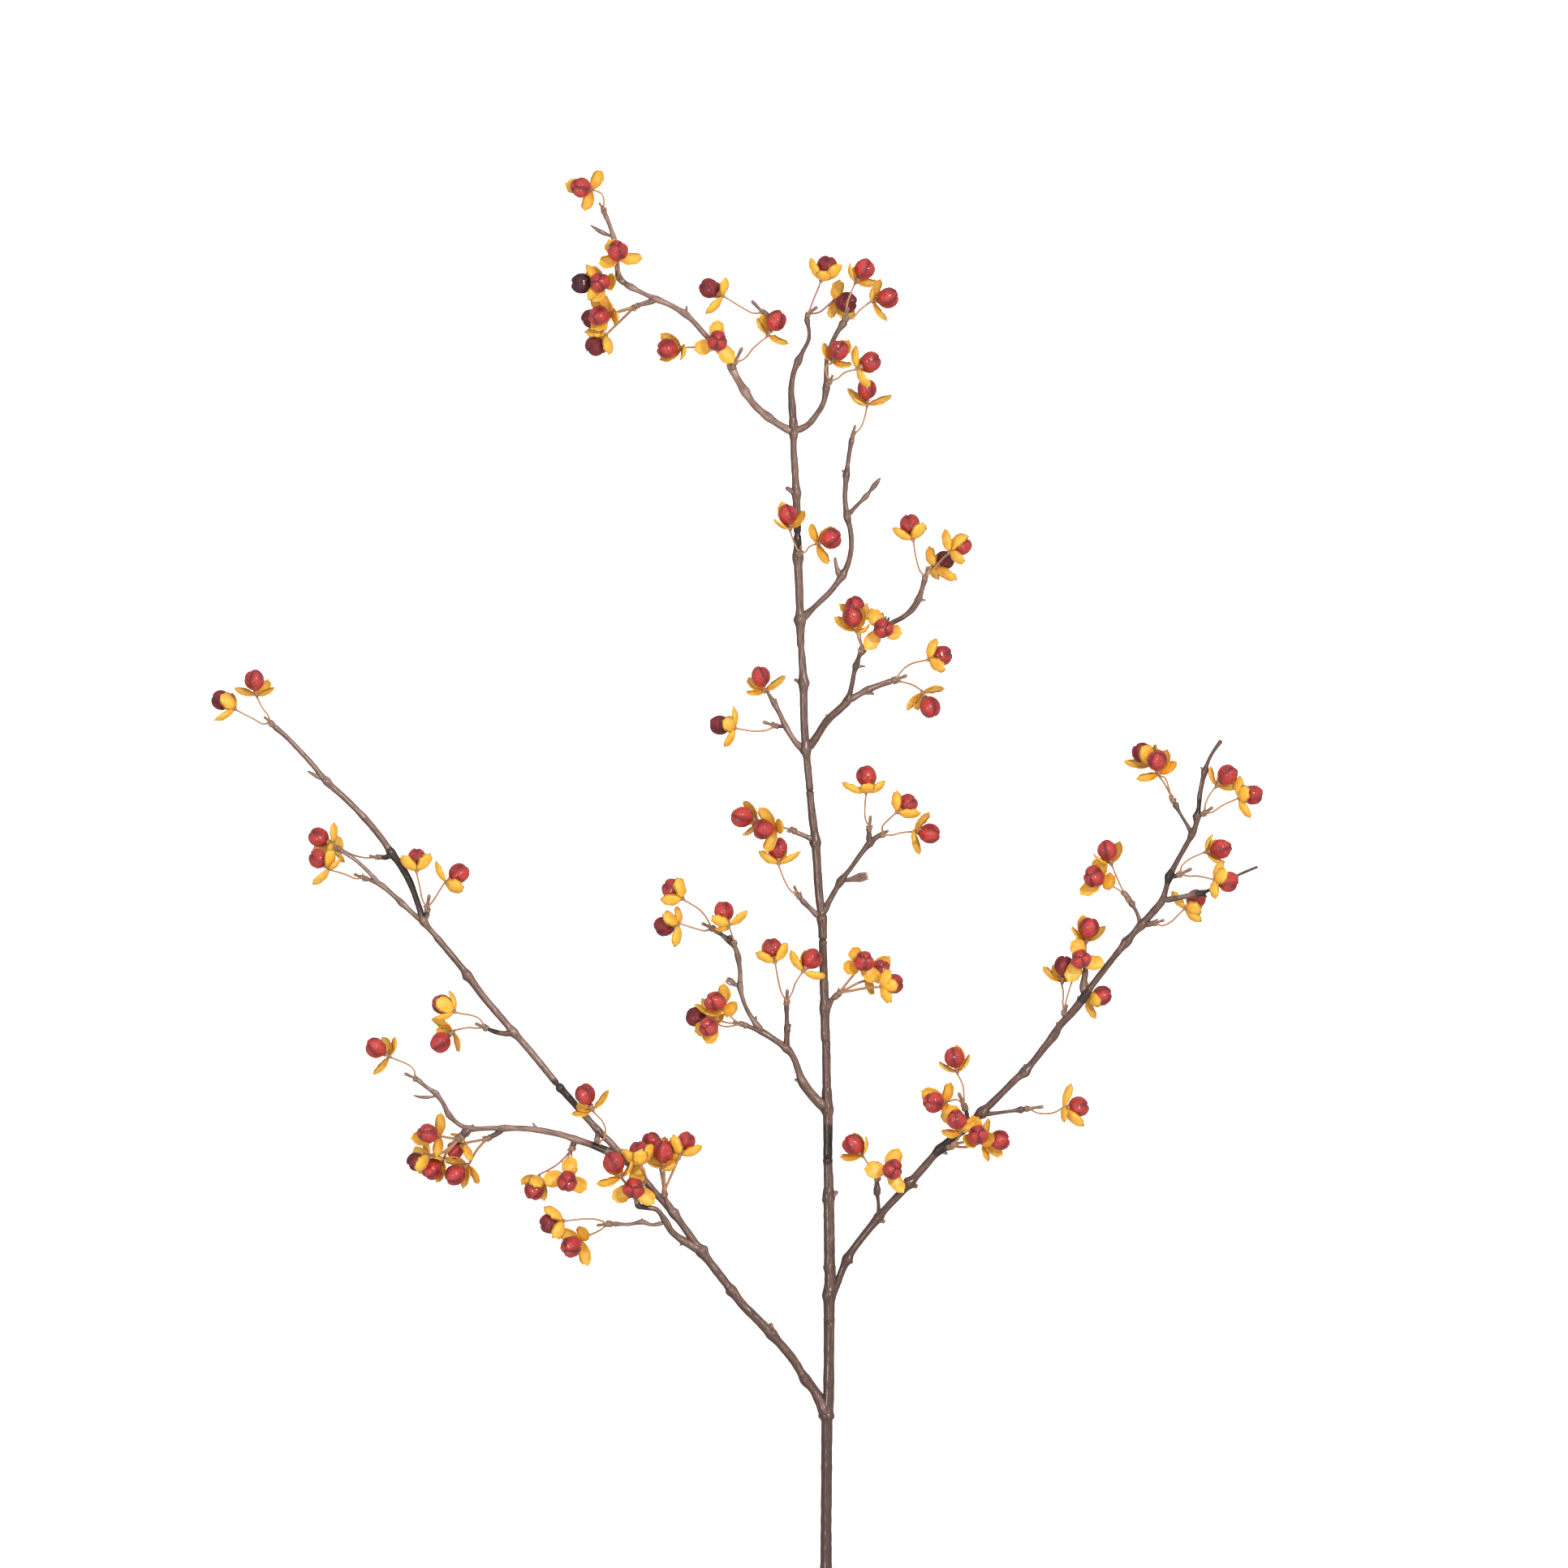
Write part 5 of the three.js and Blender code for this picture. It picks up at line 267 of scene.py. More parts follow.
bunches = {
    "crown_tip": bunchAt((-82.3, 453, 33), (-84, 457.5, 34.5), 1.7, (-85.8, 460, 36),
        headAt((-97, 469, 46, 6.5), (-92.5, 468.3, 1), (-84.2, 480, 1), (-107.3, 471.5, 1), (-95, 454.6, 1),
            (-82.8, 460.5), (-84.3, 465.5))),
    "crown_shoulder": bunchAt((-73.4, 413.8, 28.8), (-74.2, 414.6, 31.6), 2, None,
        headAt((-74, 430.5, 44, 6.6), (-74, 426.5, 1), (-58.8, 426, 1), (-86.3, 422.6, 1), (-80, 437.5, -1),
            (-73.4, 418.6, 33)),
        headAt((-85.5, 411, 39, 6.4), (-84.3, 410.3, 1), (-93, 420.5, 1), (-89.5, 399, 1), (-75.8, 412, 1),
            (-77.6, 412.2)),
        headAt((-97, 410.5, 28, 6.5), (-90, 410.6, -1), (-95, 422, 1), (-93.5, 400, 1), (-86, 411, -1),
            (-78, 411, 29), (-82.6, 409.6, 27.6))),
    "crown_low": bunchAt((-61.6, 397.2, 24.5), (-65.4, 395.2, 23.4), 1.9, None,
        headAt((-86, 390.5, 32.6, 6.6), (-80.8, 391.4, 1), (-86.8, 404.5, 1), (-75, 388.5, 1),
            (-91, 382.5, 1), (-70, 394.6)),
        headAt((-91, 389, 19.5, 6), (-84.6, 390.6, 1), (-92, 400.5, -1), (-79, 397, -1), (-84.5, 379.5, 1),
            (-70.5, 394, 21.5), (-76, 392.6, 19.5)),
        headAt((-88.4, 372.4, 8.5, 6.4), (-83.6, 377.2, -1), (-95.3, 380.5, 1), (-80.8, 366.3, 1),
            (-86, 369, -1), (-71, 389.4, 18.5), (-76.6, 384.2, 12.5))),
    "crown_inner": bunchAt((-3.6, 357.6, 41.4), (-1.6, 362.6, 43), 1.9, (2.4, 370.6, 44.5),
        headAt((-44, 370, 46, 6.4), (-37.6, 370.3, 1), (-48.6, 379, -1), (-49, 363, -1), (-35.6, 365.4, 1),
            (-7, 366.4, 40.6), (-20, 370.4, 40.6), (-28, 370.9)),
        headAt((-13, 374.2, 54, 6.6), (-13.4, 373.6, 1), (-12.8, 387.8, 1), (-27.6, 369, 1), (-3, 360.8, 1),
            (-5.5, 367.6, 41), (-10.6, 371.6, 41)),
        headAt((23.4, 387, 54, 6.5), (19.4, 380.4, 1), (11.6, 389, 1), (31.6, 373.2, 1), (14.6, 391.4, -1),
            (4, 364, 44.5), (9.6, 370.6, 48))),
    "crown_hook": bunchAt((17.4, 390.8, 43), (14, 393, 42.5), 1.9, (8, 399.6, 42),
        headAt((-18, 407.4, 45, 6.3), (-11.8, 403.6, -1), (-9, 414, 1), (-20.6, 391.5, 1), (-17, 409, -1),
            (9.6, 391.6), (4, 394))),
    "crown_high": bunchAt((42.4, 389, 54), (43.2, 392, 54.2), 1.9, (48.6, 395.4, 55),
        headAt((54.4, 420.6, 56, 6.5), (51.8, 413.8, -1), (44.6, 425.8, 1), (54, 417.4, 1),
            (63.6, 421.8, 1), (46, 399.4), (49.4, 407.6)),
        headAt((66.6, 398.2, 37, 6.7), (61.4, 399.4, 1), (62.6, 412.8, 1), (57.4, 388.4, -1),
            (71.4, 388.4, -1), (47.6, 391.6, 48), (51.6, 393.6, 38.4))),
    "crown_right": bunchAt((65.5, 387, 52.2), (66.4, 390, 52.6), 2.3, (67.6, 395, 53.5),
        headAt((77.6, 418.8, 58, 6.3), (73.6, 412.6, 1), (69.4, 422.4, 1), (86.8, 411, 1), (74, 420, -1),
            (66.8, 397), (69.6, 405)),
        headAt((92, 401, 56, 6.6), (85, 399.4, 1), (88, 412.8, 1), (83.6, 405.6, 1), (92.4, 386.6, 1),
            (70.6, 389), (74.6, 393.4))),
    "crown_elbow": bunchAt((54.6, 347.4, 51), (56.6, 350.4, 52.4), 1.9, (58.2, 353.6, 53.6),
        headAt((62, 368.8, 61, 6.3), (58.8, 363.6, 1), (52.6, 373.4, 1), (70, 360, 1), (68.4, 375, -1),
            (54.4, 353), (53.8, 358.6, 54)),
        headAt((81.6, 361.6, 54, 6.4), (75.2, 358.4, -1), (72.6, 371.6, 1), (81.4, 346.2, 1),
            (83.6, 362, -1), (61, 351.4), (65.4, 355))),
    "upper_right": bunchAt((70, 315, 42.9), (70.8, 318, 43), 1.5, (72, 323, 43.4),
        headAt((79, 345.4, 40, 6.4), (79, 338, 1), (67.2, 346, -1), (71, 340.2, 1), (94.8, 342, 1),
            (75, 321), (77.6, 327.6))),
    "upper_stem": bunchAt((37.4, 242.4, 46.4), (38, 245.4, 47.6), 2, (38.6, 248.6, 49),
        headAt((30.5, 268, 57, 6.1), (31.4, 261.4, 1), (22.6, 265.2, 1), (40.6, 270.6, 1),
            (26.4, 276.4, -1), (35.6, 247.4, 49.4), (33.4, 252.4)),
        headAt((57, 253, 51, 6.6), (50.8, 250.8, 1), (45, 262.8, 1), (55.6, 237.4, 1), (60, 259.8, -1),
            (41, 244.6), (43.6, 248))),
    "fork_up": bunchAt((75.3, 183, 42.3), (76.2, 187, 42.8), 2, None,
        headAt((72, 211.8, 38, 6.2), (74.4, 205, 1), (77.6, 213.4, 1), (62, 213.6, -1), (82, 211, -1),
            (75, 192), (74.8, 197.6)),
        headAt((70, 205.2, 54, 6.3), (72, 198.4, 1), (59, 205.2, 1), (79, 200, 1), (76.6, 211, -1),
            (73.6, 191.6)),
        headAt((89.2, 197.8, 54, 6.5), (88, 197.4, 1), (82, 209.8, 1), (78, 184.2, 1), (101, 194.4, 1),
            (79, 190, 40.6), (84.4, 195.4, 40.4))),
    "fork_tip": bunchAt((114.6, 227.5, 43.2), (115.2, 230.6, 43.8), 2.1, (116.4, 236, 44.6),
        headAt((105.6, 262, 50, 6.3), (106.9, 254.8, -1), (94.6, 260.4, 1), (113.4, 263.2, 1),
            (104, 264, -1), (111.4, 233.6), (108.8, 243)),
        headAt((127, 239.8, 30.5, 6.2), (122.4, 236.6, -1), (117.6, 248.8, 1), (135, 228, 1),
            (121, 229.8, -1), (118, 232.4, 41.6)),
        headAt((137, 248.8, 58, 6.4), (131.8, 245.4, -1), (127.4, 259.2, 1), (139.6, 239.2, 1),
            (140, 252, -1), (119.4, 233.4, 46), (124, 239, 50))),
    "fork_low": bunchAt((95, 165.5, 35.1), (97.6, 166.4, 35), 2.2, (104, 168.8, 35.6),
        headAt((125.4, 180.8, 39, 6.4), (119.2, 179.2, -1), (122, 191.4, 1), (128, 172.8, 1),
            (125, 184, -1), (100.6, 171.8), (106.4, 176)),
        headAt((117.6, 149, 30, 6.6), (114.4, 156, 1), (127.4, 160.4, 1), (103.8, 146.8, 1), (111, 147, -1),
            (102, 164.6), (107.4, 163))),
    "fork_left": bunchAt((18, 159, 31.5), (17, 160.8, 31.6), 1.2, None,
        headAt((13.6, 168.6, 38, 6.3), (15.2, 162, 1), (29, 169.6, 1), (5, 158.6, 1), (5.8, 168.4, -1))),
    "fork_left_far": bunchAt((24.3, 137.6, 34), (21.6, 138, 33.8), 1.9, (14.8, 140.2, 34),
        headAt((-12, 138.6, 33, 6.2), (-4.8, 137, -1), (-10.4, 141, 1), (-3.8, 150, 1), (-9.6, 124.8, -1),
            (17.6, 135.2), (9, 134.6))),
    "middle_left": bunchAt((35, 72.5, 36.4), (31.4, 74.2, 37.2), 2.1, None,
        headAt((1.7, 82, 39, 6.7), (9, 80.2, 1), (2.4, 91.8, -1), (2.2, 70.8, 1), (4.4, 84, -1),
            (26, 75.8, 36.4), (19, 78)),
        headAt((14.8, 74.3, 52, 6.6), (20.4, 75.4, 1), (26.4, 76, 1), (12.2, 87.4, 1), (16.6, 59.6, 1))),
    "middle_left_low": bunchAt((37.8, 32, 33.4), (36, 34.8, 33.8), 2.1, (34.2, 39.6, 34.6),
        headAt((24, 63, 34, 6.6), (24.6, 55.4, -1), (38.2, 61.2, 1), (12.6, 61.4, 1), (24, 64, -1),
            (32, 36.4), (28.4, 42.4))),
    "middle_right_up": bunchAt((80.3, 73, 38.2), (80.6, 76, 38.8), 1.8, (81.2, 82.6, 40),
        headAt((78.6, 107, 46, 6.7), (78.5, 99.4, -1), (63.4, 103.8, 1), (90.2, 104.2, 1), (80, 103.4, 1),
            (78, 81), (77.8, 88.6))),
    "middle_right": bunchAt((87.5, 70.5, 37.8), (89.8, 71.4, 38.2), 1.9, (92.4, 73.4, 39),
        headAt((104.4, 90.2, 44, 5.8), (99.4, 86.2, -1), (98, 98.2, 1), (112.4, 84.4, 1), (105, 93, -1),
            (88.4, 75.4), (91.6, 79.4)),
        headAt((117.8, 71.4, 47, 6.5), (110.8, 72.2, 1), (118.6, 84.6, 1), (112, 58.2, 1), (109.4, 67, 1),
            (94, 70.4), (100, 72))),
    "lower_right": bunchAt((59, -29.5, 29.8), (63.4, -25.4, 30.8), 2.3, None,
        headAt((77.3, -7, 49, 6.5), (75.6, -9.4, 1), (70.4, 1.8, 1), (64.4, -11.4, 1), (87, -18.4, 1),
            (66.4, -21), (70, -16.6)),
        headAt((87.6, -11.6, 33, 5.8), (82.6, -16, 1), (93.6, -4, -1), (94, -15.8, -1), (82, -27.6, 1),
            (68, -23.6, 31), (73.6, -20.6, 31)),
        headAt((95.6, -21, 46, 6.3), (89.6, -22.2, -1), (94.4, -12.4, 1), (94.6, -32.2, 1), (98.6, -21, 1),
            (69, -25.4), (76, -24))),
    "inner_up": bunchAt((29.7, -34, 33.6), (29.8, -31, 34), 1.9, (30, -24.4, 34.8),
        headAt((20.8, 1.2, 42, 6.3), (22, -5.2, -1), (10.4, -0.8, 1), (29.6, 5.2, 1), (20, 5, -1),
            (26.4, -26.4), (24.6, -19.4)),
        headAt((45.4, -5.4, 45, 6.4), (41.2, -11.2, -1), (32.4, 0, 1), (54, -15.8, 1), (45, -2, -1),
            (33, -26.4), (35, -20.6))),
    "inner_low": bunchAt((5.5, -47, 29.4), (0, -45.2, 30), 1.9, (-3.6, -44.4, 30.6),
        headAt((-14.4, -31.8, 46, 6.6), (-11, -35, 1), (-9.2, -20.4, 1), (-0.8, -36, 1), (-20.6, -38.4, 1),
            (-3, -43, 32)),
        headAt((-26.6, -42, 31, 6.4), (-19.4, -42.6, -1), (-23, -30, 1), (-22, -54, -1), (-27.6, -34, -1),
            (-6, -45.2, 30.6)),
        headAt((-18.5, -47.5, 46, 6.2), (-15.4, -46.4, 1), (-20, -58, 1), (-12.4, -38.4, -1),
            (-27.4, -50.6, 1), (-3.4, -47, 30), (-8.6, -47.4, 31))),
    "inner_stem": bunchAt((-2.2, 3, 37), (-3, 6, 38.2), 1.6, None,
        headAt((-9, 23.8, 46, 6.4), (-6.8, 17.4, -1), (-16.4, 21.6, 1), (5.4, 24.4, 1), (-13.6, 13.6, -1))),
    "inner_far": bunchAt((-14.7, 12.3, 36.5), (-17.4, 13.6, 37), 2, (-22.8, 16.4, 37.6),
        headAt((-41, 37.4, 44, 6.5), (-36, 33, -1), (-38.4, 44.6, 1), (-48.2, 31.4, 1), (-42, 39, -1),
            (-19.6, 19.4), (-24.4, 25)),
        headAt((-46, 14.5, 32, 6.4), (-39.6, 15.4, -1), (-47.2, 21.6, 1), (-38, 26.4, -1), (-39.8, 1.6, 1),
            (-20.4, 11.6), (-26, 12.8))),
    "left_tip": bunchAt((-286, 138, 49.8), (-288.6, 140.6, 50.2), 1.9, (-292, 143.6, 51),
        headAt((-318, 153.8, 50, 6.3), (-311.8, 149.6, -1), (-318.6, 157.4, 1), (-323, 141.6, -1),
            (-314, 157, -1), (-292.6, 139, 49.6), (-298.6, 142.2)),
        headAt((-297.6, 166, 54, 6.4), (-296.6, 159.2, 1), (-310.2, 161.6, 1), (-285.4, 161.6, 1),
            (-289.6, 167, -1), (-289.4, 144.4), (-292.6, 148.4))),
    "left_upper": bunchAt((-191.6, 23.6, 39.3), (-191.8, 26.6, 39.8), 1.9, (-190.4, 34, 41),
        headAt((-198, 57, 47, 5.7), (-197.9, 51, -1), (-207, 58.8, 1), (-189.6, 60, 1), (-198, 59, -1),
            (-194.6, 31), (-196, 38.6)),
        headAt((-172, 47, 46, 6.5), (-177.8, 43, -1), (-185.4, 55.4, 1), (-168.2, 38.6, 1),
            (-171.4, 36.2, -1), (-188.4, 29.4), (-185, 34.6))),
    "left_black": bunchAt((-219.8, 57, 42), (-223, 57, 42), 1.7, (-227.4, 58, 42.4),
        headAt((-259, 69, 31, 6.4), (-252.4, 66.4, -1), (-249.6, 78.6, 1), (-254.6, 56.4, 1),
            (-260, 62, -1), (-228, 56.4, 39.6), (-236, 57.8, 33), (-242, 60.5, 31.5))),
    "left_low_tip": bunchAt((-245.5, 61.5, 39.8), (-248, 63, 40), 1.6, None,
        headAt((-255, 61.6, 15, 5.8), (-250.4, 60.4, -1), (-246.6, 69.4, -1), (-245.2, 53.6, 1),
            (-264, 60, -1), (-249.4, 62.2, 30))),
    "left_low": bunchAt((-228.5, 43.4, 35.1), (-232, 44.6, 35.2), 1.8, (-237, 46.6, 35.6),
        headAt((-258.6, 56, 46, 6.1), (-253.4, 51.6, -1), (-262.4, 40.4, 1), (-251.6, 62.2, 1),
            (-245.8, 57.6, 1), (-236, 43.8), (-242, 46.4))),
    "left_twig": bunchAt((-154.6, -48.8, 33), (-157.4, -47.4, 33), 1.9, (-162.4, -45.4, 33.4),
        headAt((-183, -33.4, 37, 6.3), (-177, -36.8, -1), (-186.4, -30.2, 1), (-178.8, -25.4, -1),
            (-188, -42.4, -1), (-158.6, -43.6), (-163, -40.8)),
        headAt((-184, -57.4, 29, 6.5), (-178, -52.4, 1), (-189.4, -43, 1), (-172.8, -63.4, 1),
            (-187, -52, -1), (-161, -48.4), (-167, -48.2))),
    "left_arm_tip": bunchAt((-198.2, -80.2, 28), (-200, -79, 28.2), 1.8, (-206, -76.2, 29),
        headAt((-223.6, -60.4, 32, 6.5), (-217.4, -64.4, 1), (-212.4, -53.2, 1), (-226, -76.8, 1),
            (-220.4, -54, -1), (-199.6, -75), (-203.4, -71))),
    "left_arm_end": bunchAt((-170, -114.5, 21.6), (-173.6, -117.6, 21), 2.5, (-177.4, -119.6, 20.6),
        headAt((-191.6, -113.4, 26, 6.4), (-186.4, -114.6, 1), (-184, -100.4, 1), (-202.6, -116.6, 1),
            (-187, -128, 1), (-177, -116.4)),
        headAt((-199, -131, 19, 5.8), (-193.4, -128.4, 1), (-200.4, -134.6, 1), (-195.6, -118.4, -1),
            (-202, -126, -1), (-177.6, -121.4), (-182.6, -125.4)),
        headAt((-189.4, -136.6, 6.1, 6.2), (-184.4, -131.6, 1), (-187, -144.4, 1), (-191, -129, 1),
            (-198, -138.6, 1), (-177.4, -122.4, 19.5), (-180.8, -126.4, 14.5))),
    "left_arm_twig": bunchAt((-153, -115.6, 22.4), (-156, -117.2, 22), 2.1, None,
        headAt((-175, -124.8, 9, 5), (-170.6, -121.6, -1), (-166.4, -131, 1), (-178, -114.8, -1),
            (-179, -124, -1), (-161, -118)),
        headAt((-175.4, -139, 13, 6.5), (-169.4, -134.6, 1), (-160.8, -145.2, 1), (-171, -148.2, -1),
            (-182, -130.4, 1), (-158.6, -120.4), (-162, -124.6))),
    "left_arm_drop": bunchAt((-102.2, -121.2, 25.4), (-103.6, -124.2, 25), 2.1, (-105.6, -127.6, 25),
        headAt((-105.5, -142.5, 34, 6.7), (-105.2, -141.8, 1), (-103.2, -127, 1), (-120.8, -141.4, 1),
            (-93.4, -148, 1), (-103, -128, 19.4), (-104, -135, 17.6)),
        headAt((-126, -148.4, 24, 6.3), (-124, -142.4, 1), (-126, -147, 1), (-120.2, -155.8, 1),
            (-134.2, -145.6, -1), (-107, -128), (-113, -133.4))),
    "left_spur": bunchAt((-87, -116, 34), (-87, -118.6, 35), 1.8, None,
        headAt((-94.6, -89, 46, 6.4), (-91, -96.2, 1), (-80.2, -85.2, 1), (-103.4, -100.4, 1),
            (-99.4, -94, -1), (-83.4, -117.2), (-81.8, -112), (-83.6, -106))),
    "left_fork": bunchAt((-62.4, -156.2, 34.4), (-63.2, -152.8, 35), 2, None,
        headAt((-64.6, -146.6, 48, 6.9), (-64.2, -146.8, 1), (-60.6, -131.8, 1), (-78.2, -153.2, 1),
            (-51.2, -156.4, 1)),
        headAt((-77, -131, 50, 6.8), (-73.4, -137.6, 1), (-66, -129.2, 1), (-87.4, -143.8, 1),
            (-80, -128, -1), (-66.6, -149.4, 33.4), (-69, -144.4, 36)),
        headAt((-61, -123.6, 45, 6.2), (-60.4, -130.2, -1), (-71.8, -122.2, -1), (-60.8, -122.2, 1),
            (-53.4, -119, 1), (-60.6, -148.4, 33.2), (-57, -141, 33.8))),
    "left_knee": bunchAt((-45.4, -152, 30.2), (-46, -148.4, 31.4), 2.1, None,
        headAt((-32, -118, 40, 6), (-34.8, -124, -1), (-39.8, -113.4, 1), (-22, -120, 1), (-43, -126.6, -1),
            (-43.4, -143.4), (-40.6, -137)),
        headAt((-46, -123.4, 46, 6.7), (-46, -131.4, 1), (-40.2, -131.4, 1), (-56, -127.6, -1),
            (-38.4, -123, -1), (-45.6, -143)),
        headAt((-53.5, -118, 31, 6), (-51, -125.2, 1), (-62.6, -122, -1), (-45.6, -114.6, -1),
            (-52.4, -117, -1), (-46.8, -143, 30.6), (-48.2, -135, 30))),
    "left_fork_low": bunchAt((-78.3, -169.2, 23.2), (-82, -169.4, 22.8), 2.1, (-87.6, -170.2, 22.8),
        headAt((-116.5, -169, 22, 6.4), (-110.2, -167.8, -1), (-114.8, -177.6, 1), (-120.4, -158.8, 1),
            (-118, -168, -1), (-85.6, -166.9), (-93, -166)),
        headAt((-103.4, -183.4, 14, 6.7), (-99.4, -180.4, 1), (-94.6, -172.2, 1), (-93.6, -195.8, 1),
            (-112, -174.4, 1), (-84.6, -172.6, 20), (-88.6, -174.8, 15))),
    "right_low": bunchAt((85.3, -142.8, 27.2), (85.4, -139.8, 27.4), 1.8, None,
        headAt((95, -135, 42, 6.5), (92.6, -135.8, 1), (98.8, -122.2, 1), (77, -135, 1), (102, -149.8, 1),
            (87.4, -138, 28.4)),
        headAt((70, -120, 36, 6.4), (74.4, -125, 1), (77.6, -115, 1), (62.2, -127, 1), (70.6, -112.6, -1),
            (83.6, -137.4, 28.4))),
    "right_bend": bunchAt((128.6, -121.8, 31), (132.6, -120.4, 31.6), 2.3, None,
        headAt((147.4, -114, 46, 6.4), (147.2, -116.4, 1), (144, -101.8, 1), (138.8, -117.6, 1),
            (157, -116, 1), (136.8, -119)),
        headAt((161, -117.4, 36, 6.3), (153.8, -118.4, 1), (155.2, -103.2, 1), (154.6, -130.8, 1),
            (163, -126.4, -1), (137.4, -121.8, 30.6), (143, -121, 30.6)),
        headAt((134.4, -104.6, 50, 6.2), (136, -110, 1), (125, -112.2, 1), (130, -95, 1), (145, -105, -1),
            (134.6, -117.2, 35))),
    "right_back": bunchAt((139.9, -98.6, 33), (138.8, -95.4, 34), 2.2, (135.4, -88, 35),
        headAt((133, -66, 42, 6.3), (134.2, -72.6, 1), (123.2, -68.8, 1), (141.8, -64, 1), (134, -58.2, -1),
            (138.8, -90), (138.2, -83.6)),
        headAt((120, -93.6, 42, 6.7), (125.2, -93.8, 1), (112, -87, 1), (130.4, -81.4, 1), (128.6, -108, 1),
            (134.4, -92.4, 34))),
    "right_low_tip": bunchAt((176.6, -98.3, 26.1), (180, -97.6, 25.4), 1.9, (188, -96.8, 25),
        headAt((209.8, -97, 6.3, 6.4), (203.2, -97.8, -1), (205.8, -82.6, 1), (202.6, -105.4, 1),
            (213.4, -108.8, 1), (183.6, -100.6, 23.4), (189.6, -101.4, 17.4), (195, -100.6, 12))),
    "right_thumb": bunchAt((200.8, -40, 39.8), (200.2, -37, 40.6), 1.9, (202.6, -33.8, 42),
        headAt((200.5, -9.6, 37, 6.2), (199.6, -17.4, 1), (187.4, -10, 1), (208.4, -11, -1),
            (196, -7.4, -1), (199.6, -32.6), (200, -27)),
        headAt((210.6, -5.5, 55, 6.4), (210, -6.4, 1), (208.2, 7.2, 1), (202.6, -19.8, 1), (225.4, -8.4, 1),
            (201.8, -31), (204.6, -21.4, 40.4), (208, -12.4, 40.6))),
    "right_riser": bunchAt((213.6, -9.5, 35.4), (213.6, -6.4, 35), 1.7, None,
        headAt((216, 14, 43, 6.4), (214.6, 7.4, 1), (205.2, 14.4, 1), (226.2, 15.4, 1), (212, 21.6, -1),
            (213.8, -1.4))),
    "right_under": bunchAt((211.8, -31, 36.6), (211.8, -31.6, 34), 1.6, None,
        headAt((224, -28.2, 33, 6.4), (217, -30, 1), (223.6, -30.4, 1), (220.6, -42.6, 1),
            (215.8, -19.6, -1))),
    "right_upper": bunchAt((254.8, 16.3, 42.2), (257.6, 17, 41.6), 1.8, (262.2, 18.4, 41.2),
        headAt((282, 31, 31, 6.2), (277, 27, -1), (285.6, 26.4, 1), (285.4, 17.6, 1), (267, 36.6, -1),
            (260.4, 14.8), (266, 17))),
    "right_upper_twig": bunchAt((240.5, 30.2, 45.6), (236.4, 36, 46.4), 2, None,
        headAt((226.6, 61.6, 54, 6.3), (228.6, 55.4, 1), (234.4, 67.2, 1), (218.4, 59.6, 1), (226, 66, -1),
            (234.6, 40.4), (232.4, 45.6)),
        headAt((218.4, 45, 58, 6.9), (222, 44, 1), (220.6, 57, 1), (231, 40.6, 1), (209.8, 34, 1),
            (232.4, 37.8))),
    "right_thorn": bunchAt((269.8, 45.8, 49.7), (272.6, 47, 50.2), 2, (279, 50, 51),
        headAt((297, 62, 58, 6.3), (290, 60.6, 1), (292.8, 70.8, 1), (299.8, 54.2, 1), (298, 65, -1),
            (272.6, 51.6), (277.6, 56)),
        headAt((301, 42, 64, 6.5), (294.6, 43, -1), (301, 47.6, 1), (298, 55, -1), (293.6, 30.8, 1),
            (276.6, 45.4), (282.6, 45.4))),
    "right_far_twig": bunchAt((267.6, 91, 55), (265.6, 95.4, 55.6), 1.8, None,
        headAt((248, 121.4, 53, 6.4), (252.6, 115.4, 1), (236.8, 116.4, 1), (255.8, 127.2, 1),
            (247.6, 124.4, 1), (261.6, 102.8), (258.4, 107)),
        headAt((257, 116.6, 68, 6.4), (258, 110.4, 1), (243.8, 105.6, 1), (269.2, 115.8, 1),
            (263.4, 123.8, -1), (264, 101.4), (262, 106))),
    "right_far": bunchAt((284.9, 83.2, 54.9), (287.2, 84.6, 55.6), 1.8, (291.8, 87.8, 56.6),
        headAt((301, 108, 61, 6.2), (295.8, 102.6, 1), (290.4, 113.4, 1), (309.2, 101.4, 1), (303, 105, -1),
            (287, 89.4), (289.6, 95.4)),
        headAt((316.4, 95.4, 58, 6.5), (310, 93.8, -1), (314.4, 98.6, 1), (308.6, 107.2, -1),
            (315, 81.4, 1), (291.6, 84.8), (297, 88.6))),
}

# berries that have turned maroon: bunch, place in its list and how far
ripened = {"crown_shoulder": {2: 1}, "crown_low": {1: 0.9, 2: 0.85}, "crown_hook": {0: 0.75},
    "crown_high": {0: 0.5, 1: 0.9}, "fork_tip": {1: 0.9}, "fork_left_far": {0: 0.9}, "inner_low": {1: 0.9},
    "inner_far": {1: 0.7}, "left_tip": {0: 0.8}, "left_arm_end": {1: 0.9}, "left_fork_low": {0: 0.7},
    "right_thumb": {0: 0.7}, "right_far_twig": {0: 0.7}}

# stretches of bark that are nearly black: both ends and the half width
blackened = [((55, -112), (55, -128), 5), ((36.2, 250), (36.1, 262), 4), ((-99, -98), (-112, -83.5), 4.5),
    ((-194, 24), (-207, 51), 4), ((-208, 53), (-213, 60), 4), ((-214, 57), (-224, 57), 2.6),
    ((-150, -50.6), (-155, -48.5), 3), ((-58, -158.6), (-63, -155), 3), ((-84, -122), (-88, -121), 3.4),
    ((122.5, -124), (125, -122), 3.6), ((128, -119), (130, -117), 3), ((138, -112), (141, -110), 3.4),
    ((212, -30.5), (214, -27.5), 3.4), ((264.5, 43.5), (265.5, 46.5), 3.4), ((282.5, 86), (283.3, 90), 3),
    ((284, 34.6), (290, 37), 3.4), ((88, 200), (88.6, 207.5), 2.4), ((-4.5, 5), (-5.8, 9.5), 2.6),
    ((89.5, 199), (93, 205), 1.6)]

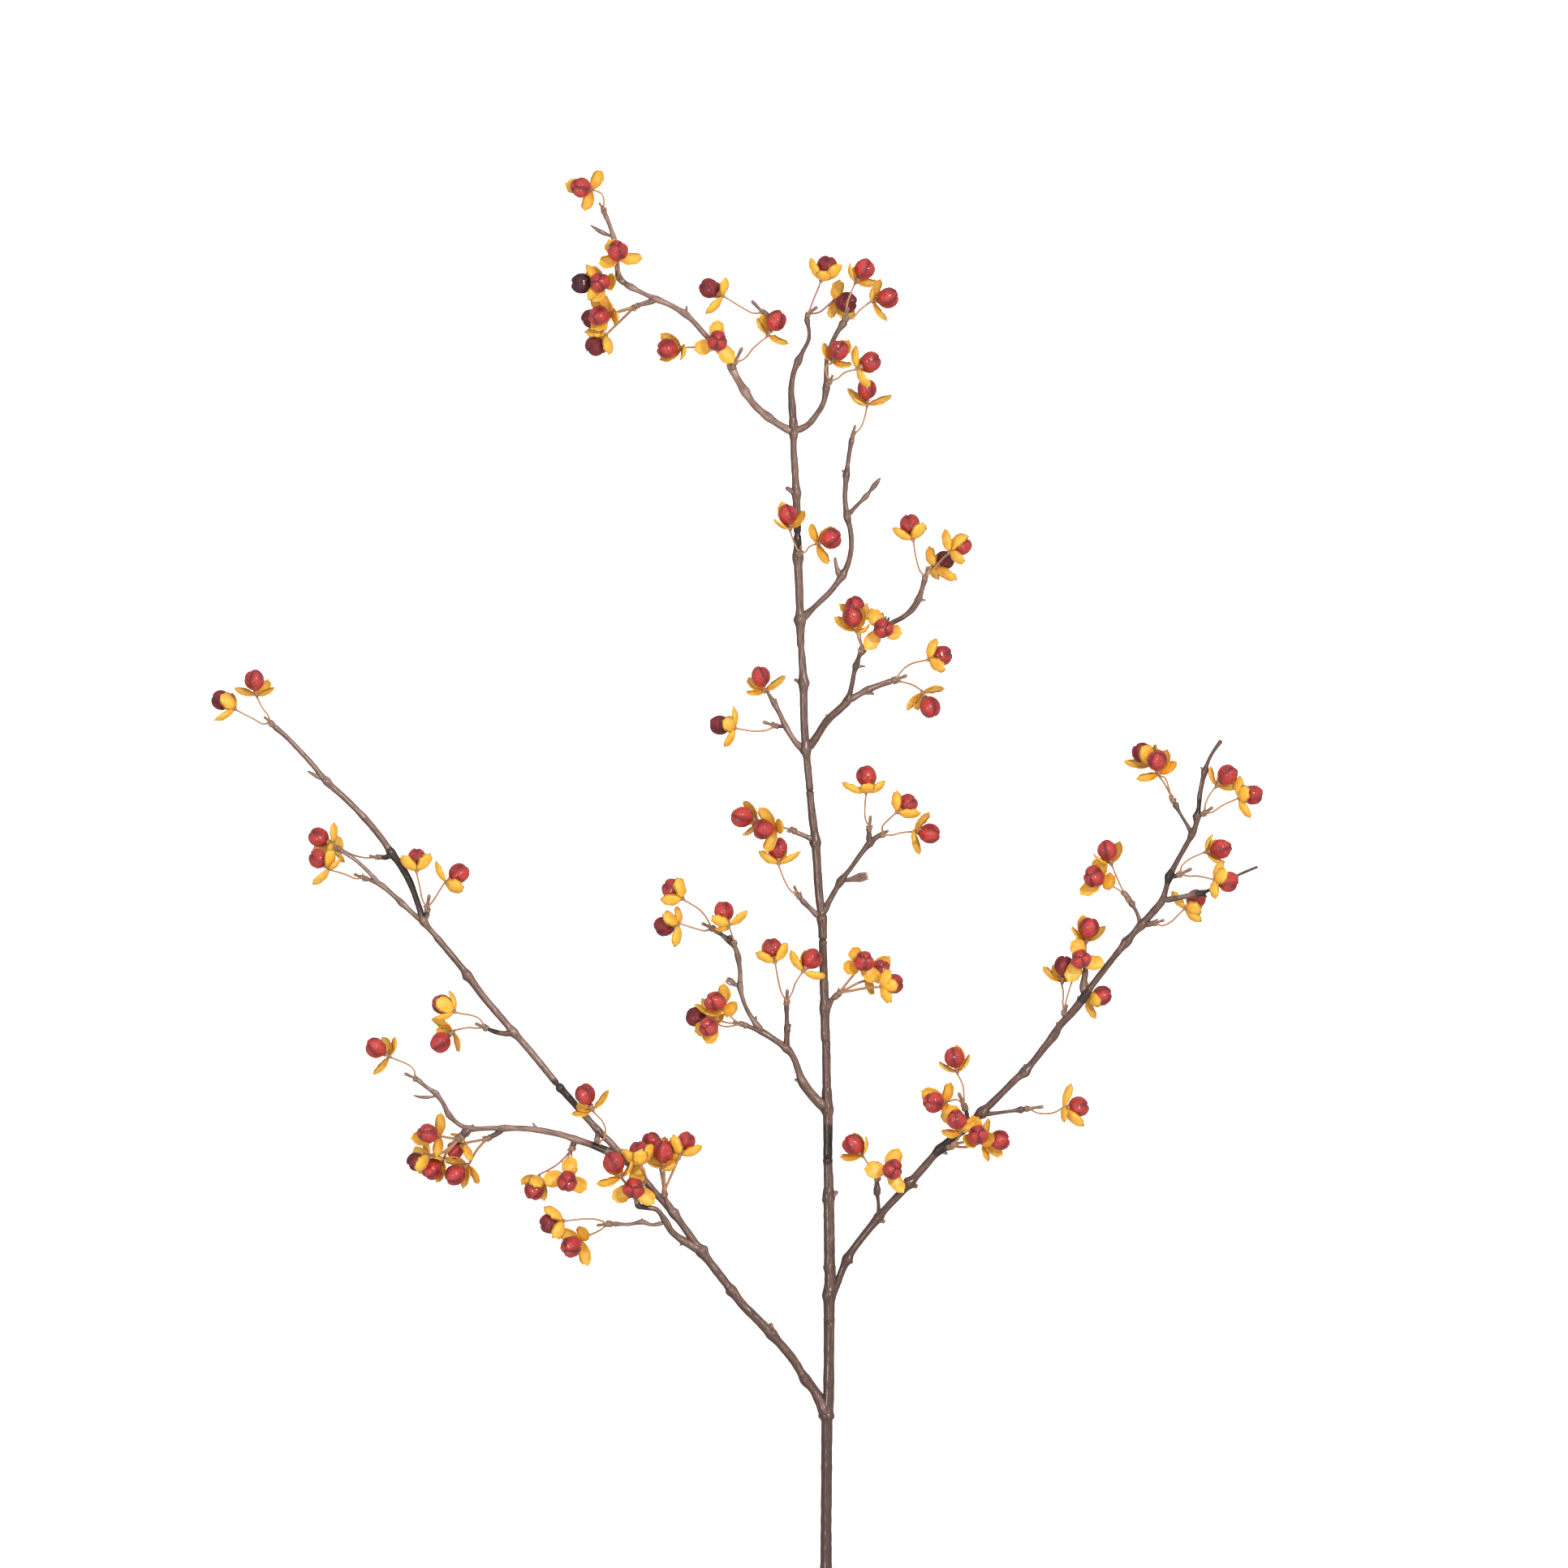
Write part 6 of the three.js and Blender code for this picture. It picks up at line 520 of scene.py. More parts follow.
# how pale each bough is, from its foot to its tip where it changes
routeTones = {"stem": (-2.2, -1.4, -0.5, 0.2, 0.3), "crownLeft": 1.0, "crownLeftTwig": 1.0,
    "crownMiddle": 0.08, "crownRight": 0.3, "upperRight": 0.22, "upperRightSpur": 0.25, "forkRight": -0.5,
    "forkLeft": 0.75, "forkLeftTwig": -0.7, "middleLeft": 0.8, "middleLeftLow": 0.4, "middleRightUp": -0.4,
    "lowerRight": 0.45, "lowerLeft": 0.25, "lowerLeftUp": -0.4, "lowerLeftFar": 0.5,
    "left": (-0.9, 0.1, 0.6, 0.4, 0.4, 0.55), "leftArm": 0.75, "leftFork": 0.15, "leftArmTwig": 0.0,
    "leftArmDrop": -0.7, "leftForkTwig": 0.65, "leftKnee": 0.25, "leftTwig": -0.2, "leftUpperStub": 0.4,
    "leftBlackTwig": -1.0, "leftLowFork": 0.7, "leftLowForkUp": 0.82,
    "right": (-1.8, -0.9, -0.5, -0.2, -0.7), "rightTip": 0.2, "rightTwigUp": -1.0, "rightStub": -1.0,
    "rightLowTwig": 0.1, "rightThumb": -0.8, "rightUnder": -0.4, "rightUpperTwig": 0.2, "rightThorn": -1.0,
    "rightFarStub": -1.0, "forkRightLow": 0.3, "forkRightHidden": 0.25, "rightRiser": 0.4}

# how much thicker than its listed radius each bough's bark is
routeGirths = {"stem": 1.12, "left": 1.23, "right": 1.14, "leftArm": 1.0, "crownLeft": 1.15,
    "crownRight": 1.11, "upperRight": 1.18, "forkRight": 1.03, "forkRightHidden": 1.22, "middleRight": 1.2,
    "lowerLeft": 1.22, "lowerLeftFar": 1.2, "leftForkTwig": 0.95, "leftLowFork": 1.15, "rightTip": 0.9}


# mesh tools
def unit(v):
    # a vector over its own length
    return v / np.maximum(np.linalg.norm(v, axis=-1, keepdims=True), 1e-9)


def dot(a, b):
    # the sum of the products along the last axis
    return np.sum(a * b, axis=-1, keepdims=True)


def smooth(low, high, value):
    # 0 below low, 1 above high, and a cubic between them
    t = np.clip((value - low) / (high - low), 0, 1)
    return t * t * (3 - 2 * t)


def runAlong(points):
    # the distance walked along a line of points, up to each of them
    return np.concatenate([[0], np.cumsum(np.linalg.norm(np.diff(points, axis=0), axis=1))])


def fullTurn(count):
    # that many even angles round a circle, as one row
    return np.linspace(0, 2 * np.pi, count, endpoint=False)[None, :]


def gridFaces(rows, columns, around):
    # four corners of each cell of a grid whose columns may close on themselves
    row = np.arange(rows - 1)[:, None] * columns
    here = np.arange(columns if around else columns - 1)[None, :]
    after, below = (here + 1) % columns, row + columns
    return np.stack([row + here, row + after, below + after, below + here], axis=-1).reshape(-1, 4)


def fanFaces(pole, first, columns, forward):
    # triangles from a pole to the ring that starts at first
    here = np.arange(columns)
    a, b = first + here, first + (here + 1) % columns
    return np.stack([np.full(columns, pole), a, b] if forward else [np.full(columns, pole), b, a], axis=-1)


def poleFaces(rows, columns):
    # the fans that close both ends of a tube whose two poles follow its rings
    poles = rows * columns
    return np.concatenate([fanFaces(poles, 0, columns, False),
                           fanFaces(poles + 1, (rows - 1) * columns, columns, True)])


def closedTube(rings):
    # rings (n, m, 3) followed by two poles at the mean of the end rings
    rows, columns = rings.shape[:2]
    points = np.concatenate([rings.reshape(-1, 3), rings[:1].mean(axis=1), rings[-1:].mean(axis=1)])
    return points, gridFaces(rows, columns, True), poleFaces(rows, columns)


def withPoles(values, rows, columns):
    # the value on each ring point, and the mean of the end rings on the poles
    tail = values.shape[2:]
    grid = np.broadcast_to(values, (rows, columns) + tail).astype(float)
    return np.concatenate([grid.reshape((-1,) + tail), grid[:1].mean(axis=1), grid[-1:].mean(axis=1)])


def makePiece(name, parts, material, nodes):
    # joins parts of (points, quads, tris, layers) into one smooth mesh and hangs it on the frame
    offsets = np.cumsum([0] + [len(p[0]) for p in parts])
    points = np.concatenate([p[0] for p in parts])
    points[:, 2] = np.maximum(points[:, 2], 0.0)  # nothing dips below the surface
    quads = np.concatenate([p[1] + o for p, o in zip(parts, offsets)]).reshape(-1, 4)
    tris = np.concatenate([p[2] + o for p, o in zip(parts, offsets)]).reshape(-1, 3)
    corners = np.concatenate([quads.ravel(), tris.ravel()]).astype(np.int32)
    triStarts = quads.size + np.arange(len(tris)) * 3
    starts = np.concatenate([np.arange(len(quads)) * 4, triStarts]).astype(np.int32)
    mesh = bpy.data.meshes.new(name)
    mesh.vertices.add(len(points))
    mesh.loops.add(len(corners))
    mesh.polygons.add(len(starts))
    mesh.vertices.foreach_set("co", (points * millimetre).astype(np.float32).ravel())
    mesh.loops.foreach_set("vertex_index", corners)
    mesh.polygons.foreach_set("loop_start", starts)
    mesh.update(calc_edges=True)
    mesh.polygons.foreach_set("use_smooth", np.ones(len(starts), dtype=bool))
    for layer in parts[0][3]:
        values = np.concatenate([p[3][layer] for p in parts]).astype(np.float32)
        kind = "FLOAT" if values.ndim == 1 else "FLOAT_VECTOR"
        field = mesh.attributes.new(layer, kind, "POINT")
        field.data.foreach_set("value" if kind == "FLOAT" else "vector", values.ravel())
    mesh.validate()
    piece = bpy.data.objects.new(name, mesh)
    bpy.context.scene.collection.objects.link(piece)
    piece.data.materials.append(material)
    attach(piece, "root")
    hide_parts(*nodes)
    print(name, len(points), "points", 2 * len(quads) + len(tris), "triangles")


curveValues = dict(fallLength=3.5, leastShare=0.05, shortSpan=3.4, shortPoints=4)


def eased(t, span, fall):
    # 0 to 1 along a span; a thicker end stays short: it falls as a bell of the fall length
    reach = np.clip(curveValues["fallLength"] / span, curveValues["leastShare"], 0.5)
    bell = 1 - np.exp(-((np.where(fall > 0, t, 1 - t) / reach) ** 2))
    return np.where(fall > 0, bell, 1 - bell)


def curveThrough(knots, step):
    # Catmull-Rom through the knots (n, d), with a point about every step of length; also the run length
    knots = np.asarray(knots, float)
    ends = np.concatenate([2 * knots[:1] - knots[1:2], knots, 2 * knots[-1:] - knots[-2:-1]])
    spans = np.linalg.norm(np.diff(knots[:, :3], axis=0), axis=1)
    counts = np.maximum(np.round(spans / step).astype(int), 1)
    counts = np.where(spans < curveValues["shortSpan"], curveValues["shortPoints"], counts)
    span = np.repeat(np.arange(len(spans)), counts)
    t = np.concatenate([np.arange(c) / c for c in counts])[:, None]
    a, b, c, d = (ends[span + i] for i in range(4))
    square, cube = 2 * a - 5 * b + 4 * c - d, 3 * b - a - 3 * c + d
    route = 0.5 * (2 * b + (c - a) * t + square * t ** 2 + cube * t ** 3)
    route[:, 3:] = b[:, 3:] + (c - b)[:, 3:] * eased(t, spans[span][:, None], (b - c)[:, 3:])
    route = np.concatenate([route, knots[-1:]])
    return route, runAlong(route[:, :3])


def framesAlong(route):
    # along is the slope; side is the steadiest axis made square to it; up completes them
    along = unit(np.gradient(route, axis=0))
    reference = np.eye(3)[np.argmin(np.abs(along).max(axis=0))]
    side = unit(reference - along * dot(along, reference))
    return along, side, np.cross(along, side)


def sweep(route, side, up, radius, angles):
    # route plus radius (n, m) turned about it
    return (route[:, None] + side[:, None] * (radius * np.cos(angles))[..., None]
            + up[:, None] * (radius * np.sin(angles))[..., None])


def ribbed(run, radius, sides, ribs):
    # radius times one plus a few waves round the twig whose phase drifts along it, and lumps every 3 mm
    angles = fullTurn(sides)
    wave = np.zeros((len(run), sides))
    for count, share in ((1, 0.35), (2, 0.6), (3, 0.9), (5, 0.7)):
        phase = draw.uniform(0, 6.28)
        swing = np.sin(run / draw.uniform(9, 21) + draw.uniform(0, 6.28)) * 1.1
        drift = swing + run * draw.uniform(-0.02, 0.02)
        wave += share * np.sin(count * angles + phase + drift[:, None])
    marks = np.arange(0, run[-1] + 6, 3.0)
    lumps = np.interp(run, marks, draw.normal(0, 0.03, len(marks)))
    return radius[:, None] * (1 + ribs * wave / 1.6 + lumps[:, None]), angles


def grainOf(angles, radius, run):
    # the unrolled bark: round the twig in two axes so that it has no seam, and along it in the third
    fields = np.broadcast_arrays(np.cos(angles) * radius, np.sin(angles) * radius, run[:, None])
    return withPoles(np.stack(fields, axis=-1) + draw.uniform(0, 90, 3), len(run), angles.shape[1])


# materials
class Look:
    # builds one material's nodes; the methods from layer to coats return the socket that they made

    def __init__(self, name, values, **sockets):
        # a shader whose sockets take the given values; an underscore stands for a space
        self.values = values
        self.material = bpy.data.materials.new(name)
        self.material.use_nodes = True
        self.tree = self.material.node_tree
        self.shader = self.tree.nodes["Principled BSDF"]
        for socket, value in sockets.items():
            self.shader.inputs[socket.replace("_", " ")].default_value = value

    def node(self, kind, **settings):
        # a new node of that kind, with its settings
        made = self.tree.nodes.new(kind)
        for key, value in settings.items():
            setattr(made, key, value)
        return made

    def feed(self, node, key, value):
        # links a socket to an input, or sets a plain value on it
        if isinstance(value, bpy.types.NodeSocket):
            self.tree.links.new(value, node.inputs[key])
        elif value is not None:
            node.inputs[key].default_value = value

    def layer(self, name, output="Fac"):
        # an attribute that makePiece put on the points
        return self.node("ShaderNodeAttribute", attribute_name=name).outputs[output]

    def place(self):
        # the place of the point itself, in metres
        return self.node("ShaderNodeTexCoord").outputs["Object"]

    def math(self, kind, a, b=None, clamp=False):
        # one sum of one or two values, kept between 0 and 1 with clamp
        made = self.node("ShaderNodeMath", operation=kind, use_clamp=clamp)
        self.feed(made, 0, a)
        self.feed(made, 1, b)
        return made.outputs[0]

    def times(self, a, b, clamp=False):
        # a times b
        return self.math("MULTIPLY", a, b, clamp)

    def stretch(self, vector, scale):
        # each axis times its own scale, so that a pattern is longer where the scale is small
        made = self.node("ShaderNodeMapping")
        self.feed(made, "Vector", vector)
        made.inputs["Scale"].default_value = scale
        return made.outputs[0]

    def noise(self, vector, scale, detail=3.0, roughness=0.55, distortion=0.0):
        # a cloudy pattern between 0 and 1
        made = self.node("ShaderNodeTexNoise")
        for key, value in (("Vector", vector), ("Scale", scale), ("Detail", detail),
                           ("Roughness", roughness), ("Distortion", distortion)):
            self.feed(made, key, value)
        return made.outputs["Fac"]

    def cells(self, vector, scale):
        # the distance to the nearest of many scattered points
        made = self.node("ShaderNodeTexVoronoi", feature="F1")
        self.feed(made, "Vector", vector)
        self.feed(made, "Scale", scale)
        return made.outputs["Distance"]

    def ramp(self, value, low, high, out=(0.0, 1.0)):
        # low to high become the two out values in a straight line, and beyond them it stays level
        made = self.node("ShaderNodeMapRange", clamp=True)
        for key, number in (("Value", value), ("From Min", low), ("From Max", high),
                            ("To Min", out[0]), ("To Max", out[1])):
            self.feed(made, key, number)
        return made.outputs[0]

    def blend(self, share, a, b):
        # a colour between a and b; a Mix node's colours are its inputs 6 and 7 and its output 2
        made = self.node("ShaderNodeMix", data_type="RGBA")
        self.feed(made, 0, share)
        self.feed(made, 6, a + (1,) if isinstance(a, tuple) else a)
        self.feed(made, 7, b + (1,) if isinstance(b, tuple) else b)
        return made.outputs[2]

    def coats(self, colour, *coats):
        # one named colour after another over the first, each as far as its share says
        for share, name in coats:
            colour = self.blend(share, colour, self.values[name])
        return colour

    def finish(self, colour, roughness, height, distance, strength):
        # the last colour and roughness, and a bump of the height's own distance in metres
        self.feed(self.shader, "Base Color", colour)
        self.feed(self.shader, "Roughness", roughness)
        bump = self.node("ShaderNodeBump")
        bump.inputs["Distance"].default_value = distance
        bump.inputs["Strength"].default_value = strength
        self.feed(bump, "Height", height)
        self.feed(self.shader, "Normal", bump.outputs[0])
        return self.material


# the wood
# paintedShadeFacing points to the bark's side away from the key light, which is painted darker as shade
barkValues = dict(step=1.5, sides=16, twigSides=12, ribs=0.05, usualGirth=1.1, usualTone=0.05,
                  startShare=0.7, startLength=3.5, flare=0.18, flarePlace=4, flareLength=3.5,
                  ringDepth=0.09, ringLength=0.8, lipHeight=0.07, lipLength=0.9, lipGap=2.0,
                  knobHeight=0.26, knobLength=1.9, knobPeak=1.15, nearbyKnots=6, paintedShadeFacing=(-0.8, -0.55, -0.1),
                  brown=(0.248, 0.132, 0.092), dark=(0.062, 0.031, 0.025), pale=(0.46, 0.295, 0.235),
                  black=(0.014, 0.010, 0.009), cutFace=(0.42, 0.31, 0.20))
thickBoughs = ("left", "right", "leftArm")


def nearness(points, marks):
    # 1 on a marked stretch and 0 away from it, by the flat distance to its line
    most = np.zeros(len(points))
    for start, end, halfWidth in marks:
        start, line = np.array(start, float), np.subtract(end, start).astype(float)
        t = np.clip((points[:, :2] - start) @ line / (line @ line), 0, 1)
        gap = np.linalg.norm(points[:, :2] - start - t[:, None] * line, axis=1)
        most = np.maximum(most, 1 - smooth(halfWidth * 0.5, halfWidth * 1.4, gap))
    return most


def bellAt(run, places, length):
    # a bell curve of height 1 at each place along the run
    return np.exp(-((run[:, None] - np.asarray(places)[None, :]) / length) ** 2).sum(axis=1)


def ringsAndKnobs(knots, run, centre, values):
    # a listed radius that dips between close neighbours is a ring, and one that peaks is a knob
    radius = np.array([k[3] for k in knots])
    places = run[[int(np.argmin(np.linalg.norm(centre - k[:3], axis=1))) for k in knots]]
    i, near, peak = np.arange(1, len(knots) - 1), values["nearbyKnots"], values["knobPeak"]
    close = (places[i + 1] - places[i] < near) & (places[i] - places[i - 1] < near)
    rings = places[i[close & (radius[i] < radius[i - 1]) & (radius[i] < radius[i + 1])]]
    knobs = places[i[(radius[i] > radius[i - 1] * peak) & (radius[i] > radius[i + 1] * peak)]]
    return rings, knobs


def woodTube(name, knots, isBough, values):
    # ribbed rings along the route, pinched at its rings and swollen to one side at its knobs
    route, run = curveThrough(knots, values["step"])
    centre, radius = route[:, :3], route[:, 3] * routeGirths.get(name, values["usualGirth"])
    rings, knobs = ringsAndKnobs(knots, run, centre, values)
    if isBough:
        # narrow inside its parent, then a flare where it comes out
        start, swell = values["startShare"], (run - values["flarePlace"]) / values["flareLength"]
        radius = radius * (start + (1 - start) * smooth(0, values["startLength"], run))
        radius = radius * (1 + values["flare"] * np.exp(-swell ** 2))
    lips = np.concatenate([rings + values["lipGap"], rings - values["lipGap"]])
    radius = radius * (1 - values["ringDepth"] * bellAt(run, rings, values["ringLength"])
                       + values["lipHeight"] * bellAt(run, lips, values["lipLength"]))
    sides = values["twigSides"] if isBough and name not in thickBoughs else values["sides"]
    along, side, up = framesAlong(centre)
    reach, angles = ribbed(run, radius, sides, values["ribs"])
    for place in knobs:
        facing = np.maximum(np.cos(angles - draw.uniform(0, 2 * np.pi)), 0) ** 2
        height = values["knobHeight"] * draw.uniform(0.4, 1.2)
        reach = reach * (1 + height * bellAt(run, [place], values["knobLength"])[:, None] * facing)
    skin = sweep(centre, side, up, reach, angles)
    # a small last ring rounds the tip, and a bough has a small first one deep in its parent
    last = centre[-1:, None] + (skin[-1:] - centre[-1:, None]) * 0.55 + along[-1:, None] * radius[-1] * 0.35
    first = centre[:1, None] + (skin[:1] - centre[:1, None]) * 0.2 - along[:1, None] * radius[0] * 0.7
    skin = np.concatenate([first, skin, last] if isBough else [skin, last])
    fullRun = np.concatenate([run[:1], run, run[-1:]] if isBough else [run, run[-1:]])
    rows = len(skin)
    points, quads, tris = closedTube(skin)
    sawn = np.zeros(len(points))
    sawn[-2] = 0 if isBough else 1  # the middle of the stem's first end
    # painted shade: the side turned away from the key light is darker, 1 where the skin faces that way
    outward = unit(skin - skin.mean(axis=1, keepdims=True))
    paintedSideShade = smooth(-0.3, 0.75, dot(outward, np.array(values["paintedShadeFacing"]))[..., 0])
    groove = 0.75 * np.clip(bellAt(fullRun, rings, 0.75), 0, 1)
    groove = groove + 0.25 * np.clip(bellAt(fullRun, knobs + 2.6, 0.7), 0, 1)
    tones = np.atleast_1d(routeTones.get(name, values["usualTone"]))
    tone = np.interp(fullRun / run[-1], np.linspace(0, 1, len(tones)), tones)
    layers = dict(grain=grainOf(angles, float(np.median(radius)), fullRun), sawn=sawn,
                  pale=withPoles(tone[:, None], rows, sides), paintedSideShade=withPoles(paintedSideShade, rows, sides),
                  groove=withPoles(groove[:, None], rows, sides))
    return points, quads, tris, layers


def plainLayers(grain, tone):
    # one tone all over, with no cut, painted side shade or ring
    flat = {name: np.zeros(len(grain)) for name in ("sawn", "paintedSideShade", "groove")}
    return dict(grain=grain, pale=np.full(len(grain), float(tone)), **flat)


# pegs and resting buds: places along one and the shares of its radius there; the crown's five open scales
spindleValues = dict(sides=8, rows=8, bend=0.07, ridge=0.13, tone=0.35, pegGirth=1.2, budRows=10,
                     peg=([0, 0.22, 0.4, 0.65, 0.9, 1], [0.7, 1.25, 0.95, 0.8, 0.66, 0.4]),
                     bud=([0, 0.18, 0.45, 0.7, 0.9, 1], [0.45, 0.6, 1.15, 1.0, 0.5, 0.12]),
                     scale=([0, 0.4, 0.8, 1], [1.0, 0.9, 0.5, 0.15]))
scaleValues = dict(foot=(90, 202.6, 40), height=43.5, radius=0.5, sides=6, tone=-0.8,
                   tips=[(87.1, 205.9), (89.1, 207.2), (90.6, 206.3), (91.9, 206.6), (92.8, 204.4)])


def spindle(root, tip, radius, kind, values, rows=None, sides=None, tone=None):
    # radius times a profile of shares along it, ridged by a small four-fold wave
    root, tip = np.array(root, float), np.array(tip, float)
    t = np.linspace(0, 1, rows or values["rows"])
    bend = np.cross(tip - root, (0, 0, 1)) * draw.uniform(-values["bend"], values["bend"])
    centre = root + (tip - root) * t[:, None] + bend * np.sin(np.pi * t)[:, None]
    along, side, up = framesAlong(centre)
    angles = fullTurn(sides or values["sides"])
    shares = np.interp(t, *values[kind])[:, None]
    reach = radius * shares * (1 + values["ridge"] * np.cos(4 * angles + 5 * t[:, None]))
    points, quads, tris = closedTube(sweep(centre, side, up, reach, angles))
    grain = grainOf(angles, radius, t * np.linalg.norm(tip - root))
    return points, quads, tris, plainLayers(grain, tone or values["tone"])


bractValues = dict(rows=9, notch=0.82, crease=0.5, wave=0.25, thickness=0.45, tone=0.2,
                   widths=([0, 0.3, 0.62, 1], [0.3, 0.55, 1, 0.85]))


def seam(start, step, count, under, flip):
    # the strip of cells between the two skins of a blade, along a row or a column of points
    a = start + np.arange(count - 1) * step
    strip = np.stack([a, a + step, a + step + under, a + under], axis=-1)
    return strip[:, ::-1] if flip else strip


def toothedBract(root, tip, halfWidth, teeth, values):
    # a flat blade that widens along it and ends in teeth; strips along all four edges join its two skins
    root, tip = np.array(root, float), np.array(tip, float)
    rows, columns = values["rows"], 2 * teeth + 3
    t, s = np.linspace(0, 1, rows)[:, None], np.linspace(-1, 1, columns)[None, :]
    width = halfWidth * np.interp(t, *values["widths"])
    tooth = np.where(np.arange(columns) % 2 == 1, 1.0, values["notch"])[None, :]
    length = np.linalg.norm(tip - root)
    along = (tip - root) / length
    across = unit(np.cross((0, 0, 1), along))
    above = np.cross(along, across)
    reach = length * t * (1 + (tooth - 1) * t ** 4)
    flat = root + along * reach[..., None] + across * (width * s)[..., None]
    crease = (values["crease"] * np.abs(s) * t + values["wave"] * np.cos(s * 9) * t)[..., None]
    body = values["thickness"] * np.sqrt(np.clip(1 - s ** 2, 0, 1))[..., None] * (1 - t ** 6)[..., None]
    top, bottom = flat + above * (crease + body), flat + above * (crease - body)
    cells, under = gridFaces(rows, columns, False), rows * columns
    ends = [seam(0, 1, columns, under, False), seam(under - columns, 1, columns, under, True)]
    sides = [seam(0, columns, rows, under, True), seam(columns - 1, columns, rows, under, False)]
    quads = np.concatenate([cells[:, ::-1], cells + under] + ends + sides)
    grain = np.stack(np.broadcast_arrays(s * 3, 0.0, t * length), axis=-1).reshape(-1, 3)
    return (np.concatenate([top.reshape(-1, 3), bottom.reshape(-1, 3)]), quads, np.zeros((0, 3), int),
            plainLayers(np.tile(grain, (2, 1)), values["tone"]))


def barkMaterial(values):
    # brown over dark by the fibre, then each coat of pale, dark, black or cut face by its share; one dark
    # coat is painted shade on the side away from the key light
    look = Look("barkSkin", values, Specular_IOR_Level=0.05, Coat_Weight=0.8, Coat_Roughness=0.22,
                Coat_IOR=1.42)
    grain = look.layer("grain", "Vector")
    pale = look.layer("pale")
    fibre = look.noise(look.stretch(grain, (1.0, 1.0, 0.11)), 1.35, 5.0, 0.62, 0.3)
    fine = look.noise(look.stretch(grain, (1.0, 1.0, 0.16)), 2.4, 3.0, 0.6)
    patches = look.noise(look.stretch(grain, (0.6, 0.6, 0.2)), 0.6, 3.0)
    streak = look.noise(look.stretch(grain, (1.2, 1.2, 0.07)), 0.8, 3.0, 0.6, 0.4)
    slow = look.noise(look.stretch(grain, (0.2, 0.2, 0.045)), 0.6, 2.0)
    fleck = look.cells(look.stretch(grain, (1.0, 1.0, 0.4)), 1.9)
    # pale threads, dull streaks and slow dark patches; a silver bloom and flecks
    threads = look.times(look.ramp(fine, 0.52, 0.64), look.ramp(pale, -1.0, 0.2, (0.16, 0.55)))
    dull, share = look.ramp(streak, 0.62, 0.40, (0.25, 1.3)), look.ramp(pale, 1.0, -1.0, (0.12, 0.7))
    dull = look.times(dull, share, clamp=True)
    bloom = look.times(look.ramp(patches, 0.42, 0.6, (0.35, 1.0)), look.ramp(pale, 0.0, 1.0, (0.06, 0.8)))
    # painted shade on the side away from the key light, the oldest wood, and the ragged edges of the
    # blackened stretches
    paintedSideShade = look.times(look.layer("paintedSideShade"), look.ramp(streak, 0.30, 0.62, (1.0, 0.8)))
    paintedSideShade = look.times(paintedSideShade, look.ramp(pale, 0.2, 1.0, (0.95, 0.5)))
    marked = look.layer("burnt")
    ragged = look.math("ADD", marked, look.times(look.math("SUBTRACT", patches, 0.5), 0.7))
    burnt = look.times(look.ramp(ragged, 0.35, 0.8), look.ramp(fibre, 0.34, 0.66, (0.95, 0.7)))
    burnt = look.times(burnt, look.ramp(marked, 0.0, 0.2))
    colour = look.coats(look.blend(look.ramp(fibre, 0.41, 0.58), values["dark"], values["brown"]),
                        (threads, "pale"), (dull, "dark"), (look.ramp(slow, 0.52, 0.34, (0.0, 0.6)), "dark"),
                        (bloom, "pale"), (look.times(look.ramp(fleck, 0.26, 0.12), 0.5), "pale"),
                        (paintedSideShade, "dark"), (look.ramp(pale, -0.7, -2.0, (0.0, 0.8)), "dark"),
                        (look.math("MAXIMUM", burnt, look.layer("groove")), "black"),
                        (look.ramp(look.layer("sawn"), 0.2, 0.6), "cutFace"))
    rough = look.ramp(fine, 0.3, 0.7, (0.36, 0.55))
    height = look.math("ADD", look.times(fibre, 0.7), look.times(fine, 0.3))
    return look.finish(colour, rough, height, 0.0011, 1.0)


woodParts = [woodTube("stem", stemRoute, False, barkValues)]
woodParts += [woodTube(name, route, True, barkValues) for name, route in boughRoutes.items()]
for root, tip, radius in spurs:
    woodParts.append(spindle(root, tip, radius * spindleValues["pegGirth"], "peg", spindleValues))
for x, y in scaleValues["tips"]:
    tip = (x, y, scaleValues["height"])
    woodParts.append(spindle(scaleValues["foot"], tip, scaleValues["radius"], "scale", spindleValues,
                             sides=scaleValues["sides"], tone=scaleValues["tone"]))
for root, tip, radius in restingBuds:
    woodParts.append(spindle(root, tip, radius, "bud", spindleValues, rows=spindleValues["budRows"]))
for bract in bracts:
    woodParts.append(toothedBract(*bract, bractValues))
for part in woodParts:
    part[3]["burnt"] = nearness(part[0], blackened)
makePiece("woodyBark", woodParts, barkMaterial(barkValues), ["woody_stem"])

# the heads
headValues = dict(seatRatio=1.17, leastLean=0.5, huskLength=12.5, valveDrop=2.2, receptacleLength=4.5)
bunchNodes = ["bunch_" + name for name in bunches]
allHeads = [(name, i, head) for name, bunch in bunches.items() for i, head in enumerate(bunch["heads"])]
centres = np.array([head["berry"][:3] for _, _, head in allHeads], float)
berryRadius = np.array([head["berry"][3] for _, _, head in allHeads], float)
ripeness = np.array([ripened.get(name, {}).get(i, 0) for name, i, _ in allHeads], float)
seatFlat = np.array([head["seat"] for _, _, head in allHeads], float)
huskFlat = np.array([head["husk"] for _, _, head in allHeads], float)

# a seat lies a little over a radius from the berry's middle, below or above it by what is left of that
flatGap = np.linalg.norm(centres[:, :2] - seatFlat[:, :2], axis=1)
seatDrop = np.sqrt(np.maximum((headValues["leastLean"] * berryRadius) ** 2,
                              (headValues["seatRatio"] * berryRadius) ** 2 - flatGap ** 2))
seats = np.column_stack([seatFlat[:, :2], centres[:, 2] - seatFlat[:, 2] * seatDrop])
axes = unit(centres - seats)

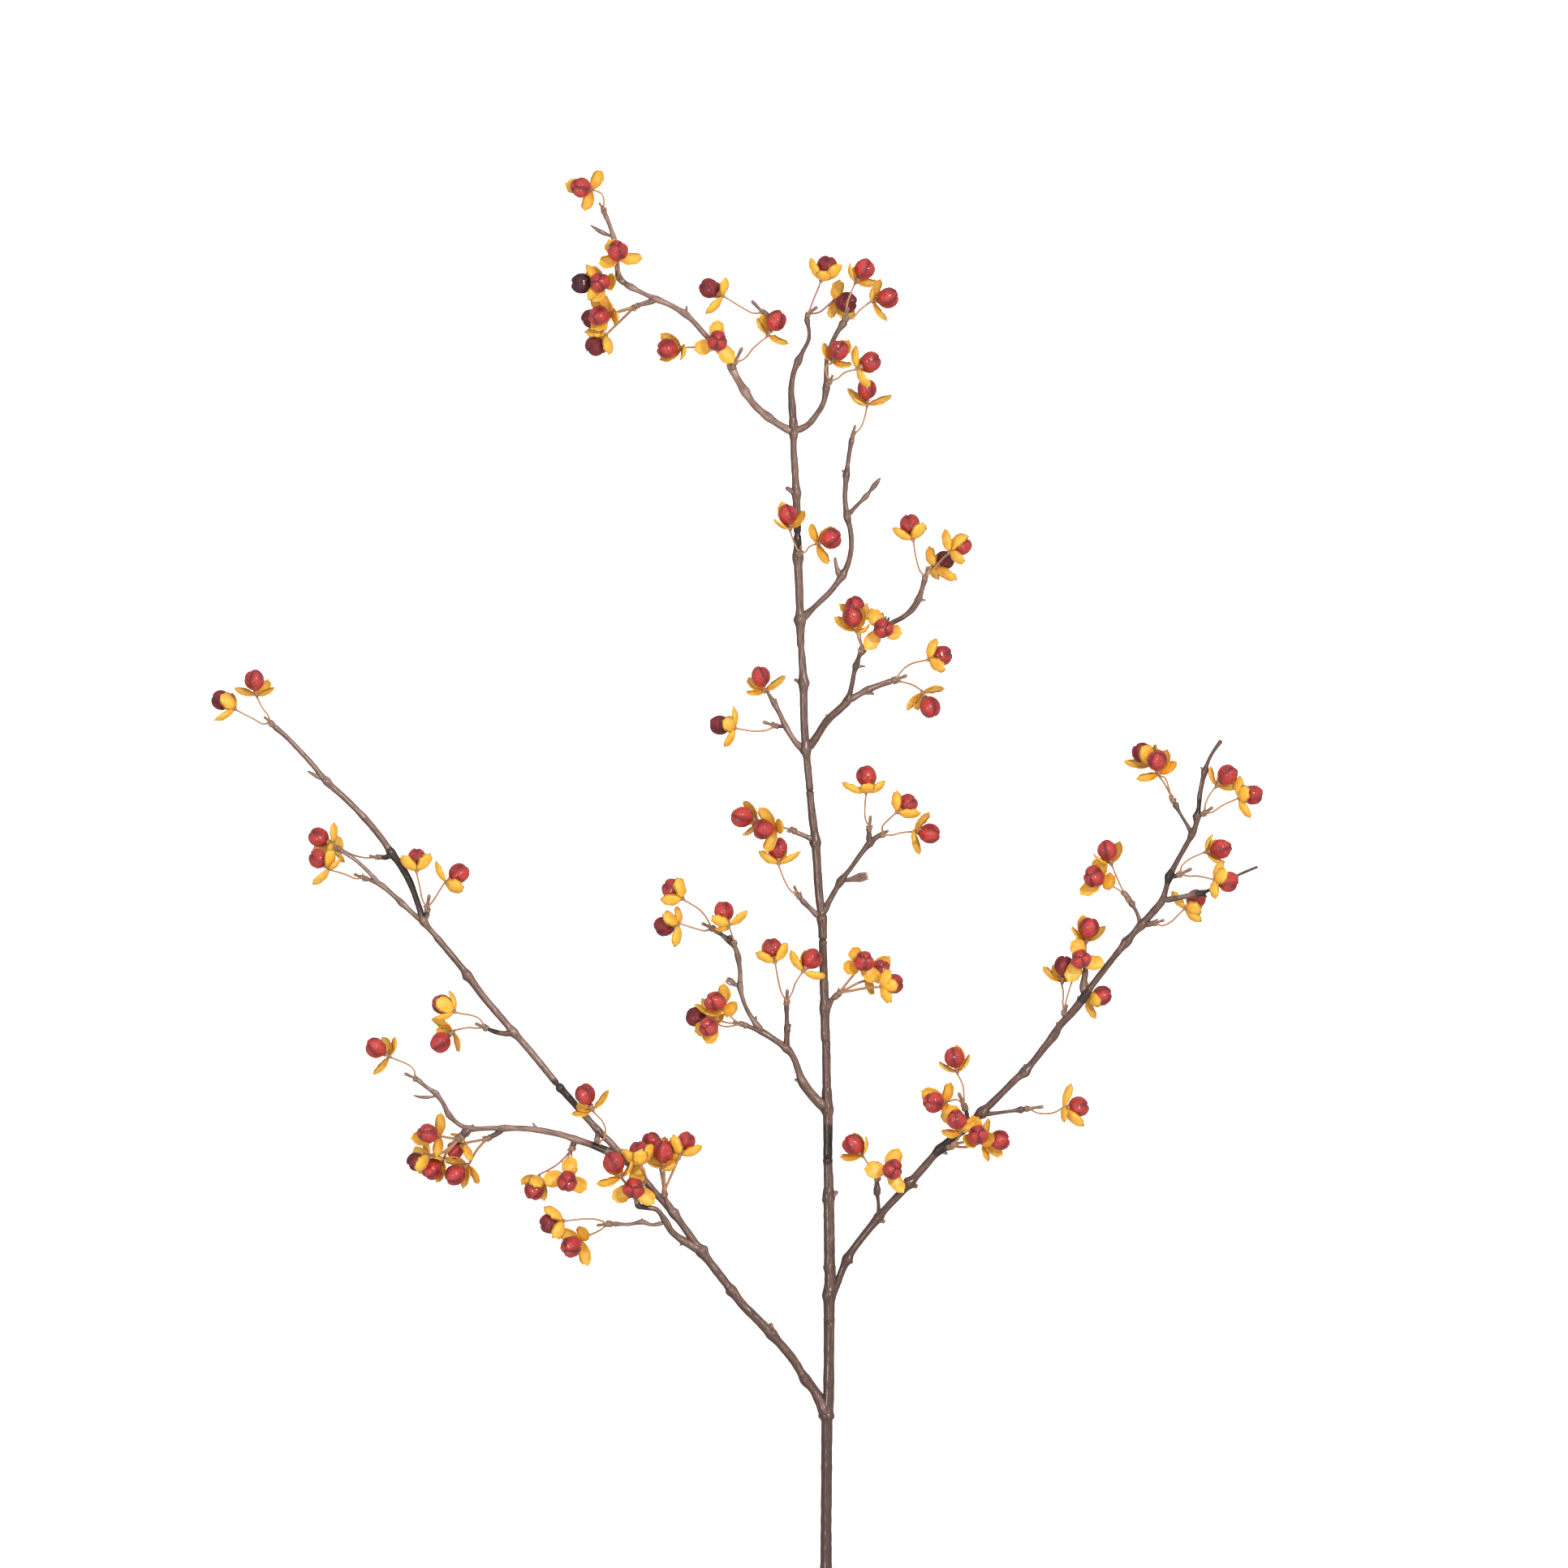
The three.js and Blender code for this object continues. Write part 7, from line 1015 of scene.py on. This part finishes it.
# a valve's tip is as far above or below the seat as its length allows
tipGap = np.linalg.norm(huskFlat[..., :2] - seats[:, None, :2], axis=2)
tipRise = np.sqrt(np.maximum(0, headValues["huskLength"] ** 2 - tipGap ** 2))
tipHeight = seats[:, None, 2] + huskFlat[..., 2] * tipRise
tips = np.concatenate([huskFlat[..., :2], tipHeight[..., None]], axis=2)


def furrowFrames():
    # the direction square to each axis that falls best between the three valves
    helper = np.where(np.abs(axes[:, 2:]) < 0.9, np.array([[0.0, 0, 1]]), np.array([[1.0, 0, 0]]))
    side = unit(np.cross(helper, axes))
    up = -np.cross(axes, side)
    reach = tips - seats[:, None]
    turn = 3 * np.arctan2(np.einsum("hvi,hi->hv", reach, up), np.einsum("hvi,hi->hv", reach, side))
    mean = np.arctan2(np.sin(turn).sum(axis=1), np.cos(turn).sum(axis=1))
    turn = ((mean % (2 * np.pi)) - np.pi)[:, None] / 3
    side = side * np.cos(turn) + up * np.sin(turn)
    return side, -np.cross(axes, side)


# deep is the colour of the painted shade in the furrows, the wrinkle folds and the hollows between lumps
berryValues = dict(meridians=24, rings=13, latitudes=(9, 163), size=1.02, furrow=0.18, narrow=0.5, pole=0.07,
                   seam=0.025, chin=1.10, taper=0.10, waves=(0.025, 0.025, 0.025, 0.014, 0.014),
                   dimples=0.012, ripeFrom=0.4,
                   red=(0.555, 0.047, 0.036), crimson=(0.45, 0.030, 0.029), glow=(0.64, 0.10, 0.06),
                   deep=(0.10, 0.005, 0.010), maroon=(0.088, 0.011, 0.019), black=(0.022, 0.008, 0.012))


def spread(origin, *terms):
    # for every head or valve at once: its origin plus each direction times a grid of amounts
    points = origin[:, None, None]
    for direction, amount in terms:
        points = points + direction[:, None, None] * amount[..., None]
    return points


def makeBerries(values, chosen):
    # radius times the lobes: |sin| of one and a half turns, sharpened, which is 0 in each of three furrows
    side, up = (field[chosen] for field in furrowFrames())
    middle, axis, size = centres[chosen], axes[chosen], berryRadius[chosen] * values["size"]
    heads, m, n = len(middle), values["meridians"], values["rings"]
    turn = fullTurn(m)
    lat = np.radians(np.linspace(*values["latitudes"], n))[:, None]
    cheek = np.abs(np.sin(1.5 * turn)) ** values["narrow"]
    depth = values["furrow"] * (1 - 0.55 * smooth(np.radians(60), np.radians(160), lat))
    lobes = 1 - depth * (1 - cheek) - values["seam"] * (1 - np.abs(np.cos(1.5 * turn)) ** 0.4) * np.sin(lat)
    lobes = lobes - values["pole"] * np.exp(-(lat / np.radians(20)) ** 2)
    height = np.where(np.cos(lat) > 0, np.cos(lat), values["chin"] * np.cos(lat)) * lobes
    width = np.sin(lat) * (1 - values["taper"] * smooth(np.radians(110), np.radians(165), lat)) * lobes
    # no berry is even: slow waves round it, and dimples
    waves = [np.cos(turn[0]), np.sin(turn[0]), np.cos(2 * turn[0]), np.cos(5 * turn[0]), np.sin(7 * turn[0])]
    uneven = 1 + draw.normal(0, values["waves"], (heads, 1, 5)) @ np.stack(waves)
    uneven = uneven + draw.normal(0, values["dimples"], (heads, n, m)) * np.sin(lat)
    reach = size[:, None, None] * width * uneven
    points = spread(middle, (axis, size[:, None, None] * height * uneven), (side, reach * np.cos(turn)),
                    (up, reach * np.sin(turn)))
    top = middle + axis * (size * (0.99 - values["furrow"] - values["pole"] * 0.4))[:, None]
    bottom = seats[chosen] + axis * 0.3
    flat = np.concatenate([points.reshape(heads, -1, 3), top[:, None], bottom[:, None]], axis=1)
    count = flat.shape[1]
    # rings run from the far end towards the seat, against the axis
    quads, tris = gridFaces(n, m, True), poleFaces(n, m)
    shift = (np.arange(heads) * count)[:, None, None]
    # a mask of the three furrows, for their painted shade
    furrowShade = np.clip((1 - cheek) * 1.6, 0, 1) * (1 - 0.5 * smooth(np.radians(70), np.radians(150), lat))
    furrowShade = np.concatenate([furrowShade.ravel(), [1.0, 0.6]])
    swirl = np.stack(np.broadcast_arrays(np.cos(turn), np.sin(turn), lat), axis=-1).reshape(-1, 3)
    swirl = np.concatenate([swirl, [[0, 0, 0], [0, 0, np.pi]]])
    offset = np.repeat(draw.uniform(0, 40, (heads, 3)), count, axis=0)
    ripe = ripeness[chosen]
    ripe = np.clip(ripe + draw.uniform(0, 0.12, heads) * (ripe < values["ripeFrom"]), 0, 1)
    layers = dict(furrowShade=np.tile(furrowShade, heads), swirl=np.tile(swirl, (heads, 1)) + offset,
                  ripe=np.repeat(ripe, count))
    return flat.reshape(-1, 3), (quads + shift).reshape(-1, 4), (tris + shift).reshape(-1, 3), layers


def berryMaterial(name, values, coat):
    # red and crimson by broad clouds, painted shade in the hollows between lumps, in the wrinkle folds and
    # in the furrows, and maroon to black by ripeness
    look = Look(name, values, Specular_IOR_Level=0.25, Coat_Weight=coat, Coat_Roughness=0.09)
    place = look.place()
    swirl = look.layer("swirl", "Vector")
    mottling = look.noise(place, 700.0, 4.0, 0.6)
    lumps = look.noise(place, 330.0, 2.0, 0.5, 0.6)
    broad = look.noise(place, 90.0, 2.0)
    wrinkle = look.noise(look.stretch(swirl, (1.0, 1.0, 2.2)), 0.9, 1.0, 0.4, 0.3)
    fold = look.math("ABSOLUTE", look.math("SUBTRACT", wrinkle, 0.5))
    ripe = look.layer("ripe")
    turned = look.times(ripe, look.ramp(lumps, 0.3, 0.5, (1.0, 0.85)))
    # the deep coats are painted shade: in the hollows between lumps, in the wrinkle folds and in the furrows
    colour = look.coats(look.blend(look.ramp(broad, 0.35, 0.65), values["red"], values["crimson"]),
                        (look.ramp(lumps, 0.50, 0.36, (0.0, 0.22)), "deep"),
                        (look.ramp(mottling, 0.55, 0.75, (0.0, 0.3)), "glow"),
                        (look.ramp(fold, 0.05, 0.0, (0.0, 0.22)), "deep"),
                        (look.times(look.layer("furrowShade"), 0.85), "deep"), (turned, "maroon"),
                        (look.ramp(ripe, 0.9, 1.0, (0.0, 0.7)), "black"))
    rough = look.math("ADD", look.ramp(mottling, 0.3, 0.75, (0.2, 0.38)), look.times(ripe, 0.2))
    height = look.math("ADD", look.ramp(fold, 0.0, 0.09, (0.0, 0.6)), look.times(mottling, 0.25))
    height = look.math("ADD", height, look.times(lumps, 0.8))
    return look.finish(colour, rough, height, 0.0006, 0.8)


isRipe = ripeness >= berryValues["ripeFrom"]
ripeNames = {allHeads[k][0] for k in np.flatnonzero(isRipe)}
makePiece("freshBerries", [makeBerries(berryValues, np.flatnonzero(~isRipe))],
          berryMaterial("freshBerrySkin", berryValues, 0.5), bunchNodes)
makePiece("ripeBerries", [makeBerries(berryValues, np.flatnonzero(isRipe))],
          berryMaterial("ripeBerrySkin", berryValues, 0.2),
          ["bunch_" + name for name in bunches if name in ripeNames])

# the husks
# light is the pale yellow of the painted highlight in the middle of each face and of the veins on the back;
# outer is also the painted shade towards each face's edges and foot
huskValues = dict(halfWidth=4.85, bowl=2.9, thickness=0.7, clearance=0.4, torn=0.3, twist=0.35, ripple=0.22,
                  columns=(-1, -0.64, 0, 0.64, 1),
                  rows=(0, 0.12, 0.26, 0.40, 0.54, 0.67, 0.79, 0.87, 0.925, 1),
                  widths=(0.22, 0.55, 0.84, 1.0, 1.03, 1.0, 0.88, 0.66, 0.28, 0.05),
                  inner=(0.84, 0.455, 0.046), light=(0.86, 0.585, 0.125), outer=(0.80, 0.315, 0.018),
                  rim=(0.68, 0.29, 0.03))


def makeHusks(values):
    # a spoon: chord times t, across times the width there, and a bowl that is deepest in the middle
    valves = 3 * len(centres)
    axis = np.repeat(axes, 3, axis=0)
    middle = np.repeat(centres, 3, axis=0)
    least = np.repeat(berryRadius * berryValues["size"] + values["clearance"], 3)[:, None, None]
    root = np.repeat(seats - axes * headValues["valveDrop"], 3, axis=0)
    chord = tips.reshape(-1, 3) - root
    length = np.linalg.norm(chord, axis=1)
    chord = unit(chord)
    inward = unit(axis - chord * dot(axis, chord))
    across = np.cross(inward, chord)
    t, s = np.array(values["rows"])[:, None], np.array(values["columns"])[None, :]
    rows, columns = len(t), s.shape[1]
    width = np.array(values["widths"])[:, None]
    arch = np.clip(4 * t * (1 - t), 0, 1) ** 0.8
    twist = draw.normal(0, values["twist"], (valves, 1, 1))
    ripple = draw.normal(0, values["ripple"], (valves, rows, columns)) * (np.abs(s) * arch)
    stout = draw.uniform(0.93, 1.07, (valves, 1, 1))
    deep = values["bowl"] * arch * (1 - 0.8 * s ** 2) * draw.uniform(0.8, 1.15, (valves, 1, 1))
    deep = deep + ripple + twist * s * t
    # the edges are torn, and the last fifth twice
    tear = draw.normal(0, values["torn"], (2, valves, rows, columns)) * (np.abs(s) > 0.9) * arch
    tear[1, :, 1:-1] += draw.normal(0, values["torn"] * 0.5, (valves, rows - 2, columns)) * (t[1:-1] > 0.8)

    def skin(offset):
        # the spoon that far outside its face, kept clear of the berry
        point = spread(root, (chord, length[:, None, None] * t + tear[1]), (inward, -(deep + offset)),
                       (across, values["halfWidth"] * stout * width * s + tear[0]))
        outward = point - middle[:, None, None]
        inside = (np.linalg.norm(outward, axis=-1) < least + offset)[..., None]
        return np.where(inside, middle[:, None, None] + unit(outward) * (least + offset)[..., None], point)

    face, back = skin(0.0), skin(values["thickness"])
    # the rim is shared: halfway between the skins
    border = np.ones((rows, columns), bool)
    border[1:-1, 1:-1] = False
    face = np.where(border[None, ..., None], (face + back) / 2, face)
    cells = gridFaces(rows, columns, False)
    backIndex = np.arange(rows * columns)
    inner = np.flatnonzero(~border.ravel())
    both = np.concatenate([backIndex, inner])
    backIndex[inner] = rows * columns + np.arange(len(inner))
    quads = np.concatenate([cells[:, [0, 3, 2, 1]], backIndex[cells]])
    points = np.concatenate([face.reshape(valves, -1, 3), back.reshape(valves, -1, 3)[:, inner]], axis=1)
    wide, along = (np.broadcast_to(field, (rows, columns)).ravel()[both] for field in (s, t))
    backed = np.concatenate([np.where(border.ravel(), 0.5, 0.0), np.ones(len(inner))])
    leaf = np.stack([wide, along, backed], axis=-1)
    layers = dict(leaf=np.tile(leaf, (valves, 1)), tint=np.repeat(draw.uniform(0, 1, valves), len(leaf)))
    shift = (np.arange(valves) * len(leaf))[:, None, None]
    return points.reshape(-1, 3), (quads + shift).reshape(-1, 4), np.zeros((0, 3), int), layers


def huskMaterial(values):
    # an amber face, paler yellow in its middle, partly its own colour and partly a painted highlight, and
    # orange towards its edges and foot as painted shade; a veined orange back, and a darker rim and tip
    look = Look("huskSkin", values, Specular_IOR_Level=0.4, Coat_Weight=0.12, Coat_Roughness=0.3,
                Subsurface_Weight=0.4, Subsurface_Radius=(0.6, 0.45, 0.2), Subsurface_Scale=0.002)
    leaf = look.node("ShaderNodeSeparateXYZ")
    look.feed(leaf, 0, look.layer("leaf", "Vector"))
    wide, along, backed = leaf.outputs
    tint = look.layer("tint")
    cloud = look.noise(look.place(), 240.0, 3.0)
    vein = look.math("ADD", look.times(wide, 17.0), look.times(cloud, 2.5))
    vein = look.math("SINE", vein)
    # the middle of the face: its paler yellow is partly its own colour and partly a painted highlight
    heart = look.math("SUBTRACT", 1.0, look.math("ABSOLUTE", wide))
    heart = look.times(heart, look.ramp(along, 0.2, 0.55))
    lemonAndHighlight = look.times(look.ramp(heart, 0.15, 0.75), look.ramp(tint, 0.0, 1.0, (0.35, 1.0)))
    front = look.blend(look.times(lemonAndHighlight, look.ramp(cloud, 0.3, 0.55)), values["inner"], values["light"])
    # orange towards the edges and the foot of the face is painted shade; the orange of the cloud's low
    # patches is its own colour
    front = look.coats(front, (look.ramp(cloud, 0.5, 0.38, (0.0, 0.35)), "outer"),
                       (look.ramp(look.math("ABSOLUTE", wide), 0.35, 1.0, (0.0, 0.6)), "outer"),
                       (look.ramp(along, 0.45, 0.12, (0.0, 0.95)), "outer"))
    rear = look.coats(look.blend(look.ramp(cloud, 0.38, 0.6), values["outer"], values["inner"]),
                      (look.ramp(vein, 0.3, 1.0, (0.0, 0.3)), "light"), (look.times(tint, 0.55), "inner"))
    colour = look.coats(look.blend(look.ramp(backed, 0.4, 0.75), front, rear),
                        (look.ramp(look.math("ABSOLUTE", wide), 0.86, 1.0, (0.0, 0.75)), "rim"),
                        (look.ramp(along, 0.93, 1.0, (0.0, 0.7)), "outer"))
    rough = look.ramp(cloud, 0.3, 0.7, (0.34, 0.5))
    height = look.math("ADD", look.times(look.times(vein, backed), 0.2), cloud)
    return look.finish(colour, rough, height, 0.0003, 0.8)


makePiece("husks", [makeHusks(huskValues)], huskMaterial(huskValues), bunchNodes)

# stalks and receptacles; a receptacle's rows are the distance from the seat, the radius and the woody tone
stalkValues = dict(step=1.6, sides=8, radius=0.62, thickRadius=0.86, startAlongCollar=0.75, ribs=0.03,
                   startGirths=(1.5, 1.25, 1.1), startTones=(0.5, 0.3), tone=0.12,
                   receptacle=((-4.5, 0.72, 0.3), (-3.9, 1.02, 0.6), (-3.2, 1.42, 0.8), (-2.5, 1.5, 0.8),
                               (-1.8, 1.2, 0.6), (-1.2, 1.05, 0.35), (-0.5, 1.6, 0.2), (0.4, 2.1, 0.1)),
                   tan=(0.46, 0.235, 0.115), rosy=(0.42, 0.16, 0.13), brown=(0.21, 0.125, 0.085),
                   bud=(0.11, 0.066, 0.050), thread=(0.52, 0.36, 0.24))
pinkStalks = ("crown_high", "left_arm_drop")
thickStalks = ("crown_low", "lower_right", "left_knee", "left_fork", "left_arm_end", "left_arm_twig",
               "right_bend")


def stalkKnots(start, head, neck):
    # from the collar by the listed points to the neck; a point with no height takes its share of the climb
    points = [tuple(neck)] + [tuple(p) for p in reversed(head["stalk"])] + [tuple(start)]
    flat = np.array([p[:2] for p in points])
    run = runAlong(flat)
    known = [i for i, p in enumerate(points) if len(p) == 3]
    heights = np.interp(run, run[known], [points[i][2] for i in known])
    return np.column_stack([flat, heights])[::-1]


def roundPart(centre, radius, sides, ribs, tone, rosy=0.0):
    # a tube of the given radii, lightly ribbed, with its woody tone on every point
    along, side, up = framesAlong(centre)
    run = runAlong(centre)
    reach, angles = ribbed(run, radius, sides, ribs)
    points, quads, tris = closedTube(sweep(centre, side, up, reach, angles))
    tones = withPoles(np.asarray(tone, float)[:, None], len(centre), sides)
    return points, quads, tris, dict(grain=grainOf(angles, radius.mean(), run), woody=tones,
                                     rosy=np.full(len(points), float(rosy)))


def makeStalks(values):
    # each runs from its collar to its berry's seat and ends in the receptacle's rows
    parts = []
    away, girths, tones = np.array(values["receptacle"]).T
    for (name, _, head), seat, axis in zip(allHeads, seats, axes):
        foot, top = np.array(bunches[name]["collar"][:2], float)
        start = foot + (top - foot) * values["startAlongCollar"]
        neck = seat - axis * headValues["receptacleLength"]
        route = curveThrough(stalkKnots(start, head, neck), values["step"])[0][:-1]
        thickness = values["thickRadius"] if name in thickStalks else values["radius"]
        radius = np.concatenate([np.full(len(route), thickness), girths])
        radius[:3] *= values["startGirths"]
        tone = np.concatenate([np.full(len(route), values["tone"]), tones])
        tone[:2] = values["startTones"]
        centre = np.concatenate([route, seat + axis * away[:, None]])
        parts.append(roundPart(centre, radius, values["sides"], values["ribs"], tone, name in pinkStalks))
    return parts


# collars: a sleeve's rows are the share along it, the share of its radius and the woody tone, a scale's are
# its radius and tone, and a bud's two profiles are the shares along it and the girth or the tone there
collarValues = dict(sides=10, ribs=0.2, scales=5, scaleTurn=1.2566, scaleSides=6, scaleRibs=0.14,
                    sleeve=((-0.15, 0.78, 1.0), (0.05, 0.98, 1.0), (0.28, 1.02, 0.9), (0.5, 0.82, 1.15),
                            (0.72, 0.95, 0.8), (0.9, 0.8, 1.0), (1.04, 0.45, 0.8)),
                    scale=((0.6, 1.1), (0.95, 0.8), (0.8, 0.5), (0.42, 0.75), (0.08, 1.2)),
                    budSides=8, budRows=9, budRibs=0.12, mostGirth=1.2, leastGirth=0.45, girthPerLength=0.09,
                    budShape=([0, 0.12, 0.3, 0.55, 0.8, 0.93, 1], [0.85, 0.8, 0.95, 0.9, 1.12, 1.0, 0.6]),
                    budTone=([0, 0.3, 0.6, 0.85, 1], [0.7, 1.0, 1.1, 0.9, 0.5]))


def clasp(foot, top, radius, values):
    # pointed scales at even turns round the sleeve, each leaning out from a place along it
    along = unit(top - foot)
    side = unit(np.cross(along, (0.3, 0.2, 1)))
    girths, tones = np.array(values["scale"]).T
    t = np.linspace(0, 1, len(girths))[:, None]
    parts = []
    for turn in draw.uniform(0, 1.2) + np.arange(values["scales"]) * values["scaleTurn"]:
        out = side * np.cos(turn) + np.cross(along, side) * np.sin(turn)
        start = foot + (top - foot) * draw.uniform(-0.1, 0.75) + out * radius * 0.62
        end = start + along * draw.uniform(1.8, 3.2) + out * draw.uniform(0.4, 1.5)
        girth = girths * draw.uniform(0.75, 1.1)
        parts.append(roundPart(start + (end - start) * t, girth, values["scaleSides"], values["scaleRibs"],
                               tones + draw.uniform(-0.3, 0.3)))
    return parts


def makeCollars(values):
    # a knobby sleeve, the scales that clasp it, and the ribbed bud beyond it
    parts = []
    places, shares, tones = np.array(values["sleeve"]).T
    for bunch in bunches.values():
        foot, top, radius = (np.array(v, float) for v in bunch["collar"])
        parts.append(roundPart(foot + (top - foot) * places[:, None], radius * shares, values["sides"],
                               values["ribs"], tones))
        parts += clasp(foot, top, radius, values)
        if bunch["bud"]:
            base, tip = top - (top - foot) * 0.15, np.array(bunch["bud"], float)
            t = np.linspace(0, 1, values["budRows"])
            girth = values["leastGirth"] + np.linalg.norm(tip - base) * values["girthPerLength"]
            girth = np.interp(t, *values["budShape"]) * min(values["mostGirth"], girth)
            parts.append(roundPart(base + (tip - base) * t[:, None], girth, values["budSides"],
                                   values["budRibs"], np.interp(t, *values["budTone"])))
    return parts


def stalkMaterial(name, values):
    # tan or rosy, browned by the woody tone, with pale threads along the grain
    look = Look(name, values, Specular_IOR_Level=0.45, Coat_Weight=0.1, Coat_Roughness=0.3)
    grain = look.layer("grain", "Vector")
    fibre = look.noise(look.stretch(grain, (1.0, 1.0, 0.2)), 1.8, 4.0, 0.6)
    blotch = look.noise(grain, 0.6, 2.0)
    woody = look.layer("woody")
    dried = look.math("ADD", woody, look.ramp(fibre, 0.4, 0.7, (-0.15, 0.2)), clamp=True)
    colour = look.coats(look.blend(look.layer("rosy"), values["tan"], values["rosy"]),
                        (look.ramp(blotch, 0.45, 0.7, (0.0, 0.35)), "rosy"), (dried, "brown"),
                        (look.ramp(woody, 0.95, 1.2), "bud"),
                        (look.ramp(fibre, 0.62, 0.8, (0.0, 0.4)), "thread"))
    rough = look.ramp(fibre, 0.3, 0.7, (0.36, 0.52))
    return look.finish(colour, rough, fibre, 0.0004, 0.8)


makePiece("stalks", makeStalks(stalkValues), stalkMaterial("stalkSkin", stalkValues), bunchNodes)
makePiece("collars", makeCollars(collarValues), stalkMaterial("collarSkin", stalkValues), bunchNodes)

# the surface under it, in metres
floorValues = dict(reach=30, shade=(0.85, 0.85, 0.85, 1), glow=0.75)


def makeFloor(values):
    # a square about the origin that lights nothing and shows in no reflection
    far = values["reach"]
    mesh = bpy.data.meshes.new("paleFloor")
    mesh.from_pydata([(-far, -far, 0), (far, -far, 0), (far, far, 0), (-far, far, 0)], [], [(0, 1, 2, 3)])
    floor = bpy.data.objects.new("paleFloor", mesh)
    bpy.context.scene.collection.objects.link(floor)
    look = Look("palePaper", values, Base_Color=values["shade"], Roughness=0.9, Specular_IOR_Level=0.1,
                Emission_Color=(1, 1, 1, 1), Emission_Strength=values["glow"])
    mesh.materials.append(look.material)
    floor.visible_diffuse = False
    floor.visible_glossy = False


makeFloor(floorValues)
print("floor placed")
